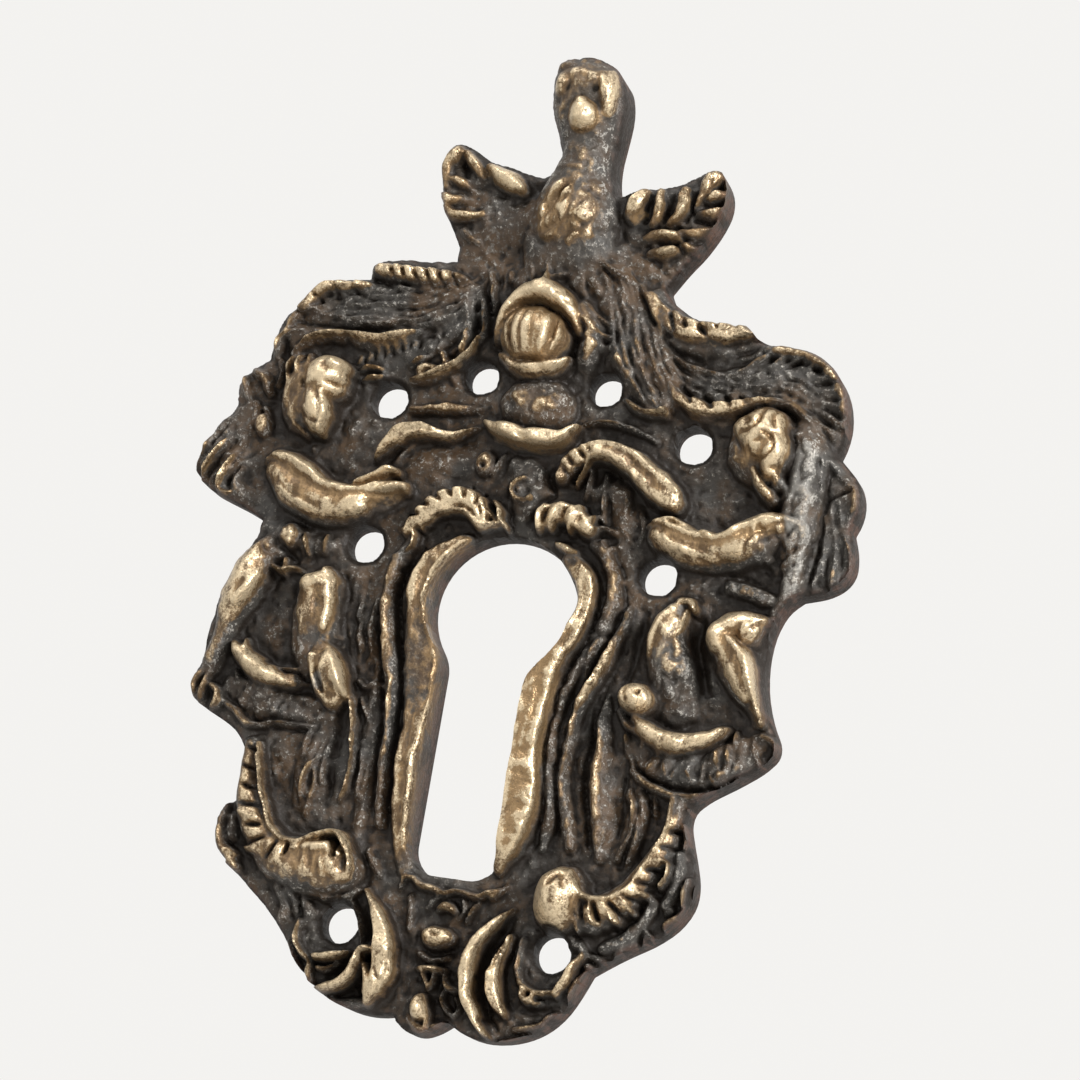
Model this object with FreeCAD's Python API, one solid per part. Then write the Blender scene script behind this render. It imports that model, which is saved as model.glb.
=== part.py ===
import FreeCAD, Part
import math
import os

# Cast keyhole escutcheon, upright as it hangs on a door.
# The back lies on the plane y = 0, the front faces -Y, and +Z is up.
# The origin is the centre of the keyhole's round part, on the back.
# All sizes are in millimetres.

# Plate
plate_thickness = 2.4
plate_edge_bevel = 0.5

# Keyhole
keyhole_radius = 5.7
slot_width = 7.1
slot_offset = -0.45
slot_bottom = -20.5
slot_corner_radius = 2.3
waist_radius = 3.0

# Nail holes and piercings
nail_hole_diameter = 2.9
nail_axis_x = -0.2
lower_nail_x = 8.2
lower_nail_z = -24.9
waist_nail_x = 11.5
waist_nail_z = 3.9
cheek_hole_diameter = 2.6
cheek_hole_x = 4.9
cheek_hole_z = 17.8
left_shoulder_hole = (-11.9, 15.3)
right_shoulder_hole = (12.3, 14.2)

# Relief, as heights above the plate's front
head_relief = 4.1
bird_relief = 3.8
crown_relief = 3.6
limb_relief = 3.0
rim_relief = 2.6
scroll_relief = 2.6
strand_relief = 1.6
line_relief = 1.2
feather_relief = 1.3

# How far each raised form is rooted in the plate
root_depth = 0.8

# The rim's broad band and the thin moulding outside it, along the keyhole
rim_inset = 1.0
rim_half_width = 1.15
moulding_inset = 3.7
moulding_half_width = 0.5

# Sections of the raised forms, from side to side: (share of half width, share of height)
ROUND = [(-1.0, 0.0), (-0.82, 0.6), (-0.36, 1.0), (0.36, 1.0), (0.82, 0.6), (1.0, 0.0)]
ROOF = [(-1.0, 0.0), (-0.35, 1.0), (0.35, 1.0), (1.0, 0.0)]
RIM = [(-1.0, 0.0), (-0.95, 0.9), (-0.7, 1.0), (0.1, 0.85), (0.7, 0.5), (1.0, 0.0)]


def point(x, z, height):
    """A point of the front, height millimetres before the back plane."""
    return FreeCAD.Vector(x, -height, z)


def extrude_forward(wire, start, end):
    """The prism of a wire lying in the back plane, from one height to another."""
    face = Part.Face(wire)
    face.translate(FreeCAD.Vector(0, -start, 0))
    return face.extrude(FreeCAD.Vector(0, start - end, 0))


def outline_wire(runs):
    """A closed wire of tangent arcs round the points of each run, which starts at a sharp notch."""
    places = [(x, z, index == 0) for run in runs for index, (x, z) in enumerate(run)]
    edges = []
    ends = []
    for index, (x, z, sharp) in enumerate(places):
        here = point(x, z, 0)
        if sharp:
            ends.append((here, here, here))
            continue
        before = point(*places[index - 1][:2], 0) - here
        after = point(*places[(index + 1) % len(places)][:2], 0) - here
        reach = min(before.Length, after.Length) / 2
        half_turn = (math.pi - before.getAngle(after)) / 2
        inward = before.normalize() + after.normalize()
        radius = reach / math.tan(half_turn)
        depth = radius / math.cos(half_turn) - radius
        start = here + before * reach
        finish = here + after * reach
        ends.append((start, here + inward.normalize() * depth, finish))
    for index, (start, middle, finish) in enumerate(ends):
        leave = ends[index - 1][2]
        if leave.distanceToPoint(start) > 1e-4:
            edges.append(Part.LineSegment(leave, start).toShape())
        if start.distanceToPoint(finish) > 1e-4:
            edges.append(Part.Arc(start, middle, finish).toShape())
    return Part.Wire(edges)


def facet_solid(rings):
    """A solid skinned with flat facets over a row of closed rings of points."""
    corners = len(rings[0])
    facets = []
    for first, second in zip(rings, rings[1:]):
        for here in range(corners):
            after = (here + 1) % corners
            facets.append((first[here], first[after], second[after]))
            facets.append((first[here], second[after], second[here]))
    for index in range(1, corners - 1):
        facets.append((rings[0][0], rings[0][index + 1], rings[0][index]))
        facets.append((rings[-1][0], rings[-1][index], rings[-1][index + 1]))
    faces = [Part.Face(Part.makePolygon([a, b, c, a])) for a, b, c in facets]
    shell = Part.makeShell(faces)
    shell.sewShape()
    solid = Part.makeSolid(shell)
    if solid.Volume < 0:
        solid.reverse()
    return solid


def ridge(stations, relief, section=ROUND):
    """A raised form along a path: (x, z, half width, share of the relief) at each station."""
    rings = []
    for index, (x, z, half_width, share) in enumerate(stations):
        before = stations[max(index - 1, 0)]
        after = stations[min(index + 1, len(stations) - 1)]
        along_x = after[0] - before[0]
        along_z = after[1] - before[1]
        length = math.hypot(along_x, along_z)
        side_x = -along_z / length * half_width
        side_z = along_x / length * half_width
        foot = plate_thickness - root_depth * (0.6 + 0.3 * half_width)
        ring = []
        for across, rise in section:
            height = plate_thickness + rise * share * relief if rise > 0 else foot
            ring.append(point(x + across * side_x, z + across * side_z, height))
        rings.append(ring)
    return facet_solid(rings)


def dome(x, z, half_width, half_length, relief, share=1.0):
    """A boss like half an egg: sections across z that grow and shrink along it."""
    rings = 5
    stations = []
    for ring in range(rings):
        angle = math.pi * (ring + 0.5) / rings
        size = math.sin(angle)
        stations.append((x, z - half_length * math.cos(angle), half_width * size, share * size))
    return ridge(stations, relief)


def waist_points(side, offset):
    """Where the rounded waist leaves the keyhole's round, its middle, and where it meets the slot."""
    wall = slot_width / 2 + side * slot_offset
    centre_x = wall + waist_radius
    reach = keyhole_radius + waist_radius
    centre_z = -math.sqrt(reach ** 2 - centre_x ** 2)
    on_round = (keyhole_radius + offset) / reach
    turn = (math.pi + math.atan2(-centre_z, -centre_x)) / 2
    bend = waist_radius - offset
    return [
        point(side * centre_x * on_round, centre_z * on_round, 0),
        point(side * (centre_x + bend * math.cos(turn)), centre_z + bend * math.sin(turn), 0),
        point(side * (wall + offset), centre_z, 0),
    ]


def keyhole_wire(offset):
    """The keyhole's outline, or its parallel at an offset: round, waist, slot and rounded foot."""
    right = waist_points(1, offset)
    left = waist_points(-1, offset)
    right_x = slot_offset + slot_width / 2 + offset
    left_x = slot_offset - slot_width / 2 - offset
    bottom = slot_bottom - offset
    corner = slot_corner_radius + offset
    eased = corner * (1 - math.sqrt(0.5))
    top = point(0, keyhole_radius + offset, 0)
    right_wall_end = point(right_x, bottom + corner, 0)
    left_wall_end = point(left_x, bottom + corner, 0)
    right_foot = point(right_x - corner, bottom, 0)
    left_foot = point(left_x + corner, bottom, 0)
    pieces = [
        Part.Arc(right[0], top, left[0]),
        Part.Arc(left[0], left[1], left[2]),
        Part.LineSegment(left[2], left_wall_end),
        Part.Arc(left_wall_end, point(left_x + eased, bottom + eased, 0), left_foot),
        Part.LineSegment(left_foot, right_foot),
        Part.Arc(right_foot, point(right_x - eased, bottom + eased, 0), right_wall_end),
        Part.LineSegment(right_wall_end, right[2]),
        Part.Arc(right[2], right[1], right[0]),
    ]
    return Part.Wire([piece.toShape() for piece in pieces])


def beside_keyhole(side, offset, z):
    """The x of the line that keeps an offset from the keyhole, on one side, at a height z."""
    softness = 1.2
    chord = math.sqrt(max((keyhole_radius + offset) ** 2 - z ** 2, 0))
    wall = slot_width / 2 + side * slot_offset + offset
    return side * (chord + wall + math.hypot(chord - wall, softness)) / 2


def plate():
    """The flat plate, with its edge bevelled at the front."""
    runs = [
        # Head and neck of the bird
        [(-2.7, 34.0), (-1.85, 34.7), (-1.65, 35.9), (-1.85, 37.2), (-2.5, 38.6), (-2.95, 40.6),
         (-3.1, 42.2), (-2.5, 43.0), (-0.6, 43.43), (1.2, 43.2), (2.5, 42.3), (2.95, 40.8),
         (3.05, 39.4), (2.9, 37.6), (2.75, 36.0), (2.85, 34.4)],
        # Right wing
        [(3.3, 32.9), (4.6, 33.6), (5.9, 33.9), (7.4, 34.1), (8.7, 34.8), (10.0, 35.7),
         (11.0, 35.8), (11.9, 34.5), (12.05, 33.0), (11.5, 31.3), (10.5, 29.4), (9.5, 28.1)],
        # Right shoulder, from the notch under the wing to the fan's foot
        [(8.35, 26.2), (8.9, 25.1), (10.0, 24.3), (11.4, 23.8), (13.9, 23.8), (15.2, 23.4)],
        [(16.2, 22.5), (18.9, 22.5), (21.0, 21.9), (22.6, 20.6), (23.5, 18.9), (23.8, 17.0),
         (23.6, 15.5)],
        # Right figure's wing
        [(23.3, 14.6), (24.2, 13.7), (25.2, 12.8), (25.7, 11.4), (25.6, 10.0)],
        [(25.2, 9.0), (25.7, 7.6), (25.8, 6.0), (25.2, 4.9), (24.0, 4.1)],
        # Right figure's leg, the waist below it and the lower scroll
        [(22.2, 3.6), (21.2, 2.7), (20.5, 1.0), (20.3, -1.2), (20.6, -3.7), (21.4, -5.9),
         (22.2, -7.3), (22.2, -8.3), (21.3, -9.4), (19.6, -10.7), (17.6, -12.0), (16.6, -13.0),
         (16.45, -14.0), (16.8, -15.2), (17.4, -16.9), (17.85, -18.5), (17.8, -20.0),
         (17.0, -21.6), (15.5, -23.0), (13.0, -24.5)],
        # Right volute, middle lobe and left volute
        [(11.0, -26.0), (10.5, -27.3), (9.6, -29.2), (8.2, -30.7), (6.2, -31.7), (4.0, -32.0),
         (2.4, -31.7)],
        [(1.2, -31.0), (0.2, -31.8), (-1.0, -32.3), (-2.2, -32.0)],
        [(-3.2, -30.95), (-4.4, -31.2), (-5.8, -31.2), (-7.6, -30.8), (-9.4, -29.8),
         (-10.7, -28.6), (-12.3, -26.6), (-14.2, -24.5), (-16.0, -23.1), (-17.6, -21.8),
         (-18.7, -20.6), (-19.05, -19.2), (-18.8, -17.8)],
        # Left waist and the left figure's leg
        [(-18.05, -16.5), (-18.0, -14.6), (-18.1, -13.0), (-18.8, -11.8), (-20.0, -11.0),
         (-21.6, -10.3), (-23.0, -9.5), (-23.5, -8.5), (-23.2, -7.3), (-22.8, -6.2),
         (-22.8, -4.2), (-22.7, -2.3), (-22.2, -0.2), (-21.3, 1.8), (-20.4, 3.4)],
        # Left figure's wing, then the lobes up the left shoulder
        [(-20.2, 4.9), (-21.6, 5.6), (-23.6, 6.3), (-25.2, 6.9), (-26.3, 8.3), (-26.1, 9.9),
         (-25.4, 11.7), (-24.4, 12.9)],
        [(-23.9, 13.7), (-24.2, 14.8), (-23.7, 16.2), (-22.7, 17.0)],
        [(-21.9, 17.5), (-22.0, 19.3), (-21.5, 21.0), (-20.6, 21.9)],
        [(-19.8, 22.4), (-19.4, 23.5), (-18.4, 24.3), (-16.8, 24.5)],
        [(-15.1, 24.6), (-15.0, 25.7), (-14.2, 26.4), (-12.6, 26.5), (-10.6, 26.5)],
        # Left wing
        [(-8.5, 26.8), (-8.5, 28.0), (-9.2, 29.1), (-10.0, 30.6), (-10.6, 32.4), (-11.0, 34.5),
         (-10.9, 35.7), (-10.0, 36.3), (-8.7, 35.9), (-7.1, 34.9), (-5.6, 34.7), (-4.2, 34.3)],
    ]
    solid = extrude_forward(outline_wire(runs), 0, plate_thickness)
    front = [edge for edge in solid.Edges if edge.BoundBox.YMax < -0.99 * plate_thickness]
    return solid.makeChamfer(plate_edge_bevel, front)


def bird():
    """The bird that crowns the plate: body, neck, head and beak, with its wings spread."""
    body = ridge(
        [(0.4, 27.2, 3.2, 0.55), (0.5, 29.2, 3.5, 0.85), (0.5, 31.6, 3.2, 0.9),
         (0.55, 33.6, 2.4, 0.78), (0.6, 35.6, 2.05, 0.7), (0.45, 37.4, 2.3, 0.78),
         (0.15, 39.6, 2.9, 0.95), (0.0, 41.4, 3.0, 0.9), (-0.1, 42.7, 2.5, 0.62)],
        bird_relief,
    )
    beak = dome(0.95, 38.0, 1.4, 1.55, bird_relief, 1.12)
    left_feathers = [
        [(-3.2, 32.6, 0.5, 0.8), (-4.8, 33.3, 0.9, 1.3), (-6.6, 33.9, 0.8, 1.2),
         (-8.4, 34.8, 0.7, 1.0), (-10.0, 35.5, 0.5, 0.7)],
        [(-4.6, 31.4, 0.5, 0.6), (-7.2, 32.3, 0.75, 0.9), (-10.0, 33.6, 0.5, 0.8)],
        [(-4.4, 29.9, 0.5, 0.6), (-7.0, 30.4, 0.7, 1.0), (-9.8, 31.5, 0.45, 0.9)],
        [(-4.4, 28.5, 0.5, 0.6), (-6.6, 28.7, 0.7, 0.9), (-8.9, 29.5, 0.4, 0.7)],
    ]
    right_feathers = [
        [(10.9, 35.2, 0.4, 0.6), (11.6, 33.9, 0.5, 0.9), (11.6, 32.4, 0.5, 0.9),
         (11.0, 30.8, 0.5, 0.9), (9.8, 29.0, 0.45, 0.7)],
        [(5.2, 30.8, 0.4, 0.6), (5.5, 32.0, 0.75, 1.2), (5.2, 33.0, 0.6, 0.8)],
        [(6.6, 30.6, 0.4, 0.7), (7.0, 32.0, 0.55, 1.0), (7.0, 33.4, 0.5, 0.7)],
        [(8.0, 30.9, 0.4, 0.7), (8.7, 32.4, 0.6, 1.0), (8.9, 34.2, 0.5, 0.7)],
        [(9.4, 31.2, 0.3, 0.7), (10.3, 32.6, 0.5, 0.9), (10.6, 34.6, 0.5, 0.7)],
        [(6.2, 29.8, 0.4, 0.6), (7.6, 30.1, 0.5, 1.1), (10.4, 31.2, 0.35, 0.8)],
        [(6.8, 28.4, 0.4, 0.6), (8.0, 28.7, 0.55, 1.1), (10.2, 30.0, 0.35, 0.8)],
    ]
    feathers = [ridge(feather, feather_relief, ROOF) for feather in left_feathers + right_feathers]
    return [body, beak] + feathers


def crown():
    """The ribbed ball under its hood, with the chin, the lip and the crescent below."""
    solids = [
        dome(-0.4, 21.1, 2.6, 2.5, crown_relief, 1.12),
        ridge(
            [(-3.7, 20.9, 0.5, 0.7), (-3.3, 22.8, 0.65, 0.85), (-2.2, 24.3, 0.7, 0.95),
             (-0.3, 25.0, 0.8, 1.0), (1.6, 24.3, 0.7, 0.95), (2.6, 22.8, 0.65, 0.85),
             (2.9, 20.9, 0.5, 0.7)],
            crown_relief,
        ),
        ridge(
            [(-2.9, 19.2, 0.5, 0.6), (-1.7, 18.3, 0.75, 0.85), (-0.3, 18.0, 0.8, 0.9),
             (1.1, 18.3, 0.75, 0.85), (2.3, 19.2, 0.5, 0.6)],
            crown_relief,
        ),
        dome(0.1, 15.8, 3.0, 2.6, crown_relief, 0.75),
        ridge(
            [(-3.2, 13.8, 0.3, 0.6), (-1.7, 13.1, 0.7, 0.85), (0.3, 12.6, 0.8, 0.9),
             (2.1, 12.7, 0.7, 0.85), (3.6, 14.0, 0.3, 0.6)],
            crown_relief,
        ),
    ]
    folds = [
        [(-2.3, 26.9, 0.35, 0.8), (-1.9, 25.5, 0.3, 0.8)],
        [(-1.2, 27.3, 0.35, 0.9), (-0.9, 25.9, 0.3, 0.9)],
        [(1.9, 26.9, 0.35, 0.8), (2.6, 25.2, 0.3, 0.8)],
        [(3.1, 26.9, 0.35, 0.8), (4.2, 24.6, 0.3, 0.8)],
    ]
    return solids + [ridge(fold, strand_relief, ROOF) for fold in folds]


def mantling():
    """The leafy strands that fall from the bird's tail over both shoulders."""
    strands = [
        [(-5.2, 26.2, 0.4, 0.9), (-4.8, 24.6, 0.4, 1.0), (-4.6, 22.9, 0.3, 0.8)],
        [(-6.1, 25.4, 0.4, 0.8), (-5.7, 23.2, 0.45, 1.0), (-5.2, 21.2, 0.45, 1.0)],
        [(-7.4, 24.9, 0.5, 0.8), (-6.6, 22.4, 0.6, 1.0), (-6.3, 20.3, 0.6, 1.1),
         (-7.0, 18.6, 0.6, 1.1), (-8.4, 17.5, 0.6, 1.0), (-10.1, 16.8, 0.3, 0.8)],
        [(-14.0, 25.6, 0.6, 0.8), (-12.2, 25.1, 0.9, 1.0), (-10.0, 25.1, 0.9, 1.0),
         (-7.9, 25.3, 0.6, 0.9)],
        [(-18.9, 23.0, 0.4, 0.7), (-17.4, 23.5, 0.7, 1.0), (-14.9, 23.0, 0.7, 0.9),
         (-12.0, 22.6, 0.7, 0.8), (-8.6, 22.8, 0.6, 0.7)],
        [(-21.1, 20.3, 0.4, 0.7), (-19.6, 21.3, 0.6, 0.9), (-16.0, 21.1, 0.7, 0.9),
         (-12.0, 21.1, 0.7, 0.8), (-8.6, 21.6, 0.5, 0.7)],
        [(-19.9, 18.2, 0.35, 0.8), (-18.2, 19.3, 0.55, 1.2), (-15.8, 19.6, 0.65, 1.3),
         (-13.0, 19.3, 0.6, 1.2), (-10.4, 20.1, 0.4, 0.9)],
        [(-21.3, 17.2, 0.4, 0.7), (-21.4, 18.8, 0.45, 0.9), (-20.4, 19.9, 0.35, 0.8)],
        [(-22.9, 16.2, 0.4, 0.7), (-21.9, 15.3, 0.5, 1.0), (-21.5, 13.9, 0.4, 0.8)],
        [(5.2, 25.9, 0.4, 0.9), (5.7, 23.9, 0.4, 1.0), (6.0, 22.4, 0.3, 0.8)],
        [(6.3, 25.9, 0.4, 0.9), (7.3, 23.9, 0.5, 1.1), (8.5, 22.2, 0.35, 0.9)],
        [(6.7, 23.2, 0.4, 0.8), (7.1, 20.9, 0.5, 1.0), (8.2, 18.6, 0.5, 1.0),
         (9.6, 16.5, 0.35, 0.9)],
        [(5.2, 22.2, 0.5, 0.8), (6.1, 20.4, 0.55, 1.0), (6.9, 18.5, 0.5, 0.9),
         (8.4, 16.9, 0.3, 0.8)],
        [(6.9, 16.9, 0.3, 0.8), (8.4, 16.0, 0.4, 1.0), (10.1, 15.9, 0.45, 1.2)],
        [(9.4, 23.2, 0.6, 0.8), (11.1, 22.6, 0.85, 1.0), (13.1, 22.4, 0.85, 1.1),
         (15.4, 22.5, 0.6, 1.2)],
        [(10.3, 20.3, 0.4, 0.8), (12.0, 19.6, 0.5, 0.9), (14.1, 19.7, 0.5, 0.9),
         (16.2, 20.9, 0.4, 0.9)],
        [(10.4, 18.0, 0.35, 0.9), (12.2, 16.8, 0.6, 1.2), (14.6, 16.4, 0.6, 1.2),
         (16.9, 17.5, 0.6, 1.2), (19.3, 17.6, 0.6, 1.2), (21.2, 16.0, 0.45, 1.0)],
        [(15.2, 18.8, 0.4, 0.7), (17.5, 19.4, 0.7, 0.9), (19.8, 18.9, 0.7, 0.9),
         (21.6, 17.4, 0.4, 0.7)],
    ]
    lobes = [
        [(17.0, 20.3, 0.35, 0.9), (18.4, 21.5, 0.55, 0.9)],
        [(18.9, 20.3, 0.35, 0.9), (20.2, 21.4, 0.55, 0.9)],
        [(20.5, 20.1, 0.35, 0.9), (21.9, 20.8, 0.55, 0.9)],
        [(21.3, 19.0, 0.35, 0.9), (22.9, 19.2, 0.55, 0.9)],
        [(21.8, 17.9, 0.35, 0.9), (23.3, 17.5, 0.55, 0.9)],
        [(21.8, 16.9, 0.35, 0.9), (23.1, 15.9, 0.5, 0.9)],
    ]
    bars = [
        [(-9.5, 14.6, 0.4, 1.0), (-7.0, 14.9, 0.45, 1.2), (-4.6, 15.0, 0.35, 1.0)],
        [(4.0, 14.8, 0.3, 1.0), (6.5, 14.9, 0.4, 1.2), (9.4, 14.1, 0.3, 1.0)],
    ]
    leaves = [ridge(strand, strand_relief) for strand in strands]
    leaves += [ridge(lobe, strand_relief, ROOF) for lobe in lobes]
    return leaves + [ridge(bar, line_relief, ROOF) for bar in bars]


def left_figure():
    """The winged child on the left: head, arm, wing and both legs."""
    head = [(-17.2, 11.9, 1.1, 0.5), (-17.2, 13.2, 2.0, 0.85), (-17.2, 15.0, 2.5, 1.0),
            (-17.3, 16.8, 2.2, 0.9), (-17.3, 18.0, 1.2, 0.5)]
    limbs = [
        [(-19.6, 9.5, 0.8, 0.6), (-18.0, 8.7, 1.3, 0.9), (-16.4, 7.4, 1.4, 1.0),
         (-14.8, 6.6, 1.45, 1.0), (-13.0, 6.6, 1.35, 1.0), (-11.1, 7.4, 1.15, 0.95),
         (-9.4, 8.5, 0.6, 0.6)],
        [(-19.3, 3.2, 0.7, 0.4), (-19.9, 0.5, 1.3, 0.85), (-20.6, -2.2, 1.3, 0.9),
         (-21.1, -4.8, 1.0, 0.65), (-21.7, -7.0, 0.8, 0.45), (-22.2, -8.7, 0.9, 0.5)],
        [(-14.0, 1.2, 0.9, 0.6), (-13.8, -0.6, 1.4, 0.9), (-13.4, -2.8, 1.25, 0.9),
         (-12.9, -4.7, 1.1, 0.85), (-12.0, -6.6, 1.3, 0.9), (-10.6, -8.0, 0.5, 0.5)],
        [(-18.3, 3.4, 0.8, 0.3), (-17.0, 3.0, 1.0, 0.45), (-15.7, 3.0, 0.7, 0.3)],
    ]
    feathers = [
        [(-23.1, 12.7, 0.4, 0.9), (-24.8, 11.0, 0.5, 1.0), (-25.6, 9.0, 0.4, 0.8)],
        [(-22.9, 11.0, 0.35, 0.9), (-24.3, 9.4, 0.45, 1.1), (-25.2, 7.9, 0.35, 0.9)],
        [(-22.2, 9.4, 0.35, 0.9), (-23.3, 7.9, 0.45, 1.1), (-24.0, 6.9, 0.35, 0.9)],
    ]
    shoulder = dome(-21.3, 12.2, 0.9, 1.3, strand_relief)
    return (
        [ridge(head, head_relief), shoulder]
        + [ridge(limb, limb_relief) for limb in limbs]
        + [ridge(feather, feather_relief, ROOF) for feather in feathers]
    )


def right_figure():
    """The winged child on the right, with its near knee bent."""
    head = [(18.9, 11.1, 1.1, 0.5), (18.5, 12.6, 1.9, 0.85), (18.2, 14.4, 2.4, 1.0),
            (18.1, 16.0, 2.1, 0.9), (18.2, 17.2, 1.2, 0.5)]
    limbs = [
        [(11.2, 7.1, 0.6, 0.6), (12.9, 6.8, 1.0, 0.85), (14.9, 6.4, 1.2, 0.95),
         (16.9, 6.4, 1.4, 1.0), (18.7, 7.0, 1.6, 1.0), (20.3, 7.7, 1.7, 0.95),
         (21.6, 8.1, 1.1, 0.7)],
        [(13.7, 1.5, 0.7, 0.6), (13.3, -0.5, 1.3, 0.9), (13.5, -2.6, 1.4, 0.85),
         (14.2, -4.8, 1.2, 0.5)],
        [(20.0, 0.9, 0.8, 0.7), (18.3, 0.3, 1.2, 0.9), (16.9, -0.3, 1.0, 0.85)],
        [(16.9, 0.2, 0.9, 0.8), (17.4, -1.0, 1.3, 1.0), (18.7, -2.6, 1.4, 1.05),
         (19.9, -4.4, 1.1, 0.9), (20.8, -6.2, 0.8, 0.6), (21.5, -7.8, 0.8, 0.5)],
        [(21.0, 15.3, 0.7, 0.5), (21.2, 13.0, 1.0, 0.7), (21.3, 10.6, 1.1, 0.7),
         (21.4, 9.0, 0.9, 0.6)],
        [(16.6, 3.3, 0.6, 0.4), (18.2, 3.2, 0.8, 0.5), (20.0, 3.1, 0.6, 0.4)],
    ]
    feathers = [
        [(23.9, 13.2, 0.4, 0.8), (25.0, 11.8, 0.45, 1.0), (25.1, 9.9, 0.4, 0.8)],
        [(25.0, 8.4, 0.35, 0.8), (25.3, 6.7, 0.45, 1.0), (24.6, 4.9, 0.4, 0.9)],
        [(24.0, 11.0, 0.35, 0.9), (24.2, 8.0, 0.45, 1.1), (24.3, 5.5, 0.35, 0.9)],
        [(23.0, 8.8, 0.35, 0.8), (22.9, 6.3, 0.45, 1.0), (23.0, 4.4, 0.35, 0.8)],
    ]
    return (
        [ridge(head, head_relief)]
        + [ridge(limb, limb_relief) for limb in limbs]
        + [ridge(feather, feather_relief, ROOF) for feather in feathers]
    )


def keyhole_rim():
    """The polished bands beside the keyhole and the thin moulding outside them."""
    solids = []
    for side in (1, -1):
        band_levels = [
            (keyhole_radius * 0.78, 0.4, 0.55), (keyhole_radius * 0.35, 0.7, 0.85),
            (-keyhole_radius * 0.3, 0.9, 1.0), (-keyhole_radius * 0.8, 1.0, 1.0),
            (slot_bottom * 0.45, 1.0, 1.0), (slot_bottom * 0.7, 0.9, 1.0),
            (slot_bottom * 0.9, 0.5, 0.6),
        ]
        moulding_levels = [
            (keyhole_radius * 0.9, 0.6, 0.8), (keyhole_radius * 0.4, 1.0, 1.0),
            (-keyhole_radius * 0.3, 1.0, 1.0), (-keyhole_radius * 0.9, 1.0, 1.0),
            (slot_bottom * 0.5, 1.0, 1.0), (slot_bottom * 0.75, 1.0, 1.0),
            (slot_bottom * 0.92, 0.6, 0.7),
        ]
        band = [
            (beside_keyhole(side, rim_inset, z), z, rim_half_width * width, share)
            for z, width, share in band_levels
        ]
        moulding = [
            (beside_keyhole(side, moulding_inset, z), z, moulding_half_width * width, share)
            for z, width, share in moulding_levels
        ]
        if side < 0:
            band.reverse()
            moulding.reverse()
        solids.append(ridge(band, rim_relief, RIM))
        solids.append(ridge(moulding, strand_relief, ROOF))
    return solids


def scrolls():
    """The C-scrolls, the small gadrooned scrolls over the keyhole, and the boat crescents."""
    scroll_paths = [
        [(-10.8, 10.2, 0.6, 0.7), (-10.1, 11.4, 0.8, 0.95), (-9.0, 12.2, 0.75, 1.0),
         (-7.7, 12.6, 0.6, 0.95), (-6.3, 12.7, 0.4, 0.8), (-5.0, 13.0, 0.25, 0.6)],
        [(3.5, 10.2, 0.7, 0.7), (4.5, 11.7, 0.95, 0.95), (6.2, 12.4, 0.9, 1.0),
         (8.3, 12.0, 0.95, 1.0), (10.2, 10.8, 1.0, 1.0), (11.7, 9.4, 0.9, 0.8),
         (12.5, 8.6, 0.4, 0.5)],
        [(-8.4, 5.1, 0.6, 0.6), (-7.0, 6.6, 0.8, 0.8), (-5.4, 7.5, 0.9, 0.9),
         (-3.8, 7.7, 1.0, 0.95), (-2.5, 7.2, 0.8, 0.8)],
        [(2.4, 6.5, 0.7, 0.8), (3.3, 7.4, 0.95, 0.95), (4.6, 7.4, 1.0, 0.95),
         (5.8, 6.7, 0.7, 0.8), (6.6, 5.9, 0.4, 0.6)],
        [(-19.0, -4.9, 0.6, 0.7), (-18.5, -6.2, 0.75, 1.0), (-17.2, -7.0, 0.75, 1.0),
         (-15.6, -7.4, 0.6, 0.85), (-14.1, -7.5, 0.3, 0.5)],
        [(12.0, -7.2, 0.5, 0.7), (13.5, -8.3, 0.7, 0.9), (15.3, -8.8, 0.8, 1.0),
         (17.0, -8.3, 0.7, 0.95), (18.5, -7.1, 0.35, 0.6)],
    ]
    baskets = [
        [(-20.2, -8.4, 0.8, 0.6), (-17.6, -9.2, 1.3, 0.8), (-14.5, -9.5, 1.3, 0.8),
         (-11.6, -9.3, 0.8, 0.6)],
        [(11.3, -9.0, 0.8, 0.6), (13.2, -10.4, 1.3, 0.8), (16.0, -11.0, 1.3, 0.8),
         (19.0, -10.1, 1.1, 0.7), (20.9, -8.8, 0.7, 0.6)],
    ]
    return (
        [ridge(path, scroll_relief) for path in scroll_paths]
        + [ridge(basket, strand_relief) for basket in baskets]
        + [dome(12.1, -6.1, 1.3, 1.3, scroll_relief, 1.25)]
        + [dome(-3.2, 10.7, 0.7, 0.8, strand_relief), dome(0.2, 8.9, 0.8, 0.8, strand_relief)]
    )


def side_panels():
    """The long leaves and lines in the panels on both sides of the slot."""
    leaves = [
        [(-12.3, -12.4, 0.4, 0.6), (-12.9, -14.2, 0.9, 1.0), (-12.3, -16.2, 0.4, 0.6)],
        [(12.1, -12.4, 0.4, 0.7), (12.5, -14.6, 0.8, 1.1), (12.1, -17.0, 0.4, 0.7)],
        [(9.9, -7.6, 0.4, 0.7), (10.2, -10.6, 0.7, 1.0), (10.3, -13.6, 0.7, 1.0),
         (10.7, -16.6, 0.4, 0.7)],
        [(-9.9, -8.1, 0.35, 1.0), (-9.4, -10.5, 0.35, 1.2), (-9.3, -13.5, 0.35, 1.2),
         (-9.5, -15.8, 0.35, 1.0)],
    ]
    return [ridge(leaf, strand_relief, ROOF) for leaf in leaves]


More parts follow.
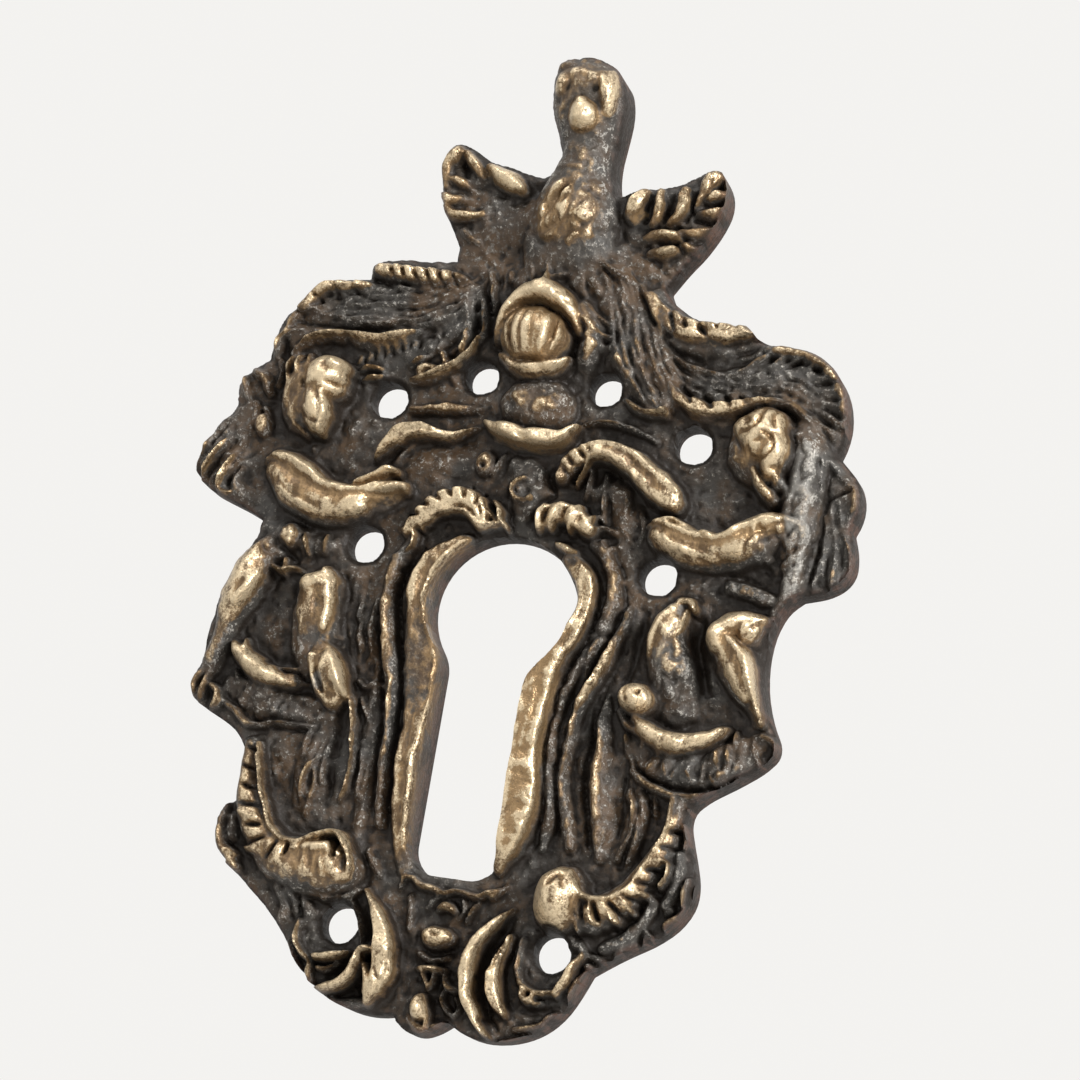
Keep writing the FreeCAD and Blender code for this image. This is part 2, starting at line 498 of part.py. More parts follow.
def lower_scrolls():
    """The ribbed scrolls that turn in under the panels, the volutes and the shell between them."""
    left_scroll = [(-17.1, -12.9, 0.6, 0.6), (-16.8, -15.0, 0.8, 0.75), (-16.2, -17.2, 1.0, 0.9),
                   (-14.8, -19.2, 1.2, 1.0), (-12.8, -20.5, 1.5, 1.05), (-10.6, -20.7, 1.9, 1.15),
                   (-8.7, -20.7, 1.4, 1.0)]
    right_scroll = [(15.7, -13.0, 0.6, 0.6), (15.5, -15.0, 0.8, 0.75), (14.9, -17.2, 0.9, 0.85),
                    (13.6, -19.4, 1.0, 0.95), (11.7, -21.0, 1.2, 1.0), (9.6, -21.5, 1.4, 1.05)]
    volutes = [
        [(-6.2, -22.4, 0.3, 0.6), (-4.9, -24.2, 0.65, 0.9), (-4.0, -26.2, 0.8, 1.0),
         (-3.7, -28.2, 0.8, 1.0), (-4.1, -30.0, 0.5, 0.7)],
        [(4.7, -22.4, 0.35, 0.6), (3.4, -24.0, 0.55, 0.85), (2.5, -26.0, 0.7, 1.0),
         (2.3, -28.2, 0.75, 1.0), (3.1, -30.2, 0.6, 0.8), (4.5, -31.2, 0.3, 0.5)],
        [(5.1, -24.5, 0.3, 0.6), (4.5, -26.0, 0.45, 0.85), (4.5, -27.6, 0.7, 1.0),
         (5.0, -29.1, 0.7, 1.0), (5.8, -30.2, 0.4, 0.6)],
    ]
    rings = [
        [(-11.0, -25.4, 0.4, 0.8), (-10.7, -27.2, 0.5, 1.0), (-9.4, -28.8, 0.6, 1.0),
         (-7.4, -29.4, 0.7, 1.0), (-5.8, -28.4, 0.5, 0.9)],
        [(10.3, -26.5, 0.4, 0.7), (9.6, -28.6, 0.5, 0.9), (8.2, -30.1, 0.5, 0.9),
         (6.6, -31.0, 0.35, 0.7)],
        [(-3.4, -20.9, 0.3, 0.9), (-2.2, -21.3, 0.35, 1.0), (-0.9, -21.7, 0.35, 1.0),
         (0.4, -21.5, 0.35, 1.0), (1.8, -21.5, 0.35, 1.0), (3.0, -20.9, 0.3, 0.9)],
        [(16.4, -22.0, 0.3, 0.8), (17.1, -20.4, 0.4, 1.0), (17.1, -18.6, 0.3, 0.8)],
    ]
    seeds = [
        dome(-0.4, -22.7, 0.8, 0.6, strand_relief),
        dome(-0.5, -25.1, 1.3, 0.8, strand_relief, 1.2),
        dome(-0.8, -27.8, 1.1, 0.7, strand_relief),
        dome(-1.0, -30.4, 1.4, 1.3, strand_relief, 1.3),
    ]
    return (
        [ridge(left_scroll, scroll_relief), ridge(right_scroll, scroll_relief)]
        + [dome(7.9, -20.9, 2.1, 2.3, scroll_relief, 1.45)]
        + [ridge(volute, scroll_relief) for volute in volutes]
        + [ridge(ring, strand_relief, ROOF) for ring in rings]
        + seeds
    )


def drills(front):
    """What is bored away: the keyhole, the nail holes and the piercings."""
    clear = 1.0
    places = [(left_shoulder_hole, nail_hole_diameter), (right_shoulder_hole, nail_hole_diameter)]
    for side in (-1, 1):
        places.append(((nail_axis_x + side * lower_nail_x, lower_nail_z), nail_hole_diameter))
        places.append(((nail_axis_x + side * waist_nail_x, waist_nail_z), nail_hole_diameter))
        places.append(((side * cheek_hole_x, cheek_hole_z), cheek_hole_diameter))
    tools = [extrude_forward(keyhole_wire(0), -clear, front + clear)]
    for (x, z), diameter in places:
        base = point(x, z, -clear)
        forward = FreeCAD.Vector(0, -1, 0)
        tools.append(Part.makeCylinder(diameter / 2, front + 2 * clear, base, forward))
    return tools


def escutcheon():
    """The whole casting: the plate with its relief, pierced."""
    relief = bird() + crown() + mantling() + left_figure() + right_figure()
    relief += keyhole_rim() + scrolls() + side_panels() + lower_scrolls()
    casting = plate().multiFuse(relief)
    front = plate_thickness + 2 * max(head_relief, bird_relief, crown_relief)
    return casting.cut(drills(front))


os.makedirs("parts", exist_ok=True)
escutcheon().exportStep("parts/escutcheon.step")
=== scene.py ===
"""The looks of a cast and chased keyhole escutcheon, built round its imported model.

The casting is one piece: a relief worked out as a height field over the plate's outline, with the walls
and the flat back that close it. Lengths inside the relief are millimetres; Blender's own are metres.
"""

import math

import bmesh
import bpy
import numpy as np
from bpy.props import FloatProperty, FloatVectorProperty, IntProperty, PointerProperty
from mathutils import Matrix, Vector


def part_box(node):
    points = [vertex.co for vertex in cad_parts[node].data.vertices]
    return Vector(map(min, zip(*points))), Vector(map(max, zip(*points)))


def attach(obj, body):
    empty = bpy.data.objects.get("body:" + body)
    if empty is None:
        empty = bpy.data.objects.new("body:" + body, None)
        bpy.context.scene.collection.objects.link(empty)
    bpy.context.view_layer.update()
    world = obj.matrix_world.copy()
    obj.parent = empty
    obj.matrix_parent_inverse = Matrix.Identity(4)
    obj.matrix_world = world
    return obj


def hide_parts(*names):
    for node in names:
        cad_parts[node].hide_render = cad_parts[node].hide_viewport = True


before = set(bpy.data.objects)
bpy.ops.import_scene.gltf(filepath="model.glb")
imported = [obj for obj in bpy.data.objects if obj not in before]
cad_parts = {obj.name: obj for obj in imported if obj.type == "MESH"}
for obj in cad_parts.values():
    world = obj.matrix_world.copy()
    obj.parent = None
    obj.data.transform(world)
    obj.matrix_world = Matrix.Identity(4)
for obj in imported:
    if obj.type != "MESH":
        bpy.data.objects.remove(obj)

bl_info = {
    "name": "Keyhole escutcheon",
    "version": (1, 0, 0),
    "blender": (4, 5, 0),
    "location": "3D View > Sidebar > Escutcheon",
    "description": "Builds a cast keyhole escutcheon with its patina, and the stage it is shown on",
    "category": "Add Mesh",
}

NODE = "escutcheon"
MILLIMETRE = 0.001

# Millimetres: the plate's ground, and the thinnest that its edges are worn to
PLATE = 2.4
THINNEST = 1.2
# Millimetres: how far below the greatest depth the relief begins to flatten
EASE = 0.4
# Millimetres: a form's foot is sunk this deep into the ground, and past it falls so far for each half width
SUNK = 0.02
SKIRT = 4
# Millimetres: the keyhole's edges lie this near its centre to the sides and above it, and no lower than this
KEYHOLE_REACH = 6.3
KEYHOLE_FOOT = -21.5
# Degrees: the sharpest bend between two faces that still shades smoothly
SMOOTH_BEND = 52


def length(name, description, default):
    """A length property in metres."""
    return FloatProperty(name=name, description=description, default=default, min=0, precision=6,
                         unit="LENGTH")


def colour(name, description, default):
    """A colour property."""
    return FloatVectorProperty(name=name, description=description, default=default, size=3, min=0, max=1,
                               subtype="COLOR")


class CastingSettings(bpy.types.PropertyGroup):
    """Sizes of the casting's surface."""

    grid_step: length("Grid step", "Spacing of the grid that the relief is worked out on", 0.000125)
    outer_edge: length("Outer edge radius", "How round the plate's outer edge is worn", 0.00055)
    cut_edge: length("Opening edge radius", "How round the edge of the keyhole is", 0.00022)
    nail_edge: length("Nail hole edge radius", "How far the fronts of the nail holes are worn open", 0.0006)
    softening: length("Softening", "How much casting has softened the modelled forms", 0.00007)
    grain: length("Grain", "Height of the casting's uneven skin", 0.000035)
    deepest_front: length("Greatest depth", "The highest point of the relief before the back", 0.00665)
    triangles: IntProperty(name="Triangles", description="The most triangles that the casting may have",
                           default=192000, min=20000)


class PatinaSettings(bpy.types.PropertyGroup):
    """Colours of the bronze and its patina."""

    # The hollow colour is also painted as shade on the worn fronts of the nail holes
    hollow: colour("Hollows", "Black-brown patina in the deepest hollows", (0.012, 0.008, 0.005))
    ground: colour("Ground", "Grey patina of the ground", (0.052, 0.047, 0.041))
    brown: colour("Brown", "Brown patina on the sides of the forms", (0.075, 0.046, 0.025))
    bronze: colour("Bronze", "Rubbed golden-brown bronze", (0.285, 0.187, 0.094))
    crest: colour("Crests", "Pale gold of the most worn crests", (0.60, 0.48, 0.315))
    glint: colour("Glints", "Pale grey glints where the rough skin catches the light", (0.42, 0.40, 0.36))
    wall: colour("Walls", "Reddish-brown of the plate's side walls", (0.075, 0.034, 0.021))


class StageSettings(bpy.types.PropertyGroup):
    """The camera, the lamps and the floor."""

    azimuth: FloatProperty(name="Azimuth", description="How far the camera stands to the right",
                           default=math.radians(16), subtype="ANGLE")
    elevation: FloatProperty(name="Elevation", description="How far the camera stands above the plate",
                             default=math.radians(-12), subtype="ANGLE")
    roll: FloatProperty(name="Roll", description="How far the camera is rolled", default=0.170772,
                        subtype="ANGLE")
    distance: length("Distance", "From the camera to the plate", 0.3)
    lens: FloatProperty(name="Lens", description="Focal length on a 36 mm sensor", default=132.33,
                        unit="CAMERA")
    target: FloatVectorProperty(name="Target", description="The point that the camera looks at",
                                default=(0.0012015, 0, 0.0061848), size=3, subtype="TRANSLATION")
    floor_level: length("Floor below", "How far the floor lies below the keyhole", 0.1)
    floor_size: length("Floor size", "Width of the square floor", 3.0)
    floor_colour: colour("Floor colour", "Pale floor", (0.78, 0.77, 0.75))
    backdrop: colour("Backdrop", "Pale backdrop that the camera and the metal see", (0.90, 0.89, 0.87))


def blurred(field, radius, longer=1.0, heading=0.0):
    """A field smoothed by a Gaussian whose standard deviation is radius cells, worked out in frequencies.

    Along the heading, in degrees, the smoothing is so many times longer, which draws streaks that way.
    """
    pad = int(radius * 3 * longer) + 1
    padded = np.pad(field, pad, mode="edge")
    rows = np.fft.fftfreq(padded.shape[0])[:, None]
    cols = np.fft.rfftfreq(padded.shape[1])[None, :]
    c, s = math.cos(math.radians(heading)), math.sin(math.radians(heading))
    along, across = cols * c + rows * s, rows * c - cols * s
    keep = np.exp(-2 * (math.pi * radius) ** 2 * ((along * longer) ** 2 + across ** 2))
    smooth = np.fft.irfft2(np.fft.rfft2(padded) * keep, s=padded.shape)
    return smooth[pad:-pad, pad:-pad]


def speckle(shape, radius, seed, longer=1.0, heading=0.0):
    """Smooth random bumps about radius cells wide, with a standard deviation of one."""
    field = blurred(np.random.default_rng(seed).standard_normal(shape), radius, longer, heading)
    return (field - field.mean()) / field.std()


def smooth_step(low, high, value):
    """Zero below low, one above high, and a cubic between them."""
    t = np.clip((value - low) / (high - low), 0, 1)
    return t * t * (3 - 2 * t)


def smooth_path(stations, spacing=0.2):
    """A Catmull-Rom curve through the stations, sampled about every spacing millimetres."""
    points = np.asarray(stations, float)
    if len(points) == 1:
        points = np.vstack([points, points + [1e-3, 0, 0, 0]])
    ends = np.vstack([2 * points[0] - points[1], points, 2 * points[-1] - points[-2]])
    a, b, c, d = ends[:-3, None], ends[1:-2, None], ends[2:-1, None], ends[3:, None]
    longest = np.hypot(*(points[1:, :2] - points[:-1, :2]).T).max()
    count = max(2, int(math.ceil(longest / spacing)))
    t = (np.arange(count) / count)[None, :, None]
    curve = 0.5 * (2 * b + (c - a) * t + (2 * a - 5 * b + 4 * c - d) * t ** 2
                   + (3 * b - a - 3 * c + d) * t ** 3)
    return np.vstack([curve.reshape(-1, 4), points[-1:]])


def cross_section(kind, across):
    """The height, from 0 to 1, of a section at a place across it, from -1 to 1.

    round is a flattened half circle, bell a raised cosine, flat a plateau with eased sides, roof two
    slopes with a blunt top, and left and right are slopes that rise gently to a crest near that side.
    """
    u = np.abs(across)
    inside = np.clip(1 - u * u, 0, 1)
    if kind == "round":
        height = inside ** 0.62
    elif kind == "bell":
        height = np.where(u < 1, 0.5 + 0.5 * np.cos(math.pi * np.minimum(u, 1)), 0)
    elif kind == "flat":
        height = 1 - smooth_step(0.55, 1.0, u)
    elif kind == "roof":
        height = np.clip(1.08 - np.sqrt(u * u + 0.0064), 0, 1)
    else:
        v = across if kind == "left" else -across
        crest = 0.55
        gentle = np.clip((v + 1) / (crest + 1), 0, 1) ** 0.85
        steep = np.clip((1 - v) / (1 - crest), 0, 1) ** 0.6
        height = np.where(v < crest, gentle, steep)
    return height


class Relief:
    """A height field over the plate: how far its front stands before the back plane, in millimetres."""

    def __init__(self, low, high, step, ground):
        self.low = low
        self.step = step
        self.shape = (int((high[1] - low[1]) / step) + 1, int((high[0] - low[0]) / step) + 1)
        self.height = np.full(self.shape, float(ground))
        self.gilt = np.zeros(self.shape)
        self.ground = ground
        self.sway_x = (0.055 * speckle(self.shape, 0.8 / step, 21)
                       + 0.03 * speckle(self.shape, 0.28 / step, 22))
        self.sway_z = (0.055 * speckle(self.shape, 0.8 / step, 23)
                       + 0.03 * speckle(self.shape, 0.28 / step, 24))
        self.swell = (1 + 0.045 * speckle(self.shape, 0.7 / step, 25)
                      + 0.03 * speckle(self.shape, 0.3 / step, 26))

    def window(self, x_low, x_high, z_low, z_high):
        """The slices of the grid over a rectangle, and the coordinates of its points."""
        c0 = max(int((x_low - self.low[0]) / self.step), 0)
        c1 = min(int((x_high - self.low[0]) / self.step) + 2, self.shape[1])
        r0 = max(int((z_low - self.low[1]) / self.step), 0)
        r1 = min(int((z_high - self.low[1]) / self.step) + 2, self.shape[0])
        xs = self.low[0] + np.arange(c0, c1) * self.step
        zs = self.low[1] + np.arange(r0, r1) * self.step
        return (slice(r0, r1), slice(c0, c1)), xs[None, :], zs[:, None]

    def along(self, stations):
        """The window round a path, and at each point the place across it in half widths and its height.

        Each point is first moved by the sway, up to about 0.15 mm, so that no form has a ruled edge.
        """
        line = smooth_path(stations)
        line[:, 2] = np.maximum(line[:, 2], 0.05)
        reach = line[:, 2] * 1.3 + 0.3
        window, xs, zs = self.window(
            (line[:, 0] - reach).min(), (line[:, 0] + reach).max(),
            (line[:, 1] - reach).min(), (line[:, 1] + reach).max(),
        )
        xs = xs + self.sway_x[window]
        zs = zs + self.sway_z[window]
        best = np.full(xs.shape, 1e9)
        side = np.zeros_like(best)
        rise = np.zeros_like(best)
        for (ax, az, aw, ah), (bx, bz, bw, bh) in zip(line[:-1], line[1:]):
            ex, ez = bx - ax, bz - az
            px, pz = xs - ax, zs - az
            t = np.clip((px * ex + pz * ez) / (ex * ex + ez * ez + 1e-12), 0, 1)
            u = np.hypot(px - t * ex, pz - t * ez) / (aw + t * (bw - aw))
            nearer = u < best
            best = np.where(nearer, u, best)
            side = np.where(nearer, np.sign(ex * pz - ez * px), side)
            rise = np.where(nearer, ah + t * (bh - ah), rise)
        return window, best * side, rise * self.swell[window]

    def fuse(self, window, target, blend, cover, gold):
        """Takes the soft maximum of a target height and what is there, and rubs the new part golden.

        With g the gap (target - height) / blend + 1, halved and kept from 0 to 1, the new height is
        height + (target - height) g + blend g (1 - g).
        """
        here = self.height[window]
        gap = np.clip(0.5 + 0.5 * (target - here) / blend, 0, 1)
        self.height[window] = here + (target - here) * gap + blend * gap * (1 - gap)
        if gold is not None:
            self.gilt[window] += (gold - self.gilt[window]) * cover * gap

    def form(self, stations, kind="round", blend=0.12, gold=None):
        """Fuses a raised form, carried along a path, to what is there."""
        window, across, rise = self.along(stations)
        u = np.abs(across)
        skirt = SKIRT * np.clip(u - 1, 0, None)
        target = self.ground + rise * cross_section(kind, across) - skirt - SUNK
        self.fuse(window, target, blend, 1 - smooth_step(0.7, 1.15, u), gold)

    def add(self, stations, kind="bell", gold=None):
        """Adds a swelling along a path to what is there, or cuts a groove where its height is negative."""
        window, across, rise = self.along(stations)
        self.height[window] += rise * cross_section(kind, across)
        if gold is not None:
            self.gilt[window] += (gold - self.gilt[window]) * (1 - smooth_step(0.6, 1.15, np.abs(across)))

    def forms(self, paths, kind="round", blend=0.12, gold=None):
        """Fuses a raised form along each of several paths."""
        for path in paths:
            self.form(path, kind, blend, gold)

    def adds(self, paths, kind="bell", gold=None):
        """Adds a swelling or a groove along each of several paths."""
        for path in paths:
            self.add(path, kind, gold)

    def oval(self, x, z, half_width, half_length, turn):
        """The window over an ellipse turned by an angle in degrees, and how far out each point lies in it."""
        size = max(half_width, half_length) * 1.15 + 0.3
        window, xs, zs = self.window(x - size, x + size, z - size, z + size)
        xs = xs + self.sway_x[window]
        zs = zs + self.sway_z[window]
        c, s = math.cos(math.radians(turn)), math.sin(math.radians(turn))
        return window, np.hypot(((xs - x) * c + (zs - z) * s) / half_width,
                                ((zs - z) * c - (xs - x) * s) / half_length)

    def boss(self, x, z, half_width, half_length, height, turn=0.0, blend=0.12, power=0.5, gold=None):
        """Fuses a rounded boss to what is there: an ellipse turned by an angle in degrees, raised over it.

        At a distance u from its middle, in half sizes, it is height times (1 - u^2) to the given power.
        """
        window, u = self.oval(x, z, half_width, half_length, turn)
        skirt = SKIRT * np.clip(u - 1, 0, None)
        target = self.ground + height * np.clip(1 - u * u, 0, 1) ** power - skirt - SUNK
        self.fuse(window, target, blend, 1 - smooth_step(0.7, 1.1, u), gold)

    def rub(self, x, z, half_width, half_length, gold, turn=0.0):
        """Rubs an oval patch golden, or dulls it where gold is negative."""
        window, u = self.oval(x, z, half_width, half_length, turn)
        self.gilt[window] += (gold - self.gilt[window]) * (1 - smooth_step(0.6, 1.1, u))

    def chase(self, x, z, half_width, half_length, size, depth, seed, turn=0.0, longer=1.0, heading=0.0):
        """Chases an oval patch with irregular cuts and the plates left between them.

        The cuts follow the lines where a random field of the given size is zero, as exp(-(field / 0.35)^2),
        and the plates bulge with the field; longer and heading draw the pattern out that way.
        """
        window, u = self.oval(x, z, half_width, half_length, turn)
        field = speckle(u.shape, size / self.step, seed, longer, heading)
        cuts = np.exp(-(field / 0.35) ** 2)
        plates = np.clip(np.abs(field), 0, 1.6)
        self.height[window] += depth * (0.5 * plates - cuts) * (1 - smooth_step(0.65, 1.0, u))

    def dots(self, places, gold=None):
        """Adds small round swellings, or pits: (x, z, radius, height) each."""
        for place in places:
            self.add([place], "bell", gold)

    def comb(self, stations, count, seed, gold=None):
        """Combs strands along a path: count grooves across half its width, as deep as the stations' heights.

        The height changes by depth times (|sin(pi (across count + sway) / 2)| - 0.6), and fades at the
        path's sides.
        """
        window, across, depth = self.along(stations)
        sway = (0.55 * speckle(across.shape, 1.1 / self.step, seed)
                + 0.2 * speckle(across.shape, 0.35 / self.step, seed + 1))
        strands = np.abs(np.sin(math.pi / 2 * (across * count + sway))) - 0.6
        fade = 1 - smooth_step(0.75, 1.0, np.abs(across))
        self.height[window] += depth * strands * fade
        if gold is not None:
            self.gilt[window] += (gold - self.gilt[window]) * fade

    def tint(self, stations):
        """Paints the metal golden or dark along a path, for rubbing and, on some limbs, for light and shade;
        the fourth number of a station is how much.
        """
        window, across, rise = self.along(stations)
        cover = 1 - smooth_step(0.6, 1.15, np.abs(across))
        self.gilt[window] += (rise - self.gilt[window]) * cover

    def tints(self, paths):
        """Paints the metal golden or dark along each of several paths, for rubbing and, on some limbs, for
        light and shade.
        """
        for path in paths:
            self.tint(path)


def carve_bird(r):
    """The bird: a body with scaly breast, collar, neck and head with a knob of a beak, and two wings."""
    r.form([(-7.6, 28.0, 1.2, 0.3), (-4.8, 29.8, 2.6, 0.9), (-2.4, 30.8, 2.4, 1.4)], "bell")
    r.form([(3.2, 28.4, 2.4, 1.2), (5.2, 27.6, 1.8, 0.8), (7.4, 27.2, 1.0, 0.4)], "bell")
    r.form([(0.3, 25.9, 2.6, 0.9), (0.4, 28.0, 3.7, 2.4), (0.5, 30.2, 3.7, 3.3), (0.5, 32.0, 3.1, 3.2),
            (0.55, 33.8, 2.5, 2.8), (0.65, 35.4, 2.15, 2.5), (0.55, 36.9, 2.25, 2.6), (0.2, 38.6, 2.85, 3.1),
            (0.0, 40.4, 3.15, 3.45), (-0.1, 41.8, 3.1, 3.2), (-0.1, 42.9, 2.8, 2.1)], gold=-0.5)
    r.boss(0.1, 41.2, 2.5, 1.9, 3.6, blend=0.4)
    r.boss(-1.6, 40.7, 1.0, 1.3, 3.6, blend=0.3)
    r.boss(1.9, 40.3, 1.1, 2.4, 3.5, blend=0.4)
    # Eyes, brow and crest
    r.dots([(-1.35, 40.3, 0.55, -0.45), (-1.9, 40.6, 0.22, 0.4), (0.95, 40.5, 0.42, -0.45),
            (-2.0, 39.4, 0.35, -0.3), (-1.5, 38.6, 0.4, -0.3), (2.0, 38.3, 0.4, -0.25),
            (0.0, 41.2, 0.5, -0.25)])
    r.adds([[(1.4, 41.6, 0.28, 0.25), (1.55, 40.9, 0.36, 0.42), (1.6, 40.2, 0.28, 0.3)]], gold=0.5)
    r.adds([[(-2.9, 41.95, 0.22, -0.4), (-2.0, 41.9, 0.26, -0.4), (-1.2, 42.2, 0.2, -0.2)],
            [(-1.0, 42.2, 0.3, -0.25), (0.4, 42.0, 0.35, -0.25), (1.6, 42.3, 0.25, -0.2)]])
    r.dots([(-2.4, 42.5, 0.5, 0.3), (-0.5, 42.9, 0.3, 0.3), (0.6, 42.95, 0.36, 0.35), (-1.4, 43.0, 0.3, 0.2)],
           gold=0.5)
    r.chase(0.1, 41.6, 2.6, 1.9, 0.3, 0.1, 41)
    r.chase(0.6, 38.0, 2.6, 2.4, 0.26, 0.07, 42)
    # Beak
    r.boss(0.25, 38.35, 1.55, 1.75, 4.12, turn=8, blend=0.1, power=0.42, gold=1)
    r.boss(0.1, 39.2, 0.95, 0.9, 3.95, blend=0.3, gold=0.4)
    r.rub(2.1, 39.2, 0.9, 1.5, -0.4)
    r.rub(-1.9, 40.8, 0.8, 1.2, -0.3)
    r.dots([(-0.1, 38.2, 0.24, -0.22), (0.6, 38.3, 0.26, -0.25), (0.0, 37.5, 0.4, -0.12)])
    # Neck and collar
    r.chase(0.6, 35.5, 2.2, 1.7, 0.24, 0.12, 43)
    r.chase(2.0, 34.0, 1.5, 2.6, 0.2, 0.16, 44, longer=2.0, heading=60)
    r.adds([[(-1.6, 34.15, 0.16, -0.2), (0.2, 34.05, 0.18, -0.22), (1.4, 34.1, 0.16, -0.15)],
            [(-1.6, 34.5, 0.2, 0.12), (0.2, 34.4, 0.2, 0.15), (1.2, 34.5, 0.18, 0.1)]])
    # Breast
    r.chase(0.2, 30.7, 3.1, 3.1, 0.3, 0.26, 45, longer=1.5, heading=65)
    r.chase(2.4, 30.6, 1.9, 3.4, 0.2, 0.18, 46, longer=1.8, heading=70)
    r.rub(-0.9, 30.6, 1.5, 2.9, 0.75, turn=-6)
    r.rub(0.9, 29.4, 0.9, 1.2, 0.4)
    r.adds([
        [(-0.6, 33.0, 0.28, 0.25), (-1.3, 32.0, 0.34, 0.3), (-1.6, 30.8, 0.36, 0.28),
         (-1.5, 29.4, 0.34, 0.25)],
        [(0.3, 32.6, 0.26, 0.2), (-0.2, 31.6, 0.3, 0.28), (-0.4, 30.4, 0.3, 0.2)],
    ], gold=0.9)
    r.adds([[(-0.1, 32.6, 0.16, -0.3), (-0.7, 31.6, 0.18, -0.35), (-0.9, 30.8, 0.16, -0.25)],
            [(-2.4, 28.9, 0.3, -0.35), (-1.6, 28.2, 0.4, -0.45), (-0.6, 28.4, 0.3, -0.35)]])
    r.dots([(1.5, 28.9, 0.35, 0.35), (2.4, 29.0, 0.28, 0.3), (0.8, 28.4, 0.35, 0.2)], gold=0.7)
    # Left wing
    r.form([(-4.6, 31.6, 2.2, 0.5), (-7.0, 31.6, 2.8, 0.55), (-9.0, 32.6, 2.2, 0.55)], "flat")
    r.boss(-9.75, 35.0, 0.75, 1.0, 1.5, turn=-15, gold=0.7)
    r.forms([
        [(-10.2, 34.8, 0.5, 1.2), (-10.35, 33.6, 0.55, 1.2), (-10.1, 32.4, 0.45, 1.0)],
        [(-8.9, 35.2, 0.5, 1.1), (-8.1, 34.3, 0.6, 1.5), (-7.2, 33.4, 0.4, 1.1)],
        [(-9.7, 33.0, 0.35, 1.2), (-8.9, 32.7, 0.55, 1.4), (-8.2, 32.4, 0.35, 1.1)],
        [(-10.4, 31.6, 0.5, 1.2), (-9.6, 31.3, 0.55, 1.4), (-8.7, 31.4, 0.35, 1.0)],
        [(-10.0, 30.7, 0.5, 1.2), (-9.3, 30.2, 0.45, 1.4), (-8.1, 30.15, 0.45, 1.5),
         (-6.8, 30.45, 0.35, 1.2)],
    ], "flat", 0.1, gold=0.75)
    r.forms([
        [(-6.9, 34.1, 0.5, 1.4), (-6.0, 33.6, 0.85, 2.0), (-4.8, 33.1, 0.95, 2.3), (-3.9, 32.6, 0.6, 1.9)],
    ], "round", 0.1, gold=0.9)
    r.forms([[(-8.3, 29.2, 0.35, 0.8), (-7.6, 28.6, 0.5, 1.0), (-6.7, 28.2, 0.35, 0.7)]], "roof", 0.1,
            gold=0.3)
    r.dots([(-7.8, 32.1, 0.45, 0.5), (-6.1, 31.3, 0.6, 0.4), (-5.5, 30.6, 0.5, 0.4), (-6.4, 29.7, 0.5, 0.35),
            (-7.4, 29.4, 0.4, 0.3), (-3.85, 32.7, 0.3, 0.3)])
    r.adds([[(-9.2, 35.0, 0.25, -0.5), (-8.9, 34.0, 0.5, -0.7), (-8.5, 33.3, 0.3, -0.4)],
            [(-7.3, 34.1, 0.22, -0.4), (-6.7, 33.5, 0.4, -0.6), (-6.3, 33.1, 0.25, -0.4)]])
    r.chase(-7.2, 31.6, 3.4, 2.6, 0.26, 0.13, 47)
    # Right wing: plates between a stem that runs up to the right and the notches that leave it
    r.form([(5.6, 31.0, 2.1, 0.6), (8.4, 31.2, 3.1, 0.7), (10.6, 32.2, 2.5, 0.7)], "flat")
    r.forms([
        [(4.9, 31.2, 0.6, 1.4), (5.2, 32.2, 0.8, 2.0), (5.7, 33.1, 0.6, 1.4)],
        [(6.7, 30.9, 0.4, 1.3), (6.95, 32.0, 0.55, 1.7), (6.9, 33.3, 0.5, 1.3)],
        [(8.0, 31.1, 0.4, 1.3), (8.8, 32.2, 0.65, 1.8), (8.7, 33.6, 0.6, 1.4)],
        [(9.8, 32.4, 0.35, 1.2), (10.2, 33.4, 0.55, 1.4), (10.5, 34.5, 0.9, 1.6), (11.1, 35.1, 0.6, 1.4)],
        [(10.2, 33.0, 0.3, 1.2), (11.2, 33.3, 0.5, 1.6), (12.0, 33.5, 0.4, 1.6)],
        [(10.0, 32.0, 0.25, 1.1), (11.0, 32.0, 0.45, 1.5), (12.0, 32.2, 0.4, 1.6)],
        [(6.3, 29.7, 0.45, 1.1), (7.4, 30.15, 0.6, 1.6), (8.6, 30.1, 0.45, 1.7)],
        [(6.8, 28.5, 0.4, 1.0), (7.8, 28.6, 0.55, 1.5), (8.7, 28.9, 0.45, 1.7)],
        [(9.0, 30.6, 0.4, 1.2), (10.2, 30.4, 0.5, 1.4), (11.3, 30.7, 0.4, 1.5)],
        [(9.1, 29.6, 0.35, 1.1), (10.0, 29.2, 0.45, 1.3), (10.9, 29.6, 0.35, 1.2)],
    ], "flat", 0.08, gold=0.7)
    r.form([(11.7, 34.9, 0.4, 1.3), (12.15, 34.0, 0.5, 1.6), (12.25, 32.9, 0.48, 1.8),
            (11.95, 31.7, 0.48, 1.8), (11.4, 30.6, 0.46, 1.7), (10.9, 29.4, 0.4, 1.5),
            (10.3, 28.2, 0.34, 1.1)], "round", 0.1, gold=0.9)
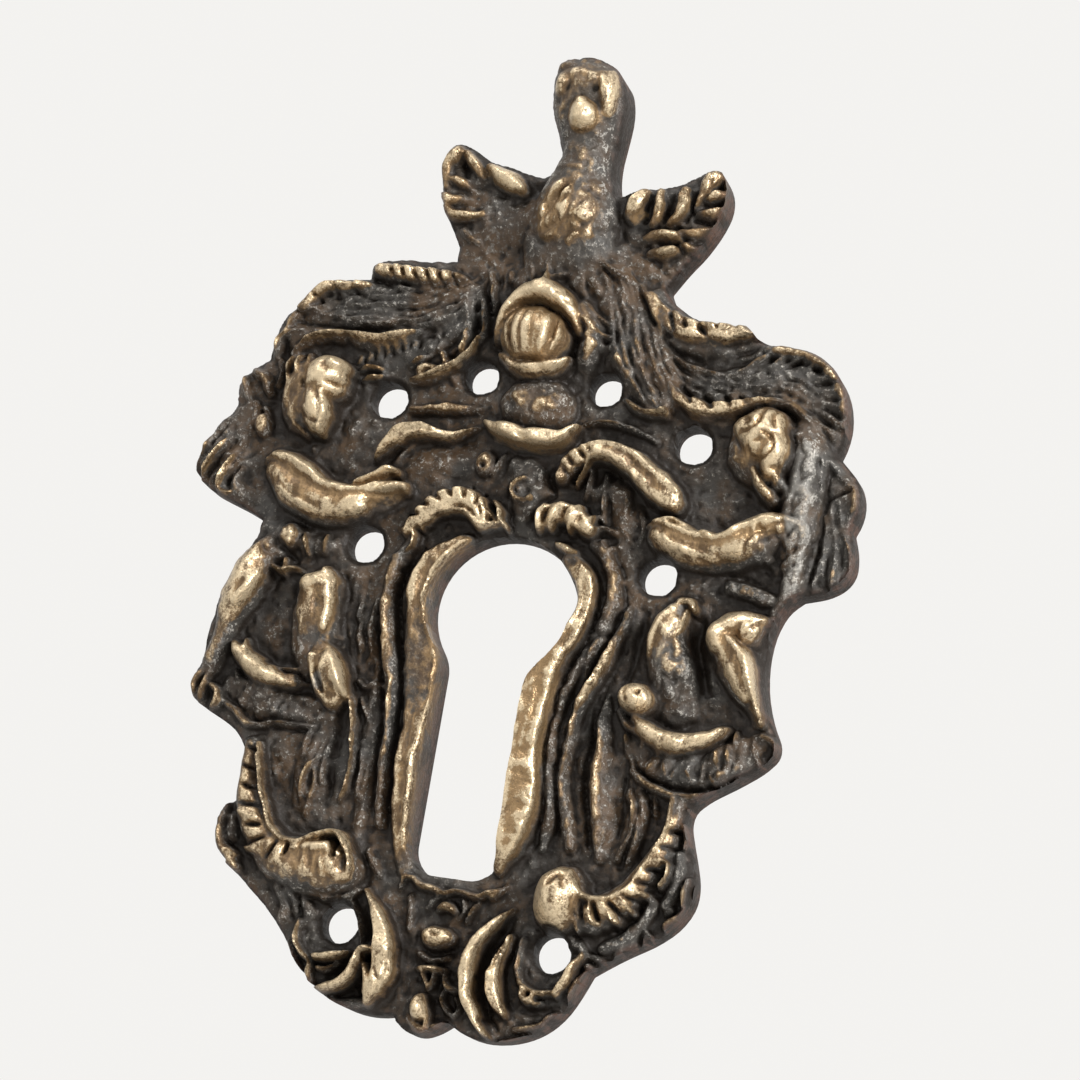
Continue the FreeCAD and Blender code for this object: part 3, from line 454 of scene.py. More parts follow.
    r.adds([
        [(9.7, 32.0, 0.16, -0.5), (10.4, 33.0, 0.22, -0.7), (11.4, 34.1, 0.2, -0.6)],
        [(10.8, 33.5, 0.14, -0.4), (10.7, 34.2, 0.18, -0.5), (11.0, 34.8, 0.14, -0.35)],
        [(10.3, 32.6, 0.2, -0.5), (11.2, 32.7, 0.2, -0.6), (11.8, 32.9, 0.14, -0.4)],
        [(9.9, 31.6, 0.3, -0.6), (10.8, 31.3, 0.25, -0.6), (11.5, 31.5, 0.14, -0.4)],
        [(7.9, 33.4, 0.25, -0.5), (7.8, 32.2, 0.28, -0.6), (7.5, 31.2, 0.25, -0.5)],
        [(9.6, 33.6, 0.25, -0.5), (9.5, 32.6, 0.3, -0.7), (9.1, 31.5, 0.25, -0.5)],
        [(6.1, 33.3, 0.2, -0.4), (6.1, 32.2, 0.24, -0.5), (6.0, 31.0, 0.25, -0.5)],
        [(6.2, 30.4, 0.3, -0.4), (8.0, 30.8, 0.25, -0.6), (9.6, 30.9, 0.2, -0.5)],
        [(6.4, 29.2, 0.3, -0.4), (8.0, 29.4, 0.25, -0.6), (9.4, 29.9, 0.2, -0.5)],
    ])
    r.adds([
        [(5.3, 30.9, 0.25, 0.4), (5.9, 31.6, 0.3, 0.4)], [(7.15, 31.2, 0.2, 0.3), (7.3, 32.4, 0.22, 0.3)],
        [(8.4, 31.4, 0.22, 0.35), (9.2, 32.4, 0.25, 0.4)], [(11.6, 34.2, 0.2, 0.25), (10.7, 33.1, 0.18, 0.3)],
        [(8.3, 29.9, 0.25, 0.3), (9.0, 29.9, 0.2, 0.2)], [(8.1, 28.5, 0.25, 0.35), (8.9, 28.8, 0.2, 0.25)],
    ], gold=1)
    r.dots([(8.0, 28.0, 0.4, 0.4), (7.0, 29.2, 0.4, 0.3), (9.5, 28.6, 0.35, 0.3), (8.3, 27.4, 0.4, 0.4)],
           gold=0.6)
    r.chase(8.6, 31.0, 3.8, 3.2, 0.24, 0.1, 48)


def carve_ball(r):
    """The ribbed ball under a pitted hood, with a lip, a dark chin and a crescent below."""
    r.form([(-2.6, 25.4, 1.6, 0.9), (0.2, 26.6, 2.2, 1.2), (3.6, 25.0, 2.2, 1.4), (5.0, 22.6, 1.8, 1.2)],
           "bell")
    r.form([(2.6, 23.6, 1.2, 2.1), (3.5, 21.6, 1.7, 2.2), (3.2, 19.7, 1.2, 1.6)], "bell", 0.3, gold=-0.2)
    r.boss(-0.68, 20.95, 2.95, 2.75, 3.95, blend=0.1, power=0.45, gold=0.85)
    r.form([(-3.75, 20.6, 0.5, 1.7), (-3.4, 22.2, 0.8, 2.6), (-2.35, 23.6, 1.05, 3.2),
            (-0.5, 24.35, 1.3, 3.55), (1.1, 23.7, 1.1, 3.35), (2.1, 22.7, 0.7, 2.9), (2.6, 21.6, 0.4, 2.2)],
           "round", 0.12, gold=0.8)
    r.forms([
        [(-0.5, 24.9, 0.6, 3.3), (-0.6, 25.7, 0.4, 2.8), (-0.8, 26.4, 0.22, 2.3), (-1.0, 27.1, 0.2, 1.9)],
        [(-0.3, 25.9, 0.22, 2.3), (0.8, 26.2, 0.16, 1.8)],
    ], "roof", gold=0.6)
    r.adds([
        [(-3.2, 22.2, 0.16, -0.5), (-2.2, 23.1, 0.2, -0.9), (-0.8, 23.45, 0.22, -1.0), (0.7, 23.0, 0.2, -0.9),
         (1.6, 22.2, 0.16, -0.6), (1.95, 21.2, 0.14, -0.4)],
    ])
    r.adds([
        [(-2.95, 21.9, 0.18, -0.35), (-3.1, 20.9, 0.2, -0.4), (-2.7, 19.7, 0.18, -0.3)],
        [(-2.2, 22.4, 0.2, -0.45), (-2.4, 21.2, 0.24, -0.6), (-2.2, 19.5, 0.2, -0.45)],
        [(-1.35, 22.7, 0.12, -0.3), (-1.45, 21.0, 0.14, -0.4), (-1.35, 19.4, 0.14, -0.4)],
        [(-0.5, 22.7, 0.12, -0.25), (-0.5, 21.2, 0.14, -0.3), (-0.5, 19.6, 0.12, -0.2)],
        [(0.95, 22.4, 0.22, -0.45), (0.98, 21.4, 0.3, -0.7), (0.85, 20.2, 0.22, -0.5),
         (0.6, 19.4, 0.2, -0.4)],
        [(1.6, 21.9, 0.16, -0.3), (1.65, 21.0, 0.2, -0.4), (1.4, 20.0, 0.16, -0.3)],
        [(-2.6, 18.95, 0.26, -0.45), (-1.2, 18.7, 0.3, -0.5), (0.1, 18.9, 0.22, -0.35)],
    ])
    r.adds([[(0.5, 22.6, 0.2, 0.18), (0.45, 21.0, 0.22, 0.3), (0.25, 19.4, 0.2, 0.22)],
            [(1.3, 22.0, 0.16, 0.2), (1.3, 20.4, 0.18, 0.25)]], gold=1)
    r.rub(-2.2, 20.4, 1.0, 2.0, 0.4)
    r.chase(-0.9, 24.2, 2.8, 1.3, 0.26, 0.07, 31)
    r.dots([(1.0, 24.1, 0.3, -0.35), (1.7, 23.5, 0.3, -0.4), (1.6, 24.0, 0.24, -0.3),
            (2.1, 22.9, 0.24, -0.35), (0.6, 24.7, 0.2, -0.2), (-2.8, 23.2, 0.25, -0.25),
            (-3.2, 22.6, 0.2, -0.25), (-0.9, 25.0, 0.18, -0.15)])
    # Ragged trail to the right of the hood
    r.forms([
        [(2.3, 23.2, 0.35, 2.5), (3.1, 22.3, 0.4, 2.4), (4.2, 21.7, 0.42, 2.0), (5.3, 21.5, 0.25, 1.5)],
        [(2.9, 24.0, 0.2, 1.8), (3.6, 23.2, 0.26, 2.1), (4.5, 22.6, 0.3, 1.9), (5.5, 22.2, 0.2, 1.3)],
    ], "roof", 0.1, gold=0.8)
    r.dots([(3.2, 21.3, 0.3, 0.35), (4.0, 20.7, 0.3, 0.35), (3.4, 20.2, 0.3, 0.35), (2.9, 19.6, 0.28, 0.3),
            (4.8, 20.9, 0.35, 0.3), (4.0, 19.7, 0.3, 0.25), (5.6, 19.9, 0.3, 0.4)], gold=0.3)
    r.chase(3.6, 21.0, 2.2, 2.6, 0.22, 0.22, 32, longer=1.4, heading=-40)
    # Lip
    r.form([(-3.3, 19.3, 0.4, 1.7), (-2.2, 18.6, 0.65, 2.6), (-0.9, 18.2, 0.75, 3.1), (0.5, 18.3, 0.75, 3.3),
            (1.5, 18.8, 0.55, 3.0), (2.1, 19.4, 0.35, 2.2)], "round", 0.12, gold=0.5)
    r.adds([[(0.0, 18.6, 0.35, 0.3), (0.7, 18.6, 0.4, 0.4), (1.4, 18.9, 0.3, 0.3)]], gold=1)
    # Chin
    r.boss(0.1, 15.8, 3.05, 2.5, 2.3, blend=0.2, power=0.6, gold=-0.35)
    r.adds([
        [(-0.3, 16.9, 0.3, 0.2), (0.6, 17.2, 0.32, 0.25), (1.5, 16.9, 0.28, 0.25), (1.7, 16.2, 0.25, 0.2)],
        [(0.4, 16.4, 0.25, -0.3), (1.0, 16.3, 0.25, -0.3)],
        [(0.6, 15.7, 0.28, 0.25), (1.4, 15.4, 0.3, 0.3), (2.0, 15.8, 0.25, 0.2)],
        [(-2.4, 15.2, 0.28, 0.2), (-1.4, 14.8, 0.3, 0.3), (-0.4, 14.7, 0.25, 0.25)],
        [(-2.2, 16.0, 0.3, -0.25), (-1.6, 15.4, 0.3, -0.3)],
    ])
    r.adds([[(-1.6, 16.4, 0.25, 0.2), (-1.2, 15.9, 0.34, 0.35), (-0.8, 15.6, 0.25, 0.25)]], gold=0.3)
    r.chase(0.1, 15.8, 2.9, 2.3, 0.28, 0.16, 33, longer=1.3, heading=10)
    # Crescent: two broad lobes that meet in a dip, with a bright lower edge
    r.form([(-3.7, 14.0, 0.3, 1.8), (-2.6, 13.55, 0.6, 2.5), (-1.3, 13.3, 0.9, 3.0), (-0.2, 13.1, 0.8, 3.0),
            (0.9, 13.1, 0.9, 3.1), (2.2, 13.2, 0.7, 2.9), (3.0, 13.8, 0.45, 2.5), (3.6, 14.5, 0.3, 2.0)],
           "flat", 0.1, gold=0.7)
    r.adds([
        [(-2.9, 12.95, 0.2, 0.15), (-1.2, 12.45, 0.26, 0.3), (-0.1, 12.4, 0.24, 0.25),
         (1.2, 12.3, 0.28, 0.35), (2.4, 12.7, 0.25, 0.35), (3.2, 13.5, 0.2, 0.3)],
    ], gold=1)
    r.adds([
        [(-2.6, 13.9, 0.22, -0.2), (-1.2, 13.8, 0.26, -0.25), (-0.2, 13.6, 0.3, -0.4),
         (0.9, 13.6, 0.24, -0.25)],
        [(-0.4, 13.0, 0.22, -0.3), (0.1, 12.8, 0.2, -0.25)],
    ])
    r.dots([(-0.9, 13.4, 0.16, -0.25), (0.3, 12.9, 0.16, -0.25), (2.3, 13.2, 0.15, -0.2),
            (1.3, 13.5, 0.15, -0.2)])
    # Folds over the hood
    r.forms([
        [(-2.4, 27.0, 0.28, 1.3), (-2.1, 26.2, 0.34, 1.6), (-1.95, 25.4, 0.24, 1.4)],
        [(-3.9, 26.1, 0.22, 1.1), (-3.8, 25.5, 0.22, 1.1)],
    ], "roof", gold=0.7)
    r.forms([
        [(1.5, 27.0, 0.22, 1.6), (1.9, 26.0, 0.28, 1.8), (2.3, 25.2, 0.2, 1.5)],
        [(2.3, 27.2, 0.25, 1.6), (3.0, 25.9, 0.3, 1.8), (3.9, 24.4, 0.25, 1.5)],
        [(3.2, 27.0, 0.25, 1.5), (3.9, 25.8, 0.28, 1.7), (4.4, 24.8, 0.2, 1.4)],
        [(4.3, 24.6, 0.25, 1.4), (4.6, 23.6, 0.3, 1.7), (4.9, 22.9, 0.2, 1.3)],
        [(1.9, 27.2, 0.35, 1.7), (3.4, 27.1, 0.45, 1.9), (5.0, 26.4, 0.35, 1.5), (6.2, 25.9, 0.2, 1.0)],
    ], "roof", 0.12, gold=-0.1)
    r.chase(3.2, 25.6, 2.4, 2.2, 0.2, 0.24, 34, longer=3.0, heading=-60)


def carve_left_mantling(r):
    """The leaf band, the folded lobes and the strands over the left shoulder."""
    r.form([(-19.6, 20.0, 1.9, 0.5), (-17.2, 22.0, 2.3, 0.8), (-13.0, 22.4, 2.4, 0.9), (-9.0, 22.9, 2.2, 0.9),
            (-7.0, 23.8, 1.6, 0.8)], "flat", 0.3)
    r.form([(-10.4, 18.9, 1.6, 0.4), (-8.0, 20.2, 1.8, 0.7), (-6.4, 22.4, 1.4, 0.8)], "bell", 0.3)
    r.form([(-14.4, 25.2, 0.6, 1.2), (-13.6, 25.2, 0.85, 1.6), (-12.2, 25.1, 0.9, 1.6),
            (-10.2, 25.0, 0.95, 1.6), (-8.4, 25.0, 0.9, 1.4), (-7.4, 25.0, 0.5, 1.0)], "flat", 0.1)
    r.adds([
        [(-12.8, 26.0, 0.2, -0.4), (-12.3, 25.1, 0.26, -0.6), (-11.8, 24.1, 0.22, -0.4)],
        [(-11.9, 26.0, 0.2, -0.3), (-11.4, 25.0, 0.26, -0.5)],
        [(-10.2, 26.0, 0.2, -0.35), (-9.9, 25.2, 0.26, -0.55), (-9.7, 24.4, 0.2, -0.35)],
        [(-8.0, 26.0, 0.2, -0.4), (-7.6, 25.2, 0.26, -0.55), (-7.0, 24.8, 0.2, -0.35)],
        [(-13.7, 25.6, 0.3, -0.25), (-13.2, 25.0, 0.3, -0.3)],
    ])
    r.adds([[(-13.0, 25.4, 0.22, 0.3), (-12.4, 24.2, 0.25, 0.4), (-11.6, 24.0, 0.22, 0.3)],
            [(-11.0, 24.6, 0.3, 0.15), (-10.2, 24.1, 0.25, 0.35), (-9.4, 24.3, 0.22, 0.3)],
            [(-8.9, 24.4, 0.25, 0.2), (-8.0, 24.1, 0.22, 0.4), (-7.5, 24.2, 0.18, 0.3)],
            [(-8.9, 26.0, 0.2, 0.2), (-8.2, 24.9, 0.22, 0.25)]])
    # Folded lobes
    r.forms([
        [(-19.0, 22.3, 0.5, 1.1), (-18.4, 23.4, 0.6, 1.5), (-16.9, 23.75, 0.55, 1.6),
         (-15.4, 23.4, 0.45, 1.3), (-13.6, 23.0, 0.35, 0.9)],
        [(-20.9, 19.6, 0.45, 1.0), (-20.4, 20.8, 0.5, 1.3), (-19.4, 21.6, 0.45, 1.3),
         (-18.2, 21.4, 0.35, 1.0)],
        [(-21.3, 17.6, 0.4, 1.0), (-21.3, 18.8, 0.42, 1.3), (-20.6, 19.7, 0.35, 1.3),
         (-19.4, 19.9, 0.25, 1.0)],
        [(-18.6, 21.3, 0.35, 1.0), (-15.5, 21.0, 0.5, 1.3), (-12.0, 21.3, 0.5, 1.3), (-9.0, 22.2, 0.35, 1.1)],
        [(-17.6, 22.6, 0.3, 1.1), (-16.2, 22.2, 0.4, 1.25), (-14.8, 22.4, 0.4, 1.2), (-12.6, 22.8, 0.3, 1.1)],
        [(-16.9, 23.0, 0.25, 1.2), (-16.3, 22.7, 0.3, 1.4), (-15.5, 22.8, 0.22, 1.2)],
        [(-20.4, 18.9, 0.3, 0.8), (-19.6, 18.4, 0.35, 0.9), (-19.4, 17.4, 0.3, 0.8)],
    ], "roof", 0.14)
    r.adds([
        [(-19.0, 22.9, 0.3, -0.3), (-17.6, 22.7, 0.45, -0.5), (-16.6, 22.2, 0.35, -0.4)],
        [(-15.2, 23.0, 0.3, -0.35), (-14.2, 22.6, 0.3, -0.3)],
        [(-20.0, 20.6, 0.35, -0.35), (-17.4, 20.4, 0.35, -0.5), (-13.6, 20.6, 0.35, -0.4),
         (-11.0, 21.0, 0.3, -0.3)],
        [(-20.8, 18.9, 0.25, -0.3), (-20.6, 18.0, 0.25, -0.3)],
        [(-13.4, 22.0, 0.35, -0.25), (-10.0, 22.6, 0.4, -0.3), (-7.6, 23.2, 0.3, -0.25)],
        [(-9.6, 20.8, 0.3, -0.3), (-8.4, 21.6, 0.3, -0.3), (-7.3, 22.8, 0.25, -0.3)],
    ])
    r.form([(-20.7, 20.4, 0.35, 1.3), (-19.6, 22.0, 0.55, 1.6), (-18.2, 23.3, 0.6, 1.8),
            (-16.2, 23.6, 0.55, 1.9), (-14.6, 23.8, 0.35, 1.6)], "flat", 0.15, gold=0.3)
    r.adds([
        [(-20.5, 21.4, 0.18, -0.4), (-19.8, 21.1, 0.25, -0.7)],
        [(-19.2, 22.8, 0.18, -0.4), (-18.5, 22.2, 0.28, -0.8)],
        [(-17.6, 23.7, 0.18, -0.4), (-17.1, 22.9, 0.28, -0.8)],
        [(-16.0, 23.9, 0.18, -0.4), (-15.5, 23.1, 0.28, -0.8)],
    ])
    r.form([(-14.0, 25.2, 0.55, 1.8), (-12.4, 25.15, 0.8, 2.1), (-10.4, 25.1, 0.85, 2.1),
            (-8.6, 25.1, 0.7, 1.9), (-7.4, 25.1, 0.4, 1.5)], "flat", 0.12, gold=0.15)
    for place in range(6):
        x = -12.9 + 0.95 * place
        r.add([(x - 0.3, 25.9, 0.14, -0.4), (x, 25.0, 0.2, -0.8), (x + 0.35, 24.3, 0.15, -0.5)])
    r.adds([
        [(-12.9, 24.2, 0.16, 0.3), (-11.9, 23.9, 0.2, 0.5), (-11.2, 24.0, 0.14, 0.3)],
        [(-10.4, 24.0, 0.14, 0.3), (-9.7, 23.8, 0.2, 0.5)],
        [(-8.4, 24.1, 0.16, 0.4), (-7.8, 24.0, 0.16, 0.4)],
    ], gold=1)
    r.comb([(-19.6, 20.9, 0.9, 0.3), (-16.4, 21.7, 1.5, 0.45), (-12.8, 22.3, 1.9, 0.5),
            (-9.6, 22.8, 1.8, 0.5), (-7.2, 24.0, 1.3, 0.4), (-5.6, 26.0, 0.9, 0.3)], 6, 71, gold=-0.2)
    r.comb([(-20.6, 18.8, 0.6, 0.3), (-18.6, 20.2, 0.8, 0.4), (-15.2, 20.6, 0.9, 0.45),
            (-11.4, 20.9, 0.9, 0.4), (-9.0, 21.0, 1.0, 0.3)], 3.5, 73, gold=-0.1)
    r.comb([(-18.6, 22.6, 0.8, 0.3), (-17.0, 23.3, 0.8, 0.4), (-15.0, 23.3, 0.7, 0.3),
            (-13.4, 23.2, 0.5, 0.2)], 3, 75)
    # Ridge over the head, with its saw-tooth lower edge
    r.form([(-19.8, 17.9, 0.35, 1.4), (-19.0, 18.9, 0.45, 1.9), (-17.6, 19.45, 0.5, 2.2),
            (-15.8, 19.7, 0.55, 2.3), (-14.2, 19.45, 0.7, 2.2), (-12.6, 19.6, 0.7, 2.2),
            (-11.2, 20.1, 0.6, 2.1), (-10.1, 20.6, 0.3, 1.6)], "left", 0.08)
    r.tint([(-19.4, 18.4, 0.5, 0.2), (-17.6, 19.4, 0.5, 0.4), (-15.8, 19.6, 0.5, 0.3),
            (-13.0, 19.5, 0.7, 0.4), (-10.6, 20.4, 0.5, 0.5)])
    for place in range(7):
        x = -14.7 + 0.72 * place
        z = 18.2 + 0.27 * place
        r.add([(x, z + 0.2, 0.24, 0.2), (x + 0.1, z, 0.27, 0.6), (x - 0.1, z - 0.3, 0.18, 0.4)], gold=1)
        r.add([(x + 0.36, z + 0.35, 0.13, -0.2), (x + 0.36, z - 0.2, 0.18, -0.45)])
    r.adds([[(-15.8, 19.5, 0.18, -0.35), (-15.2, 19.9, 0.14, -0.25)]])
    # Strands
    r.forms([
        [(-5.5, 26.0, 0.25, 1.0), (-5.0, 24.8, 0.32, 1.4), (-4.7, 23.2, 0.28, 1.3), (-4.9, 22.9, 0.2, 1.0)],
        [(-5.9, 24.4, 0.22, 1.1), (-5.4, 22.9, 0.3, 1.5), (-5.0, 21.4, 0.34, 1.7), (-5.3, 20.3, 0.22, 1.5)],
        [(-6.9, 24.0, 0.3, 0.9), (-6.5, 22.0, 0.5, 1.4), (-6.3, 20.6, 0.55, 1.7), (-6.4, 19.4, 0.45, 1.8)],
        [(-8.4, 19.4, 0.3, 1.2), (-7.9, 18.9, 0.4, 1.6), (-7.6, 18.3, 0.35, 1.6)],
        [(-10.4, 17.9, 0.3, 1.1), (-9.8, 18.3, 0.35, 1.5), (-9.2, 18.7, 0.25, 1.3)],
        [(-9.4, 17.6, 0.35, 1.3), (-8.7, 17.9, 0.45, 1.7), (-8.3, 17.6, 0.35, 1.5)],
        [(-8.8, 20.6, 0.35, 0.9), (-8.3, 19.9, 0.4, 1.1), (-8.6, 19.3, 0.3, 0.9)],
    ], "roof", 0.1)
    r.form([(-5.45, 20.6, 0.25, 1.8), (-5.85, 19.4, 0.34, 2.2), (-6.7, 18.3, 0.34, 2.2)], "left", 0.06,
           gold=1)
    r.form([(-6.7, 18.4, 0.4, 2.0), (-7.8, 17.7, 0.5, 2.0), (-9.0, 17.1, 0.45, 1.8),
            (-10.2, 16.8, 0.25, 1.3)], "roof", 0.06, gold=0.3)
    r.boss(-9.1, 17.7, 0.8, 0.6, 1.9, turn=20, blend=0.1, gold=0.4)
    r.adds([
        [(-5.4, 24.4, 0.15, -0.4), (-4.95, 22.7, 0.16, -0.45)],
        [(-6.2, 23.6, 0.18, -0.4), (-5.7, 21.5, 0.2, -0.5), (-5.7, 20.7, 0.15, -0.3)],
        [(-6.5, 21.6, 0.15, -0.25), (-6.2, 20.4, 0.15, -0.3)],
        [(-9.0, 17.9, 0.15, -0.35), (-8.9, 17.3, 0.15, -0.3)],
        [(-7.1, 17.4, 0.2, 0.35), (-6.8, 17.0, 0.2, 0.35)], [(-8.0, 16.6, 0.2, 0.3), (-7.7, 16.3, 0.18, 0.3)],
    ])
    r.form([(-9.7, 14.55, 0.35, 0.9), (-8.0, 14.7, 0.45, 1.3), (-6.2, 14.95, 0.45, 1.3),
            (-4.5, 15.1, 0.3, 1.0)], "flat", 0.06)
    r.comb([(-5.0, 26.2, 0.9, 0.35), (-5.3, 23.6, 1.1, 0.45), (-5.9, 21.2, 1.1, 0.4), (-7.2, 19.0, 1.2, 0.35),
            (-9.4, 17.9, 0.9, 0.3)], 4, 77)
    r.chase(-8.6, 19.2, 2.4, 2.0, 0.22, 0.24, 63, longer=1.6, heading=50)
    r.forms([
        [(-14.4, 17.3, 0.16, 1.3), (-13.6, 17.6, 0.22, 1.6), (-12.8, 17.5, 0.16, 1.3)],
        [(-14.0, 16.5, 0.16, 1.2), (-13.3, 16.8, 0.22, 1.5), (-12.6, 16.9, 0.14, 1.2)],
    ], "roof", 0.08, gold=1)
    # Lobes beside the head and over the wing
    r.forms([
        [(-22.9, 16.4, 0.45, 1.0), (-21.9, 15.7, 0.5, 1.4), (-21.3, 14.6, 0.4, 1.2)],
        [(-23.6, 15.8, 0.35, 0.8), (-23.2, 14.6, 0.4, 0.9), (-22.8, 13.6, 0.3, 0.7)],
        [(-20.9, 17.2, 0.3, 0.9), (-20.7, 16.2, 0.35, 1.0), (-20.9, 15.2, 0.3, 0.8)],
    ], "roof", 0.12)


def carve_right_mantling(r):
    """The upper leaf, the trough, the strands, the saw-tooth leaf and the fan over the right shoulder."""
    r.form([(8.0, 24.8, 1.3, 0.7), (10.2, 22.6, 1.6, 0.9), (13.0, 21.9, 1.8, 0.9), (16.0, 21.9, 1.2, 0.7)],
           "flat", 0.3)
    r.form([(6.8, 24.4, 1.4, 0.9), (7.4, 21.4, 1.7, 1.2), (8.8, 18.6, 1.7, 1.1), (10.2, 16.9, 1.1, 0.8)],
           "bell", 0.3)
    r.form([(10.6, 19.0, 1.2, 0.6), (14.0, 18.6, 1.6, 0.9), (18.0, 19.4, 2.2, 1.0), (21.4, 18.6, 2.2, 0.9),
            (22.4, 16.6, 1.4, 0.6)], "flat", 0.3)
    r.form([(4.4, 26.4, 1.6, 0.9), (6.2, 23.0, 2.6, 1.35), (7.8, 20.0, 2.8, 1.45), (9.6, 17.4, 2.0, 1.2)],
           "flat", 0.4, gold=0.1)
    # Upper leaf: a broad golden-brown band with notches from above, a ragged lower edge and a bright tip
    r.form([(7.4, 25.0, 0.7, 1.4), (8.6, 23.6, 1.0, 1.8), (10.2, 22.9, 1.1, 2.0), (12.2, 22.65, 1.1, 2.1),
            (14.2, 22.7, 0.95, 2.2), (15.6, 22.9, 0.7, 2.2), (16.5, 22.9, 0.3, 1.8)], "flat", 0.1, gold=0.05)
    r.form([(6.5, 26.0, 0.3, 1.2), (7.3, 24.9, 0.4, 1.9), (8.0, 23.6, 0.45, 2.1), (8.8, 22.5, 0.3, 1.9)],
           "roof", 0.08, gold=0.4)
    r.adds([
        [(6.9, 25.1, 0.22, -0.6), (7.4, 24.1, 0.3, -0.9), (8.1, 22.9, 0.25, -0.7)],
        [(9.3, 23.9, 0.18, -0.6), (9.6, 23.0, 0.25, -0.9), (9.9, 22.4, 0.16, -0.5)],
        [(10.4, 23.6, 0.18, -0.5), (10.8, 22.8, 0.24, -0.7)],
        [(11.6, 23.6, 0.18, -0.5), (12.0, 22.8, 0.28, -0.9), (12.4, 22.3, 0.2, -0.6)],
        [(13.0, 23.5, 0.16, -0.4), (13.2, 22.9, 0.24, -0.7)],
        [(14.2, 23.5, 0.2, -0.4), (14.5, 23.1, 0.24, -0.6)],
    ])
    r.comb([(8.4, 24.0, 0.8, 0.2), (10.4, 22.9, 0.9, 0.25), (13.0, 22.7, 0.9, 0.2), (15.0, 22.9, 0.6, 0.15)],
           2.4, 97)
    r.form([(13.4, 21.8, 0.16, 2.0), (14.4, 22.2, 0.3, 2.5), (15.5, 22.6, 0.4, 2.7), (16.3, 22.9, 0.25, 2.3)],
           "roof", 0.08, gold=1)
    r.adds([
        [(8.5, 22.6, 0.25, 0.35), (8.8, 22.2, 0.25, 0.4)],
        [(9.9, 22.1, 0.2, 0.25), (11.4, 21.8, 0.22, 0.3), (13.2, 21.7, 0.2, 0.3)],
    ], gold=0.8)
    r.adds([
        [(9.4, 21.5, 0.4, -0.3), (11.4, 20.9, 0.5, -0.5), (13.6, 20.8, 0.5, -0.5), (15.4, 21.4, 0.45, -0.5),
         (16.4, 22.0, 0.3, -0.3)],
    ])
    # Lower edge of the trough
    r.form([(9.9, 20.7, 0.25, 1.2), (11.0, 20.1, 0.38, 1.6), (12.4, 19.65, 0.42, 1.7),
            (13.7, 19.6, 0.3, 1.5)], "roof", 0.08)
    r.form([(14.3, 19.2, 0.28, 1.3), (15.4, 20.0, 0.4, 1.7), (16.6, 21.0, 0.4, 1.7), (17.4, 21.7, 0.3, 1.4)],
           "roof", 0.08)
    r.adds([
        [(11.2, 20.5, 0.2, -0.3), (11.9, 20.2, 0.2, -0.3)], [(13.0, 20.0, 0.2, 0.3), (13.5, 19.5, 0.2, 0.3)],
        [(14.7, 18.5, 0.25, -0.5), (16.4, 18.75, 0.25, -0.6)],
        [(12.0, 18.6, 0.3, -0.3), (14.0, 18.3, 0.3, -0.4)],
    ])
    # Strands
    r.forms([
        [(5.0, 25.7, 0.28, 1.2), (5.4, 24.6, 0.35, 1.7), (5.8, 23.2, 0.3, 1.5), (5.9, 22.4, 0.2, 1.2)],
        [(6.4, 23.6, 0.25, 1.3), (6.9, 21.8, 0.42, 1.8), (7.5, 20.2, 0.42, 1.9), (8.4, 18.4, 0.4, 1.8),
         (9.4, 16.6, 0.28, 1.5)],
        [(7.6, 23.0, 0.25, 1.2), (8.0, 21.2, 0.4, 1.7), (8.8, 19.6, 0.42, 1.8), (9.8, 18.2, 0.35, 1.5),
         (10.8, 17.2, 0.25, 1.1)],
        [(5.9, 21.8, 0.3, 1.1), (6.3, 20.4, 0.42, 1.6), (6.9, 18.9, 0.45, 1.7), (7.8, 17.6, 0.4, 1.5),
         (8.4, 17.0, 0.25, 1.2)],
        [(6.7, 17.1, 0.25, 1.4), (7.6, 16.5, 0.38, 1.9), (8.8, 16.1, 0.4, 2.0), (10.2, 16.1, 0.42, 2.3)],
    ], "roof", 0.09)
    r.dots([(10.15, 16.15, 0.5, 0.4), (7.0, 21.6, 0.3, 0.3), (7.1, 21.2, 0.25, 0.25), (5.8, 20.0, 0.35, 0.4)])
    r.adds([
        [(6.3, 22.6, 0.16, -0.4), (6.7, 20.6, 0.18, -0.5), (7.4, 18.8, 0.18, -0.5), (8.3, 17.3, 0.16, -0.4)],
        [(7.4, 22.0, 0.16, -0.3), (7.9, 20.2, 0.18, -0.45), (8.8, 18.6, 0.18, -0.5), (9.6, 17.2, 0.16, -0.4)],
        [(8.7, 21.4, 0.2, -0.35), (9.4, 19.8, 0.2, -0.4), (10.4, 18.6, 0.18, -0.3)],
        [(7.2, 18.2, 0.2, 0.35), (7.7, 17.7, 0.22, 0.4), (8.3, 17.0, 0.18, 0.3)],
        [(5.5, 23.8, 0.12, -0.35), (5.8, 22.6, 0.12, -0.35)],
        [(5.3, 22.2, 0.2, -0.4), (5.6, 21.2, 0.22, -0.5)],
    ])
    r.comb([(4.6, 26.2, 1.3, 0.35), (6.0, 23.4, 1.8, 0.45), (7.3, 20.6, 1.9, 0.5), (8.8, 18.2, 1.6, 0.45),
            (10.2, 16.6, 1.0, 0.3)], 6, 99, gold=0.1)
    r.comb([(8.8, 21.8, 0.8, 0.3), (10.6, 20.0, 1.3, 0.4), (13.0, 18.9, 1.2, 0.45), (16.0, 18.8, 1.1, 0.4),
            (19.0, 19.0, 1.2, 0.4), (21.8, 18.2, 1.0, 0.3)], 4.5, 101)
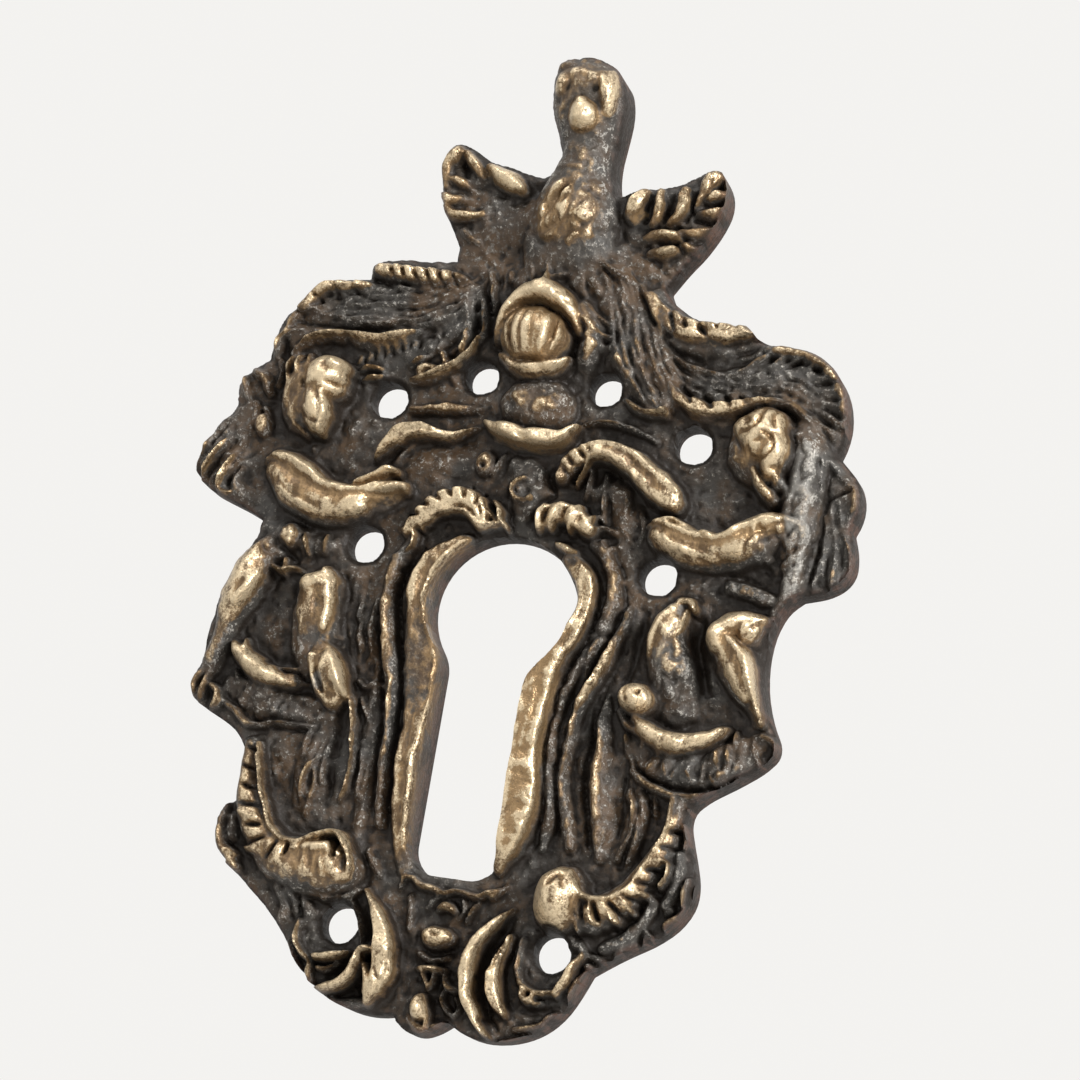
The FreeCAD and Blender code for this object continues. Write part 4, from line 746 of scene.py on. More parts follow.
    # Saw-tooth leaf over the right head: a flat golden plate with notches from above
    r.form([(10.2, 18.3, 0.3, 1.5), (11.2, 17.4, 0.62, 1.8), (12.6, 16.9, 0.75, 1.9), (14.2, 16.8, 0.8, 2.0),
            (15.8, 17.2, 0.65, 2.1), (17.4, 17.7, 0.45, 2.1), (18.8, 17.8, 0.36, 2.0),
            (20.0, 17.4, 0.36, 1.8), (21.3, 16.3, 0.26, 1.5)], "flat", 0.08, gold=0.1)
    r.adds([
        [(11.0, 18.5, 0.25, -0.6), (11.7, 17.7, 0.32, -1.0), (12.1, 17.1, 0.22, -0.7)],
        [(12.6, 18.2, 0.25, -0.6), (13.2, 17.5, 0.35, -1.0), (13.7, 16.8, 0.22, -0.8)],
        [(14.2, 18.2, 0.22, -0.6), (14.7, 17.6, 0.3, -0.9), (15.1, 17.0, 0.18, -0.6)],
        [(15.4, 18.1, 0.14, -0.5), (16.0, 17.6, 0.18, -0.6), (16.4, 17.3, 0.14, -0.4)],
        [(16.4, 17.3, 0.12, -0.25), (18.2, 17.9, 0.14, -0.3), (19.6, 17.8, 0.12, -0.25)],
        [(15.4, 16.2, 0.25, -0.5), (16.8, 16.9, 0.3, -0.8), (18.4, 17.2, 0.25, -0.6)],
    ])
    r.adds([
        [(12.0, 16.3, 0.18, 0.2), (13.6, 16.0, 0.22, 0.3), (14.5, 15.9, 0.24, 0.35), (15.4, 16.4, 0.2, 0.25)],
        [(18.8, 18.3, 0.2, 0.25), (19.8, 17.9, 0.25, 0.4), (20.9, 17.0, 0.25, 0.4), (21.5, 16.3, 0.2, 0.3)],
    ], gold=0.8)
    r.form([(14.9, 18.5, 0.2, 1.2), (16.8, 18.9, 0.3, 1.5), (18.6, 19.0, 0.26, 1.4), (20.0, 18.3, 0.2, 1.2)],
           "roof", 0.12)
    # Fan of lobes round the shoulder's rim
    r.form([(17.2, 21.9, 0.5, 1.3), (19.2, 21.8, 0.55, 1.5), (21.2, 21.2, 0.55, 1.5), (22.6, 19.9, 0.5, 1.5),
            (23.4, 18.2, 0.45, 1.4), (23.6, 16.6, 0.4, 1.2)], "round", 0.12)
    r.forms([
        [(15.8, 19.3, 0.2, 1.2), (17.2, 20.4, 0.3, 1.5), (18.3, 21.3, 0.35, 1.5)],
        [(17.2, 19.6, 0.22, 1.2), (18.4, 20.6, 0.3, 1.5), (19.6, 21.5, 0.35, 1.5)],
        [(19.6, 20.6, 0.25, 1.1), (20.4, 20.8, 0.3, 1.4), (21.2, 21.3, 0.3, 1.4)],
        [(20.6, 19.6, 0.2, 1.1), (21.8, 20.2, 0.28, 1.4), (22.6, 20.3, 0.25, 1.4)],
        [(20.8, 18.9, 0.2, 1.1), (22.2, 19.2, 0.3, 1.3), (23.2, 19.0, 0.25, 1.3)],
        [(21.0, 18.2, 0.2, 1.1), (22.4, 18.2, 0.26, 1.3), (23.4, 17.8, 0.22, 1.3)],
        [(21.4, 17.6, 0.2, 1.1), (22.5, 17.2, 0.22, 1.3), (23.4, 16.7, 0.2, 1.3)],
        [(21.4, 16.8, 0.2, 1.1), (22.4, 16.2, 0.25, 1.3), (23.0, 15.6, 0.2, 1.2)],
    ], "roof", 0.08)
    r.adds([
        [(18.6, 20.6, 0.22, -0.3), (19.4, 21.1, 0.32, -0.7), (19.9, 21.5, 0.2, -0.4)],
        [(20.6, 20.6, 0.22, -0.4), (21.4, 20.75, 0.32, -0.7), (21.8, 21.0, 0.2, -0.4)],
        [(20.8, 19.5, 0.22, -0.4), (21.9, 19.7, 0.3, -0.7), (22.8, 19.9, 0.22, -0.4)],
        [(22.0, 18.6, 0.2, -0.4), (22.8, 18.6, 0.22, -0.6), (23.3, 18.5, 0.16, -0.3)],
        [(22.1, 17.7, 0.18, -0.4), (23.0, 17.4, 0.22, -0.6), (23.4, 17.2, 0.16, -0.3)],
        [(21.8, 17.0, 0.18, -0.3), (22.6, 16.6, 0.24, -0.6), (23.3, 16.2, 0.16, -0.3)],
    ])
    r.tints([
        [(17.0, 21.6, 0.8, 0.2), (19.4, 21.2, 1.0, 0.2), (21.8, 20.4, 1.0, 0.1), (23.2, 18.4, 0.8, 0.1)],
    ])
    r.chase(19.6, 20.0, 3.6, 1.8, 0.26, 0.16, 64, longer=1.6, heading=-20)
    r.form([(3.9, 14.9, 0.22, 0.9), (5.2, 15.1, 0.28, 1.2), (7.0, 15.0, 0.3, 1.3), (8.4, 14.6, 0.25, 1.1),
            (9.7, 14.0, 0.18, 0.7)], "roof", 0.06)
    r.form([(10.9, 15.0, 0.5, 0.7), (11.7, 14.9, 0.45, 1.0), (12.4, 15.6, 0.4, 0.8)], "roof", 0.15)


def carve_left_figure(r):
    """The winged child on the left: wing, head with locks, arm, loins and two legs."""
    # Wing
    r.form([(-22.6, 13.0, 1.0, 0.6), (-23.8, 10.6, 1.9, 0.8), (-24.2, 8.4, 1.9, 0.8), (-22.6, 6.6, 1.0, 0.6)],
           "flat", 0.25)
    r.forms([
        [(-24.3, 12.4, 0.35, 0.9), (-25.3, 10.6, 0.45, 1.2), (-25.8, 9.0, 0.4, 1.1), (-25.9, 7.8, 0.3, 0.9)],
        [(-23.6, 12.3, 0.3, 0.9), (-24.4, 10.9, 0.4, 1.2), (-25.2, 9.6, 0.35, 1.1), (-25.6, 8.6, 0.25, 0.9)],
        [(-23.4, 10.9, 0.3, 1.1), (-24.0, 9.9, 0.4, 1.5), (-24.9, 8.6, 0.4, 1.6), (-25.4, 7.3, 0.3, 1.2)],
        [(-22.9, 10.1, 0.3, 1.0), (-23.7, 8.8, 0.35, 1.2), (-24.5, 7.4, 0.35, 1.2), (-24.8, 6.8, 0.25, 1.0)],
        [(-22.6, 9.1, 0.3, 1.1), (-23.3, 7.9, 0.42, 1.6), (-23.9, 6.7, 0.42, 1.6), (-23.1, 6.3, 0.25, 1.2)],
        [(-22.3, 8.6, 0.25, 0.9), (-22.7, 7.4, 0.3, 1.1), (-22.4, 6.4, 0.25, 0.9)],
    ], "roof", 0.07)
    r.adds([[(-23.2, 10.7, 0.16, -0.3), (-24.3, 8.9, 0.2, -0.55), (-25.0, 7.4, 0.16, -0.4)],
            [(-22.6, 9.9, 0.16, -0.3), (-23.4, 8.2, 0.2, -0.55), (-24.2, 7.0, 0.18, -0.4)],
            [(-22.9, 8.3, 0.16, -0.3), (-23.2, 7.4, 0.22, -0.6), (-23.0, 6.6, 0.16, -0.4)],
            [(-24.0, 12.1, 0.16, -0.3), (-24.9, 10.4, 0.18, -0.45), (-25.6, 9.1, 0.14, -0.3)]])
    r.forms([
        [(-22.4, 13.8, 0.3, 0.9), (-21.9, 12.9, 0.35, 1.1), (-22.1, 11.8, 0.3, 1.0), (-21.9, 11.2, 0.2, 0.8)],
        [(-23.4, 13.2, 0.25, 0.8), (-23.1, 12.2, 0.3, 0.9), (-23.0, 11.2, 0.25, 0.7)],
        [(-21.4, 13.4, 0.3, 0.9), (-20.9, 12.8, 0.3, 0.9)],
    ], "roof", 0.08)
    r.boss(-21.15, 12.0, 0.75, 0.95, 1.7, turn=10, blend=0.06, gold=-0.2)
    r.forms([
        [(-23.9, 10.6, 0.16, 1.5), (-24.6, 9.4, 0.24, 1.9), (-25.2, 8.0, 0.2, 1.6)],
        [(-23.0, 9.4, 0.16, 1.5), (-23.5, 8.2, 0.26, 2.0), (-24.0, 6.8, 0.22, 1.7)],
        [(-24.0, 6.8, 0.2, 1.6), (-23.4, 6.4, 0.22, 1.6), (-22.9, 6.5, 0.16, 1.3)],
    ], "round", 0.08, gold=1)
    r.chase(-23.4, 9.6, 2.4, 3.6, 0.25, 0.14, 59, longer=2.0, heading=60)
    # Head: hair behind, then one rounded face turned to the right
    r.boss(-17.7, 14.7, 2.6, 3.2, 2.7, blend=0.25)
    r.boss(-16.5, 15.9, 1.95, 2.15, 3.85, turn=-10, blend=0.25, power=0.42, gold=0.8)
    r.boss(-16.8, 13.7, 1.4, 2.3, 3.7, turn=8, blend=0.3, power=0.45, gold=0.5)
    r.boss(-15.7, 16.9, 1.25, 0.9, 3.95, turn=-12, blend=0.25, gold=0.9)
    r.form([(-16.2, 14.7, 0.35, 3.7), (-15.9, 13.8, 0.45, 3.8), (-15.9, 12.8, 0.45, 3.5),
            (-16.2, 11.8, 0.35, 3.0)], "round", 0.25, gold=1)
    r.adds([
        [(-14.6, 15.7, 0.28, -0.5), (-15.3, 15.45, 0.32, -0.6), (-15.9, 15.35, 0.22, -0.35)],
        [(-17.7, 16.0, 0.28, -0.45), (-17.9, 15.3, 0.3, -0.5), (-17.7, 14.6, 0.25, -0.3)],
        [(-16.6, 15.3, 0.25, -0.2), (-16.9, 15.0, 0.2, -0.15)],
        [(-17.6, 12.9, 0.16, -0.35), (-17.0, 12.45, 0.2, -0.4), (-16.2, 12.3, 0.16, -0.3)],
        [(-17.7, 13.7, 0.16, -0.3), (-17.1, 13.3, 0.16, -0.25)],
        [(-15.7, 12.5, 0.2, -0.25), (-15.2, 13.2, 0.2, -0.25)],
    ])
    r.dots([(-17.1, 17.2, 0.2, -0.35), (-15.4, 17.6, 0.2, -0.35), (-15.1, 14.3, 0.3, 0.2),
            (-15.4, 13.1, 0.3, 0.2)])
    for x, z, bend in ((-19.8, 16.0, -0.35), (-19.0, 16.4, 0.1), (-18.2, 16.8, 0.25), (-19.5, 14.2, -0.2),
                       (-18.7, 14.0, 0.1)):
        r.form([(x - bend, z + 1.2, 0.22, 1.5), (x, z + 0.3, 0.4, 2.3), (x + 0.1, z - 0.6, 0.36, 2.2),
                (x + 0.5, z - 1.2, 0.2, 1.5)], "roof", 0.07, gold=0.5)
    r.forms([[(-18.9, 13.0, 0.3, 1.6), (-18.3, 12.1, 0.4, 2.0), (-17.4, 11.5, 0.35, 1.9)],
             [(-18.4, 13.7, 0.25, 2.0), (-18.0, 12.9, 0.3, 2.3)]], "roof", 0.1, gold=0.4)
    r.dots([(-16.9, 10.7, 0.35, 0.6), (-17.2, 11.0, 0.3, 0.3), (-16.6, 9.9, 0.3, 0.3),
            (-13.3, 12.0, 0.4, 0.2), (-14.2, 12.6, 0.35, 0.2), (-13.6, 16.9, 0.35, 0.45),
            (-13.0, 16.7, 0.3, 0.4), (-14.0, 17.7, 0.3, 0.35), (-14.4, 13.9, 0.35, 0.35),
            (-13.9, 13.2, 0.3, 0.3)])
    r.chase(-18.6, 14.4, 1.9, 3.4, 0.22, 0.14, 51, longer=1.8, heading=70)
    r.forms([
        [(-19.7, 17.6, 0.2, 1.8), (-19.9, 16.4, 0.4, 2.4), (-19.4, 15.3, 0.3, 2.2)],
        [(-18.9, 17.7, 0.22, 2.0), (-19.0, 16.6, 0.42, 2.7), (-18.3, 15.6, 0.3, 2.5)],
        [(-19.4, 14.8, 0.22, 1.9), (-19.1, 13.8, 0.36, 2.4), (-18.3, 13.0, 0.25, 2.2)],
    ], "roof", 0.06, gold=0.7)
    # Arm
    r.form([(-19.9, 9.2, 0.8, 1.5), (-18.8, 8.9, 1.5, 2.5), (-17.2, 7.9, 1.85, 3.0), (-15.4, 6.9, 1.75, 3.05),
            (-13.6, 6.6, 1.6, 3.0), (-12.0, 6.9, 1.4, 2.9), (-10.6, 7.6, 1.1, 2.5), (-9.5, 8.2, 0.6, 1.8)],
           "left", 0.12)
    r.form([(-12.8, 8.0, 0.35, 2.5), (-11.2, 8.8, 0.45, 2.75), (-10.2, 9.4, 0.45, 2.65),
            (-9.7, 9.3, 0.3, 2.2)], "round", 0.06, gold=0.8)
    r.form([(-11.6, 7.4, 0.35, 2.5), (-10.2, 7.9, 0.42, 2.6), (-9.1, 8.3, 0.4, 2.3), (-8.9, 8.0, 0.3, 1.8)],
           "round", 0.06, gold=0.8)
    r.adds([[(-11.9, 8.15, 0.16, -0.35), (-10.6, 8.6, 0.18, -0.6), (-9.6, 8.8, 0.16, -0.5)],
            [(-14.1, 7.2, 0.14, -0.35), (-13.7, 6.7, 0.16, -0.4), (-13.9, 6.2, 0.12, -0.25)],
            [(-19.0, 9.8, 0.2, -0.15), (-17.2, 8.9, 0.25, -0.2), (-15.3, 7.8, 0.22, -0.2)],
            [(-18.8, 8.6, 0.2, -0.12), (-16.8, 7.4, 0.22, -0.16), (-14.8, 6.4, 0.2, -0.15)],
            [(-12.6, 6.6, 0.3, 0.25), (-11.4, 6.9, 0.4, 0.35), (-10.4, 7.2, 0.3, 0.25)]])
    r.form([(-19.4, 8.6, 1.0, 2.0), (-17.7, 7.3, 1.5, 2.6), (-15.9, 6.5, 1.65, 2.75), (-14.0, 6.2, 1.5, 2.75),
            (-12.2, 6.6, 1.25, 2.7)], "round", 0.4, gold=0.4)
    r.adds([[(-12.6, 5.9, 0.2, 0.35), (-12.3, 5.5, 0.2, 0.35)]], gold=1)
    r.adds([
        [(-18.8, 7.6, 0.14, -0.25), (-17.0, 6.5, 0.16, -0.25), (-15.2, 5.9, 0.14, -0.2)],
        [(-12.0, 6.3, 0.16, -0.35), (-11.2, 6.6, 0.16, -0.4)],
        [(-10.8, 6.7, 0.14, -0.3), (-10.0, 7.1, 0.14, -0.3)],
    ])
    # Loins
    r.form([(-19.0, 4.2, 0.8, 0.6), (-17.4, 3.6, 1.6, 1.2), (-15.6, 3.4, 1.2, 1.0), (-14.2, 3.4, 0.8, 0.6)],
           "bell", 0.2)
    r.form([(-18.4, 2.4, 0.25, 1.0), (-18.2, 1.3, 0.25, 1.2), (-17.2, 1.0, 0.26, 1.4),
            (-16.6, 1.3, 0.22, 1.3), (-15.9, 1.1, 0.2, 1.1)], "roof", 0.08)
    r.dots([(-17.5, 4.2, 0.35, 0.35), (-18.0, 3.6, 0.35, 0.35), (-17.1, 3.6, 0.35, -0.3),
            (-16.7, 4.1, 0.35, 0.35), (-16.6, 3.2, 0.35, 0.4), (-17.4, 3.0, 0.3, 0.3), (-15.9, 3.7, 0.3, 0.4),
            (-15.7, 2.7, 0.28, 0.4), (-15.2, 3.4, 0.28, 0.35), (-16.3, 1.9, 0.3, 0.3), (-16.0, 2.2, 0.2, 0.3),
            (-17.2, 2.2, 0.55, -0.35), (-18.9, 3.5, 0.3, 0.3), (-18.5, 3.0, 0.25, 0.25)])
    r.boss(-17.3, 3.7, 0.9, 1.1, 2.0, turn=20, blend=0.15, gold=0.3)
    r.forms([
        [(-16.2, 4.1, 0.16, 1.6), (-16.0, 3.4, 0.22, 1.9), (-15.7, 2.5, 0.16, 1.5)],
        [(-14.5, 4.2, 0.14, 1.3), (-14.4, 3.5, 0.18, 1.5), (-14.5, 2.8, 0.14, 1.2)],
        [(-18.2, 1.2, 0.16, 1.5), (-17.4, 0.8, 0.22, 1.8), (-16.8, 1.0, 0.22, 1.8), (-16.0, 1.1, 0.16, 1.4)],
        [(-17.3, 1.9, 0.16, 1.4), (-17.2, 1.2, 0.2, 1.6), (-17.0, 0.5, 0.16, 1.3)],
    ], "round", 0.1, gold=0.8)
    r.add([(-17.8, 4.4, 0.16, -0.3), (-17.3, 3.6, 0.2, -0.4), (-17.6, 2.9, 0.16, -0.3)])
    r.boss(-18.2, 2.4, 0.7, 0.8, 1.0, blend=0.2, gold=-1)
    r.chase(-16.8, 3.2, 2.6, 1.8, 0.25, 0.2, 58)
    # Outer leg and foot
    r.form([(-19.0, 3.2, 0.7, 1.3), (-19.4, 1.8, 1.25, 2.2), (-19.9, 0.2, 1.65, 2.8),
            (-20.5, -1.6, 1.55, 2.6), (-21.0, -3.6, 1.2, 1.9), (-21.4, -5.4, 0.95, 1.5),
            (-21.8, -7.0, 0.85, 1.3)], "round", 0.15)
    r.adds([
        [(-18.7, 1.0, 0.3, 0.2), (-18.9, -0.2, 0.5, 0.45), (-19.6, -1.3, 0.5, 0.5),
         (-20.1, -2.3, 0.35, 0.35)],
        [(-19.9, -2.8, 0.22, 0.4), (-20.0, -3.9, 0.2, 0.35), (-20.6, -4.8, 0.2, 0.25),
         (-20.8, -6.2, 0.2, 0.25)],
        [(-19.2, 2.6, 0.25, -0.3), (-18.7, 1.9, 0.25, -0.35)],
    ])
    r.dots([(-18.7, 2.6, 0.3, 0.4), (-18.5, 1.7, 0.25, 0.3), (-18.6, -1.2, 0.3, 0.4),
            (-19.0, -1.9, 0.25, 0.3)])
    r.forms([
        [(-22.2, -7.2, 0.3, 1.1), (-22.8, -8.2, 0.36, 1.4), (-22.7, -9.3, 0.3, 1.1)],
        [(-21.7, -7.4, 0.3, 1.2), (-22.0, -8.6, 0.36, 1.5), (-22.2, -9.8, 0.3, 1.1)],
        [(-21.4, -8.4, 0.3, 1.3), (-20.8, -8.9, 0.36, 1.6), (-20.8, -9.8, 0.34, 1.5),
         (-21.3, -10.3, 0.24, 1.0)],
    ], "round", 0.06)
    # Inner leg: a rounded knee and a broad shin, its right side painted bright as a highlight
    r.form([(-14.0, 0.7, 1.25, 2.5), (-14.0, -0.7, 1.65, 2.8), (-14.1, -2.2, 1.85, 2.7),
            (-14.2, -3.8, 1.95, 2.3), (-14.2, -5.2, 1.8, 1.7)], "left", 0.15)
    r.boss(-13.9, 0.35, 1.35, 1.05, 2.95, blend=0.25)
    r.boss(-14.8, 0.1, 1.05, 1.0, 2.75, blend=0.25, gold=0.6)
    r.form([(-14.3, -0.4, 1.5, 2.6), (-14.4, -2.0, 1.7, 2.5), (-14.4, -4.0, 1.6, 2.2),
            (-13.9, -6.0, 1.2, 1.8)], "round", 0.5)
    r.adds([
        [(-13.0, 0.2, 0.3, 0.15), (-12.8, -1.0, 0.35, 0.25), (-12.8, -2.4, 0.35, 0.25),
         (-12.9, -3.4, 0.25, 0.2)],
    ])
    r.adds([[(-14.4, 0.9, 0.16, -0.3), (-13.8, 0.55, 0.18, -0.35), (-13.2, 0.75, 0.16, -0.3)],
            [(-14.1, -0.2, 0.16, -0.2), (-13.9, -1.2, 0.2, -0.25), (-14.0, -2.2, 0.16, -0.2)]])
    r.dots([(-13.3, -1.1, 0.18, -0.25), (-12.8, -2.7, 0.2, -0.3), (-13.5, -2.9, 0.25, -0.3)])
    # Golden dots down the right side of the shin, part of its painted highlight
    r.dots([(-12.2, -3.6, 0.3, 0.4), (-11.9, -4.3, 0.25, 0.35), (-12.7, -3.9, 0.25, 0.3),
            (-12.3, -4.6, 0.25, 0.3), (-11.6, -3.2, 0.25, 0.3)], gold=0.7)
    # Its foot: a block with a brown left face, a dimple and a bright right face
    r.form([(-13.0, -4.9, 1.1, 2.1), (-12.6, -6.0, 1.6, 2.8), (-12.1, -7.2, 1.65, 2.7),
            (-11.6, -8.3, 1.2, 1.9)], "flat", 0.12, gold=0.4)
    r.form([(-12.2, -5.4, 0.5, 2.7), (-11.5, -6.3, 0.7, 3.0), (-10.9, -7.3, 0.6, 2.8),
            (-10.5, -8.1, 0.35, 2.0)], "round", 0.2, gold=1)
    r.adds([
        [(-13.6, -5.6, 0.35, 0.3), (-13.8, -6.6, 0.3, 0.25)],
        [(-12.7, -6.0, 0.16, -0.3), (-12.9, -6.8, 0.3, -0.5), (-12.6, -7.6, 0.35, -0.8),
         (-12.3, -8.2, 0.3, -0.5)],
    ])
    r.rub(-12.7, -7.4, 0.6, 0.9, -0.9)
    r.adds([
        [(-16.3, 0.2, 0.35, -0.3), (-15.8, -1.6, 0.35, -0.35), (-15.3, -3.6, 0.35, -0.35),
         (-15.0, -5.2, 0.3, -0.3)],
    ])


def carve_right_figure(r):
    """The winged child on the right: head with curls, column of the back, arm with a cuff, legs and wing."""
    # Column of the back: broad, grey and speckled
    r.form([(21.0, 16.4, 1.2, 1.3), (21.3, 14.6, 1.5, 1.8), (21.4, 12.4, 1.7, 2.1), (21.4, 10.2, 1.8, 2.2),
            (21.6, 8.0, 1.6, 2.1), (21.7, 5.8, 1.2, 1.6), (21.6, 3.8, 0.9, 1.2), (21.0, 2.2, 0.8, 1.1),
            (20.7, 0.4, 0.8, 1.0)], "round", 0.3, gold=-1)
    # Head: one rounded mass, carved with curls
    r.boss(17.9, 14.4, 2.7, 3.2, 2.7, turn=-8, blend=0.25)
    r.boss(18.1, 14.9, 2.2, 2.5, 3.75, turn=-4, blend=0.2, power=0.4, gold=0.8)
    r.boss(19.1, 13.6, 1.3, 2.3, 3.9, turn=-4, blend=0.3, power=0.45, gold=0.9)
    r.boss(16.7, 15.5, 1.4, 1.2, 3.0, turn=20, blend=0.2, gold=0.6)
    r.boss(19.6, 11.6, 0.8, 0.7, 2.6, blend=0.25)
    r.form([(17.6, 12.3, 0.5, 2.6), (18.3, 11.3, 0.7, 2.7), (19.3, 10.4, 0.7, 2.2)], "round", 0.15)
    r.adds([
        [(18.2, 14.9, 0.14, -0.5), (18.9, 14.6, 0.18, -0.6), (19.2, 13.9, 0.18, -0.6),
         (18.8, 13.2, 0.16, -0.55), (18.0, 12.95, 0.16, -0.5), (17.3, 13.3, 0.16, -0.45),
         (17.1, 14.0, 0.14, -0.35)],
        [(17.7, 14.2, 0.14, -0.45), (18.2, 14.35, 0.14, -0.45)],
        [(18.9, 16.8, 0.14, -0.4), (18.8, 16.0, 0.18, -0.55), (19.1, 15.4, 0.16, -0.4)],
        [(18.0, 16.8, 0.16, -0.4), (17.9, 15.9, 0.2, -0.55), (17.4, 15.2, 0.18, -0.5),
         (16.4, 15.0, 0.16, -0.4)],
        [(16.0, 16.4, 0.15, -0.3), (16.9, 15.9, 0.18, -0.35), (17.2, 15.6, 0.12, -0.3)],
        [(15.6, 15.4, 0.2, -0.3), (16.1, 14.4, 0.22, -0.4), (16.6, 13.7, 0.2, -0.3)],
        [(20.1, 16.2, 0.15, -0.3), (20.0, 15.3, 0.2, -0.4), (20.4, 14.5, 0.2, -0.35)],
        [(19.2, 12.4, 0.22, -0.5), (19.8, 12.5, 0.22, -0.4), (20.3, 12.1, 0.2, -0.3)],
    ])
    r.dots([(20.5, 15.3, 0.3, 0.4), (20.1, 15.9, 0.25, 0.3), (19.9, 12.9, 0.3, 0.3), (19.6, 11.9, 0.3, 0.4),
            (20.1, 11.2, 0.3, 0.35), (20.4, 10.2, 0.3, 0.35)], gold=0.4)
    r.dots([(19.0, 11.4, 0.25, -0.35), (15.4, 13.2, 0.35, 0.5), (15.2, 12.2, 0.3, 0.4),
            (15.0, 14.0, 0.3, 0.4), (16.0, 13.2, 0.3, 0.35)])
    r.chase(18.2, 14.6, 2.6, 2.9, 0.28, 0.1, 52)
    r.chase(21.5, 10.4, 2.4, 6.4, 0.26, 0.26, 53, longer=1.8, heading=70)
    # Wing
    r.form([(23.4, 13.2, 0.9, 0.5), (24.4, 11.2, 1.3, 0.7), (24.4, 8.4, 1.4, 0.7), (24.4, 5.6, 1.3, 0.7)],
           "flat", 0.25)
    r.forms([
        [(22.9, 14.0, 0.35, 0.8), (23.9, 12.8, 0.45, 1.0), (24.9, 12.0, 0.35, 0.9)],
        [(25.0, 12.1, 0.25, 1.0), (25.4, 11.0, 0.35, 1.4), (25.3, 9.9, 0.3, 1.2), (24.9, 9.2, 0.2, 0.9)],
        [(24.3, 10.8, 0.22, 0.9), (24.5, 9.6, 0.28, 1.2), (24.6, 8.6, 0.22, 1.0)],
        [(24.7, 8.6, 0.22, 1.1), (25.4, 7.4, 0.3, 1.5), (25.6, 6.2, 0.3, 1.6), (25.4, 5.2, 0.32, 1.5),
         (24.6, 4.3, 0.3, 1.3)],
        [(24.0, 8.6, 0.22, 0.9), (24.4, 7.2, 0.3, 1.2), (24.5, 5.8, 0.34, 1.4), (24.4, 4.6, 0.25, 1.1)],
        [(23.3, 9.6, 0.25, 0.9), (23.5, 7.6, 0.3, 1.1), (23.4, 5.8, 0.28, 1.1), (23.0, 4.4, 0.25, 0.8)],
    ], "roof", 0.07)
    r.adds([[(22.3, 13.6, 0.25, -0.4), (22.5, 12.2, 0.3, -0.6), (22.9, 11.0, 0.25, -0.4)],
            [(23.2, 10.8, 0.22, -0.3), (24.0, 11.2, 0.28, -0.6), (24.9, 11.7, 0.22, -0.5)],
            [(23.9, 10.6, 0.16, -0.3), (24.1, 9.2, 0.18, -0.4)],
            [(23.9, 6.6, 0.18, -0.4), (24.0, 5.4, 0.2, -0.6), (24.0, 4.3, 0.16, -0.5)],
            [(22.7, 7.8, 0.2, -0.4), (22.6, 6.2, 0.24, -0.6), (22.4, 4.9, 0.2, -0.4)],
            [(24.9, 7.4, 0.16, -0.3), (25.0, 6.2, 0.18, -0.45), (24.9, 5.2, 0.14, -0.3)],
            [(25.3, 11.0, 0.2, 0.3), (25.6, 10.2, 0.2, 0.35)]])
    # Arm with its cuff
    r.form([(10.5, 7.2, 0.6, 1.7), (11.6, 6.9, 1.15, 2.5), (13.0, 6.4, 1.35, 2.8), (14.6, 6.1, 1.4, 3.0),
            (16.4, 6.2, 1.65, 3.1), (18.2, 6.9, 2.0, 3.2), (19.8, 7.5, 2.2, 3.0), (21.2, 7.6, 1.7, 2.5)],
           "left", 0.15)
    r.form([(11.2, 6.7, 1.1, 2.2), (13.1, 6.1, 1.4, 2.6), (15.1, 5.9, 1.45, 2.7), (17.0, 6.3, 1.6, 2.8),
            (18.4, 6.8, 1.5, 2.8)], "round", 0.4, gold=0.4)
    r.adds([[(11.4, 5.9, 0.14, -0.25), (13.4, 5.3, 0.16, -0.3), (15.4, 5.1, 0.14, -0.25)]])
    r.form([(10.7, 7.7, 0.3, 2.2), (12.2, 7.9, 0.38, 2.5), (13.2, 7.6, 0.3, 2.45), (14.4, 7.1, 0.22, 2.4)],
           "round", 0.08, gold=0.8)
    r.boss(15.0, 7.0, 0.9, 0.55, 3.2, turn=-8, blend=0.15, gold=0.9)
    r.adds([
        [(18.25, 7.9, 0.12, -0.35), (18.3, 6.8, 0.14, -0.4), (18.1, 5.7, 0.12, -0.3)],
        [(14.5, 6.9, 0.25, -0.15), (15.1, 6.8, 0.3, -0.3), (15.6, 7.0, 0.2, -0.1)],
        [(11.6, 6.9, 0.2, -0.2), (13.2, 6.2, 0.24, -0.3), (14.9, 5.8, 0.22, -0.25), (16.2, 5.5, 0.2, -0.2)],
        [(12.9, 7.9, 0.14, -0.3), (14.0, 7.35, 0.14, -0.3)],
        [(20.3, 8.6, 0.2, -0.3), (20.9, 8.4, 0.2, -0.3)],
        [(11.2, 8.1, 0.3, -0.15), (11.7, 6.1, 0.25, -0.2)],
    ])
    # A raised line along the arm's upper edge, painted golden as a highlight from above
    r.adds([[(16.8, 7.7, 0.3, 0.1), (18.4, 8.7, 0.34, 0.2), (19.9, 9.2, 0.36, 0.25), (21.2, 8.8, 0.3, 0.2)]],
           gold=1)
    r.chase(20.0, 6.7, 2.1, 2.4, 0.2, 0.34, 54)
    # Block and loins
    r.form([(16.9, 3.6, 0.55, 1.1), (18.4, 3.4, 0.65, 1.3), (20.2, 3.0, 0.6, 1.0)], "flat", 0.1)
    r.adds([
        [(16.4, 4.4, 0.2, -0.3), (18.0, 4.4, 0.25, -0.4), (19.6, 4.0, 0.2, -0.3)],
        [(17.1, 3.9, 0.3, 0.3), (17.3, 3.0, 0.3, 0.2)],
    ])
    r.dots([(13.0, 3.9, 0.4, 0.4), (14.0, 3.3, 0.35, 0.3), (14.8, 3.6, 0.35, 0.3), (15.6, 3.0, 0.3, 0.25),
            (21.0, 2.6, 0.3, 0.3), (21.4, 3.2, 0.3, 0.3)])
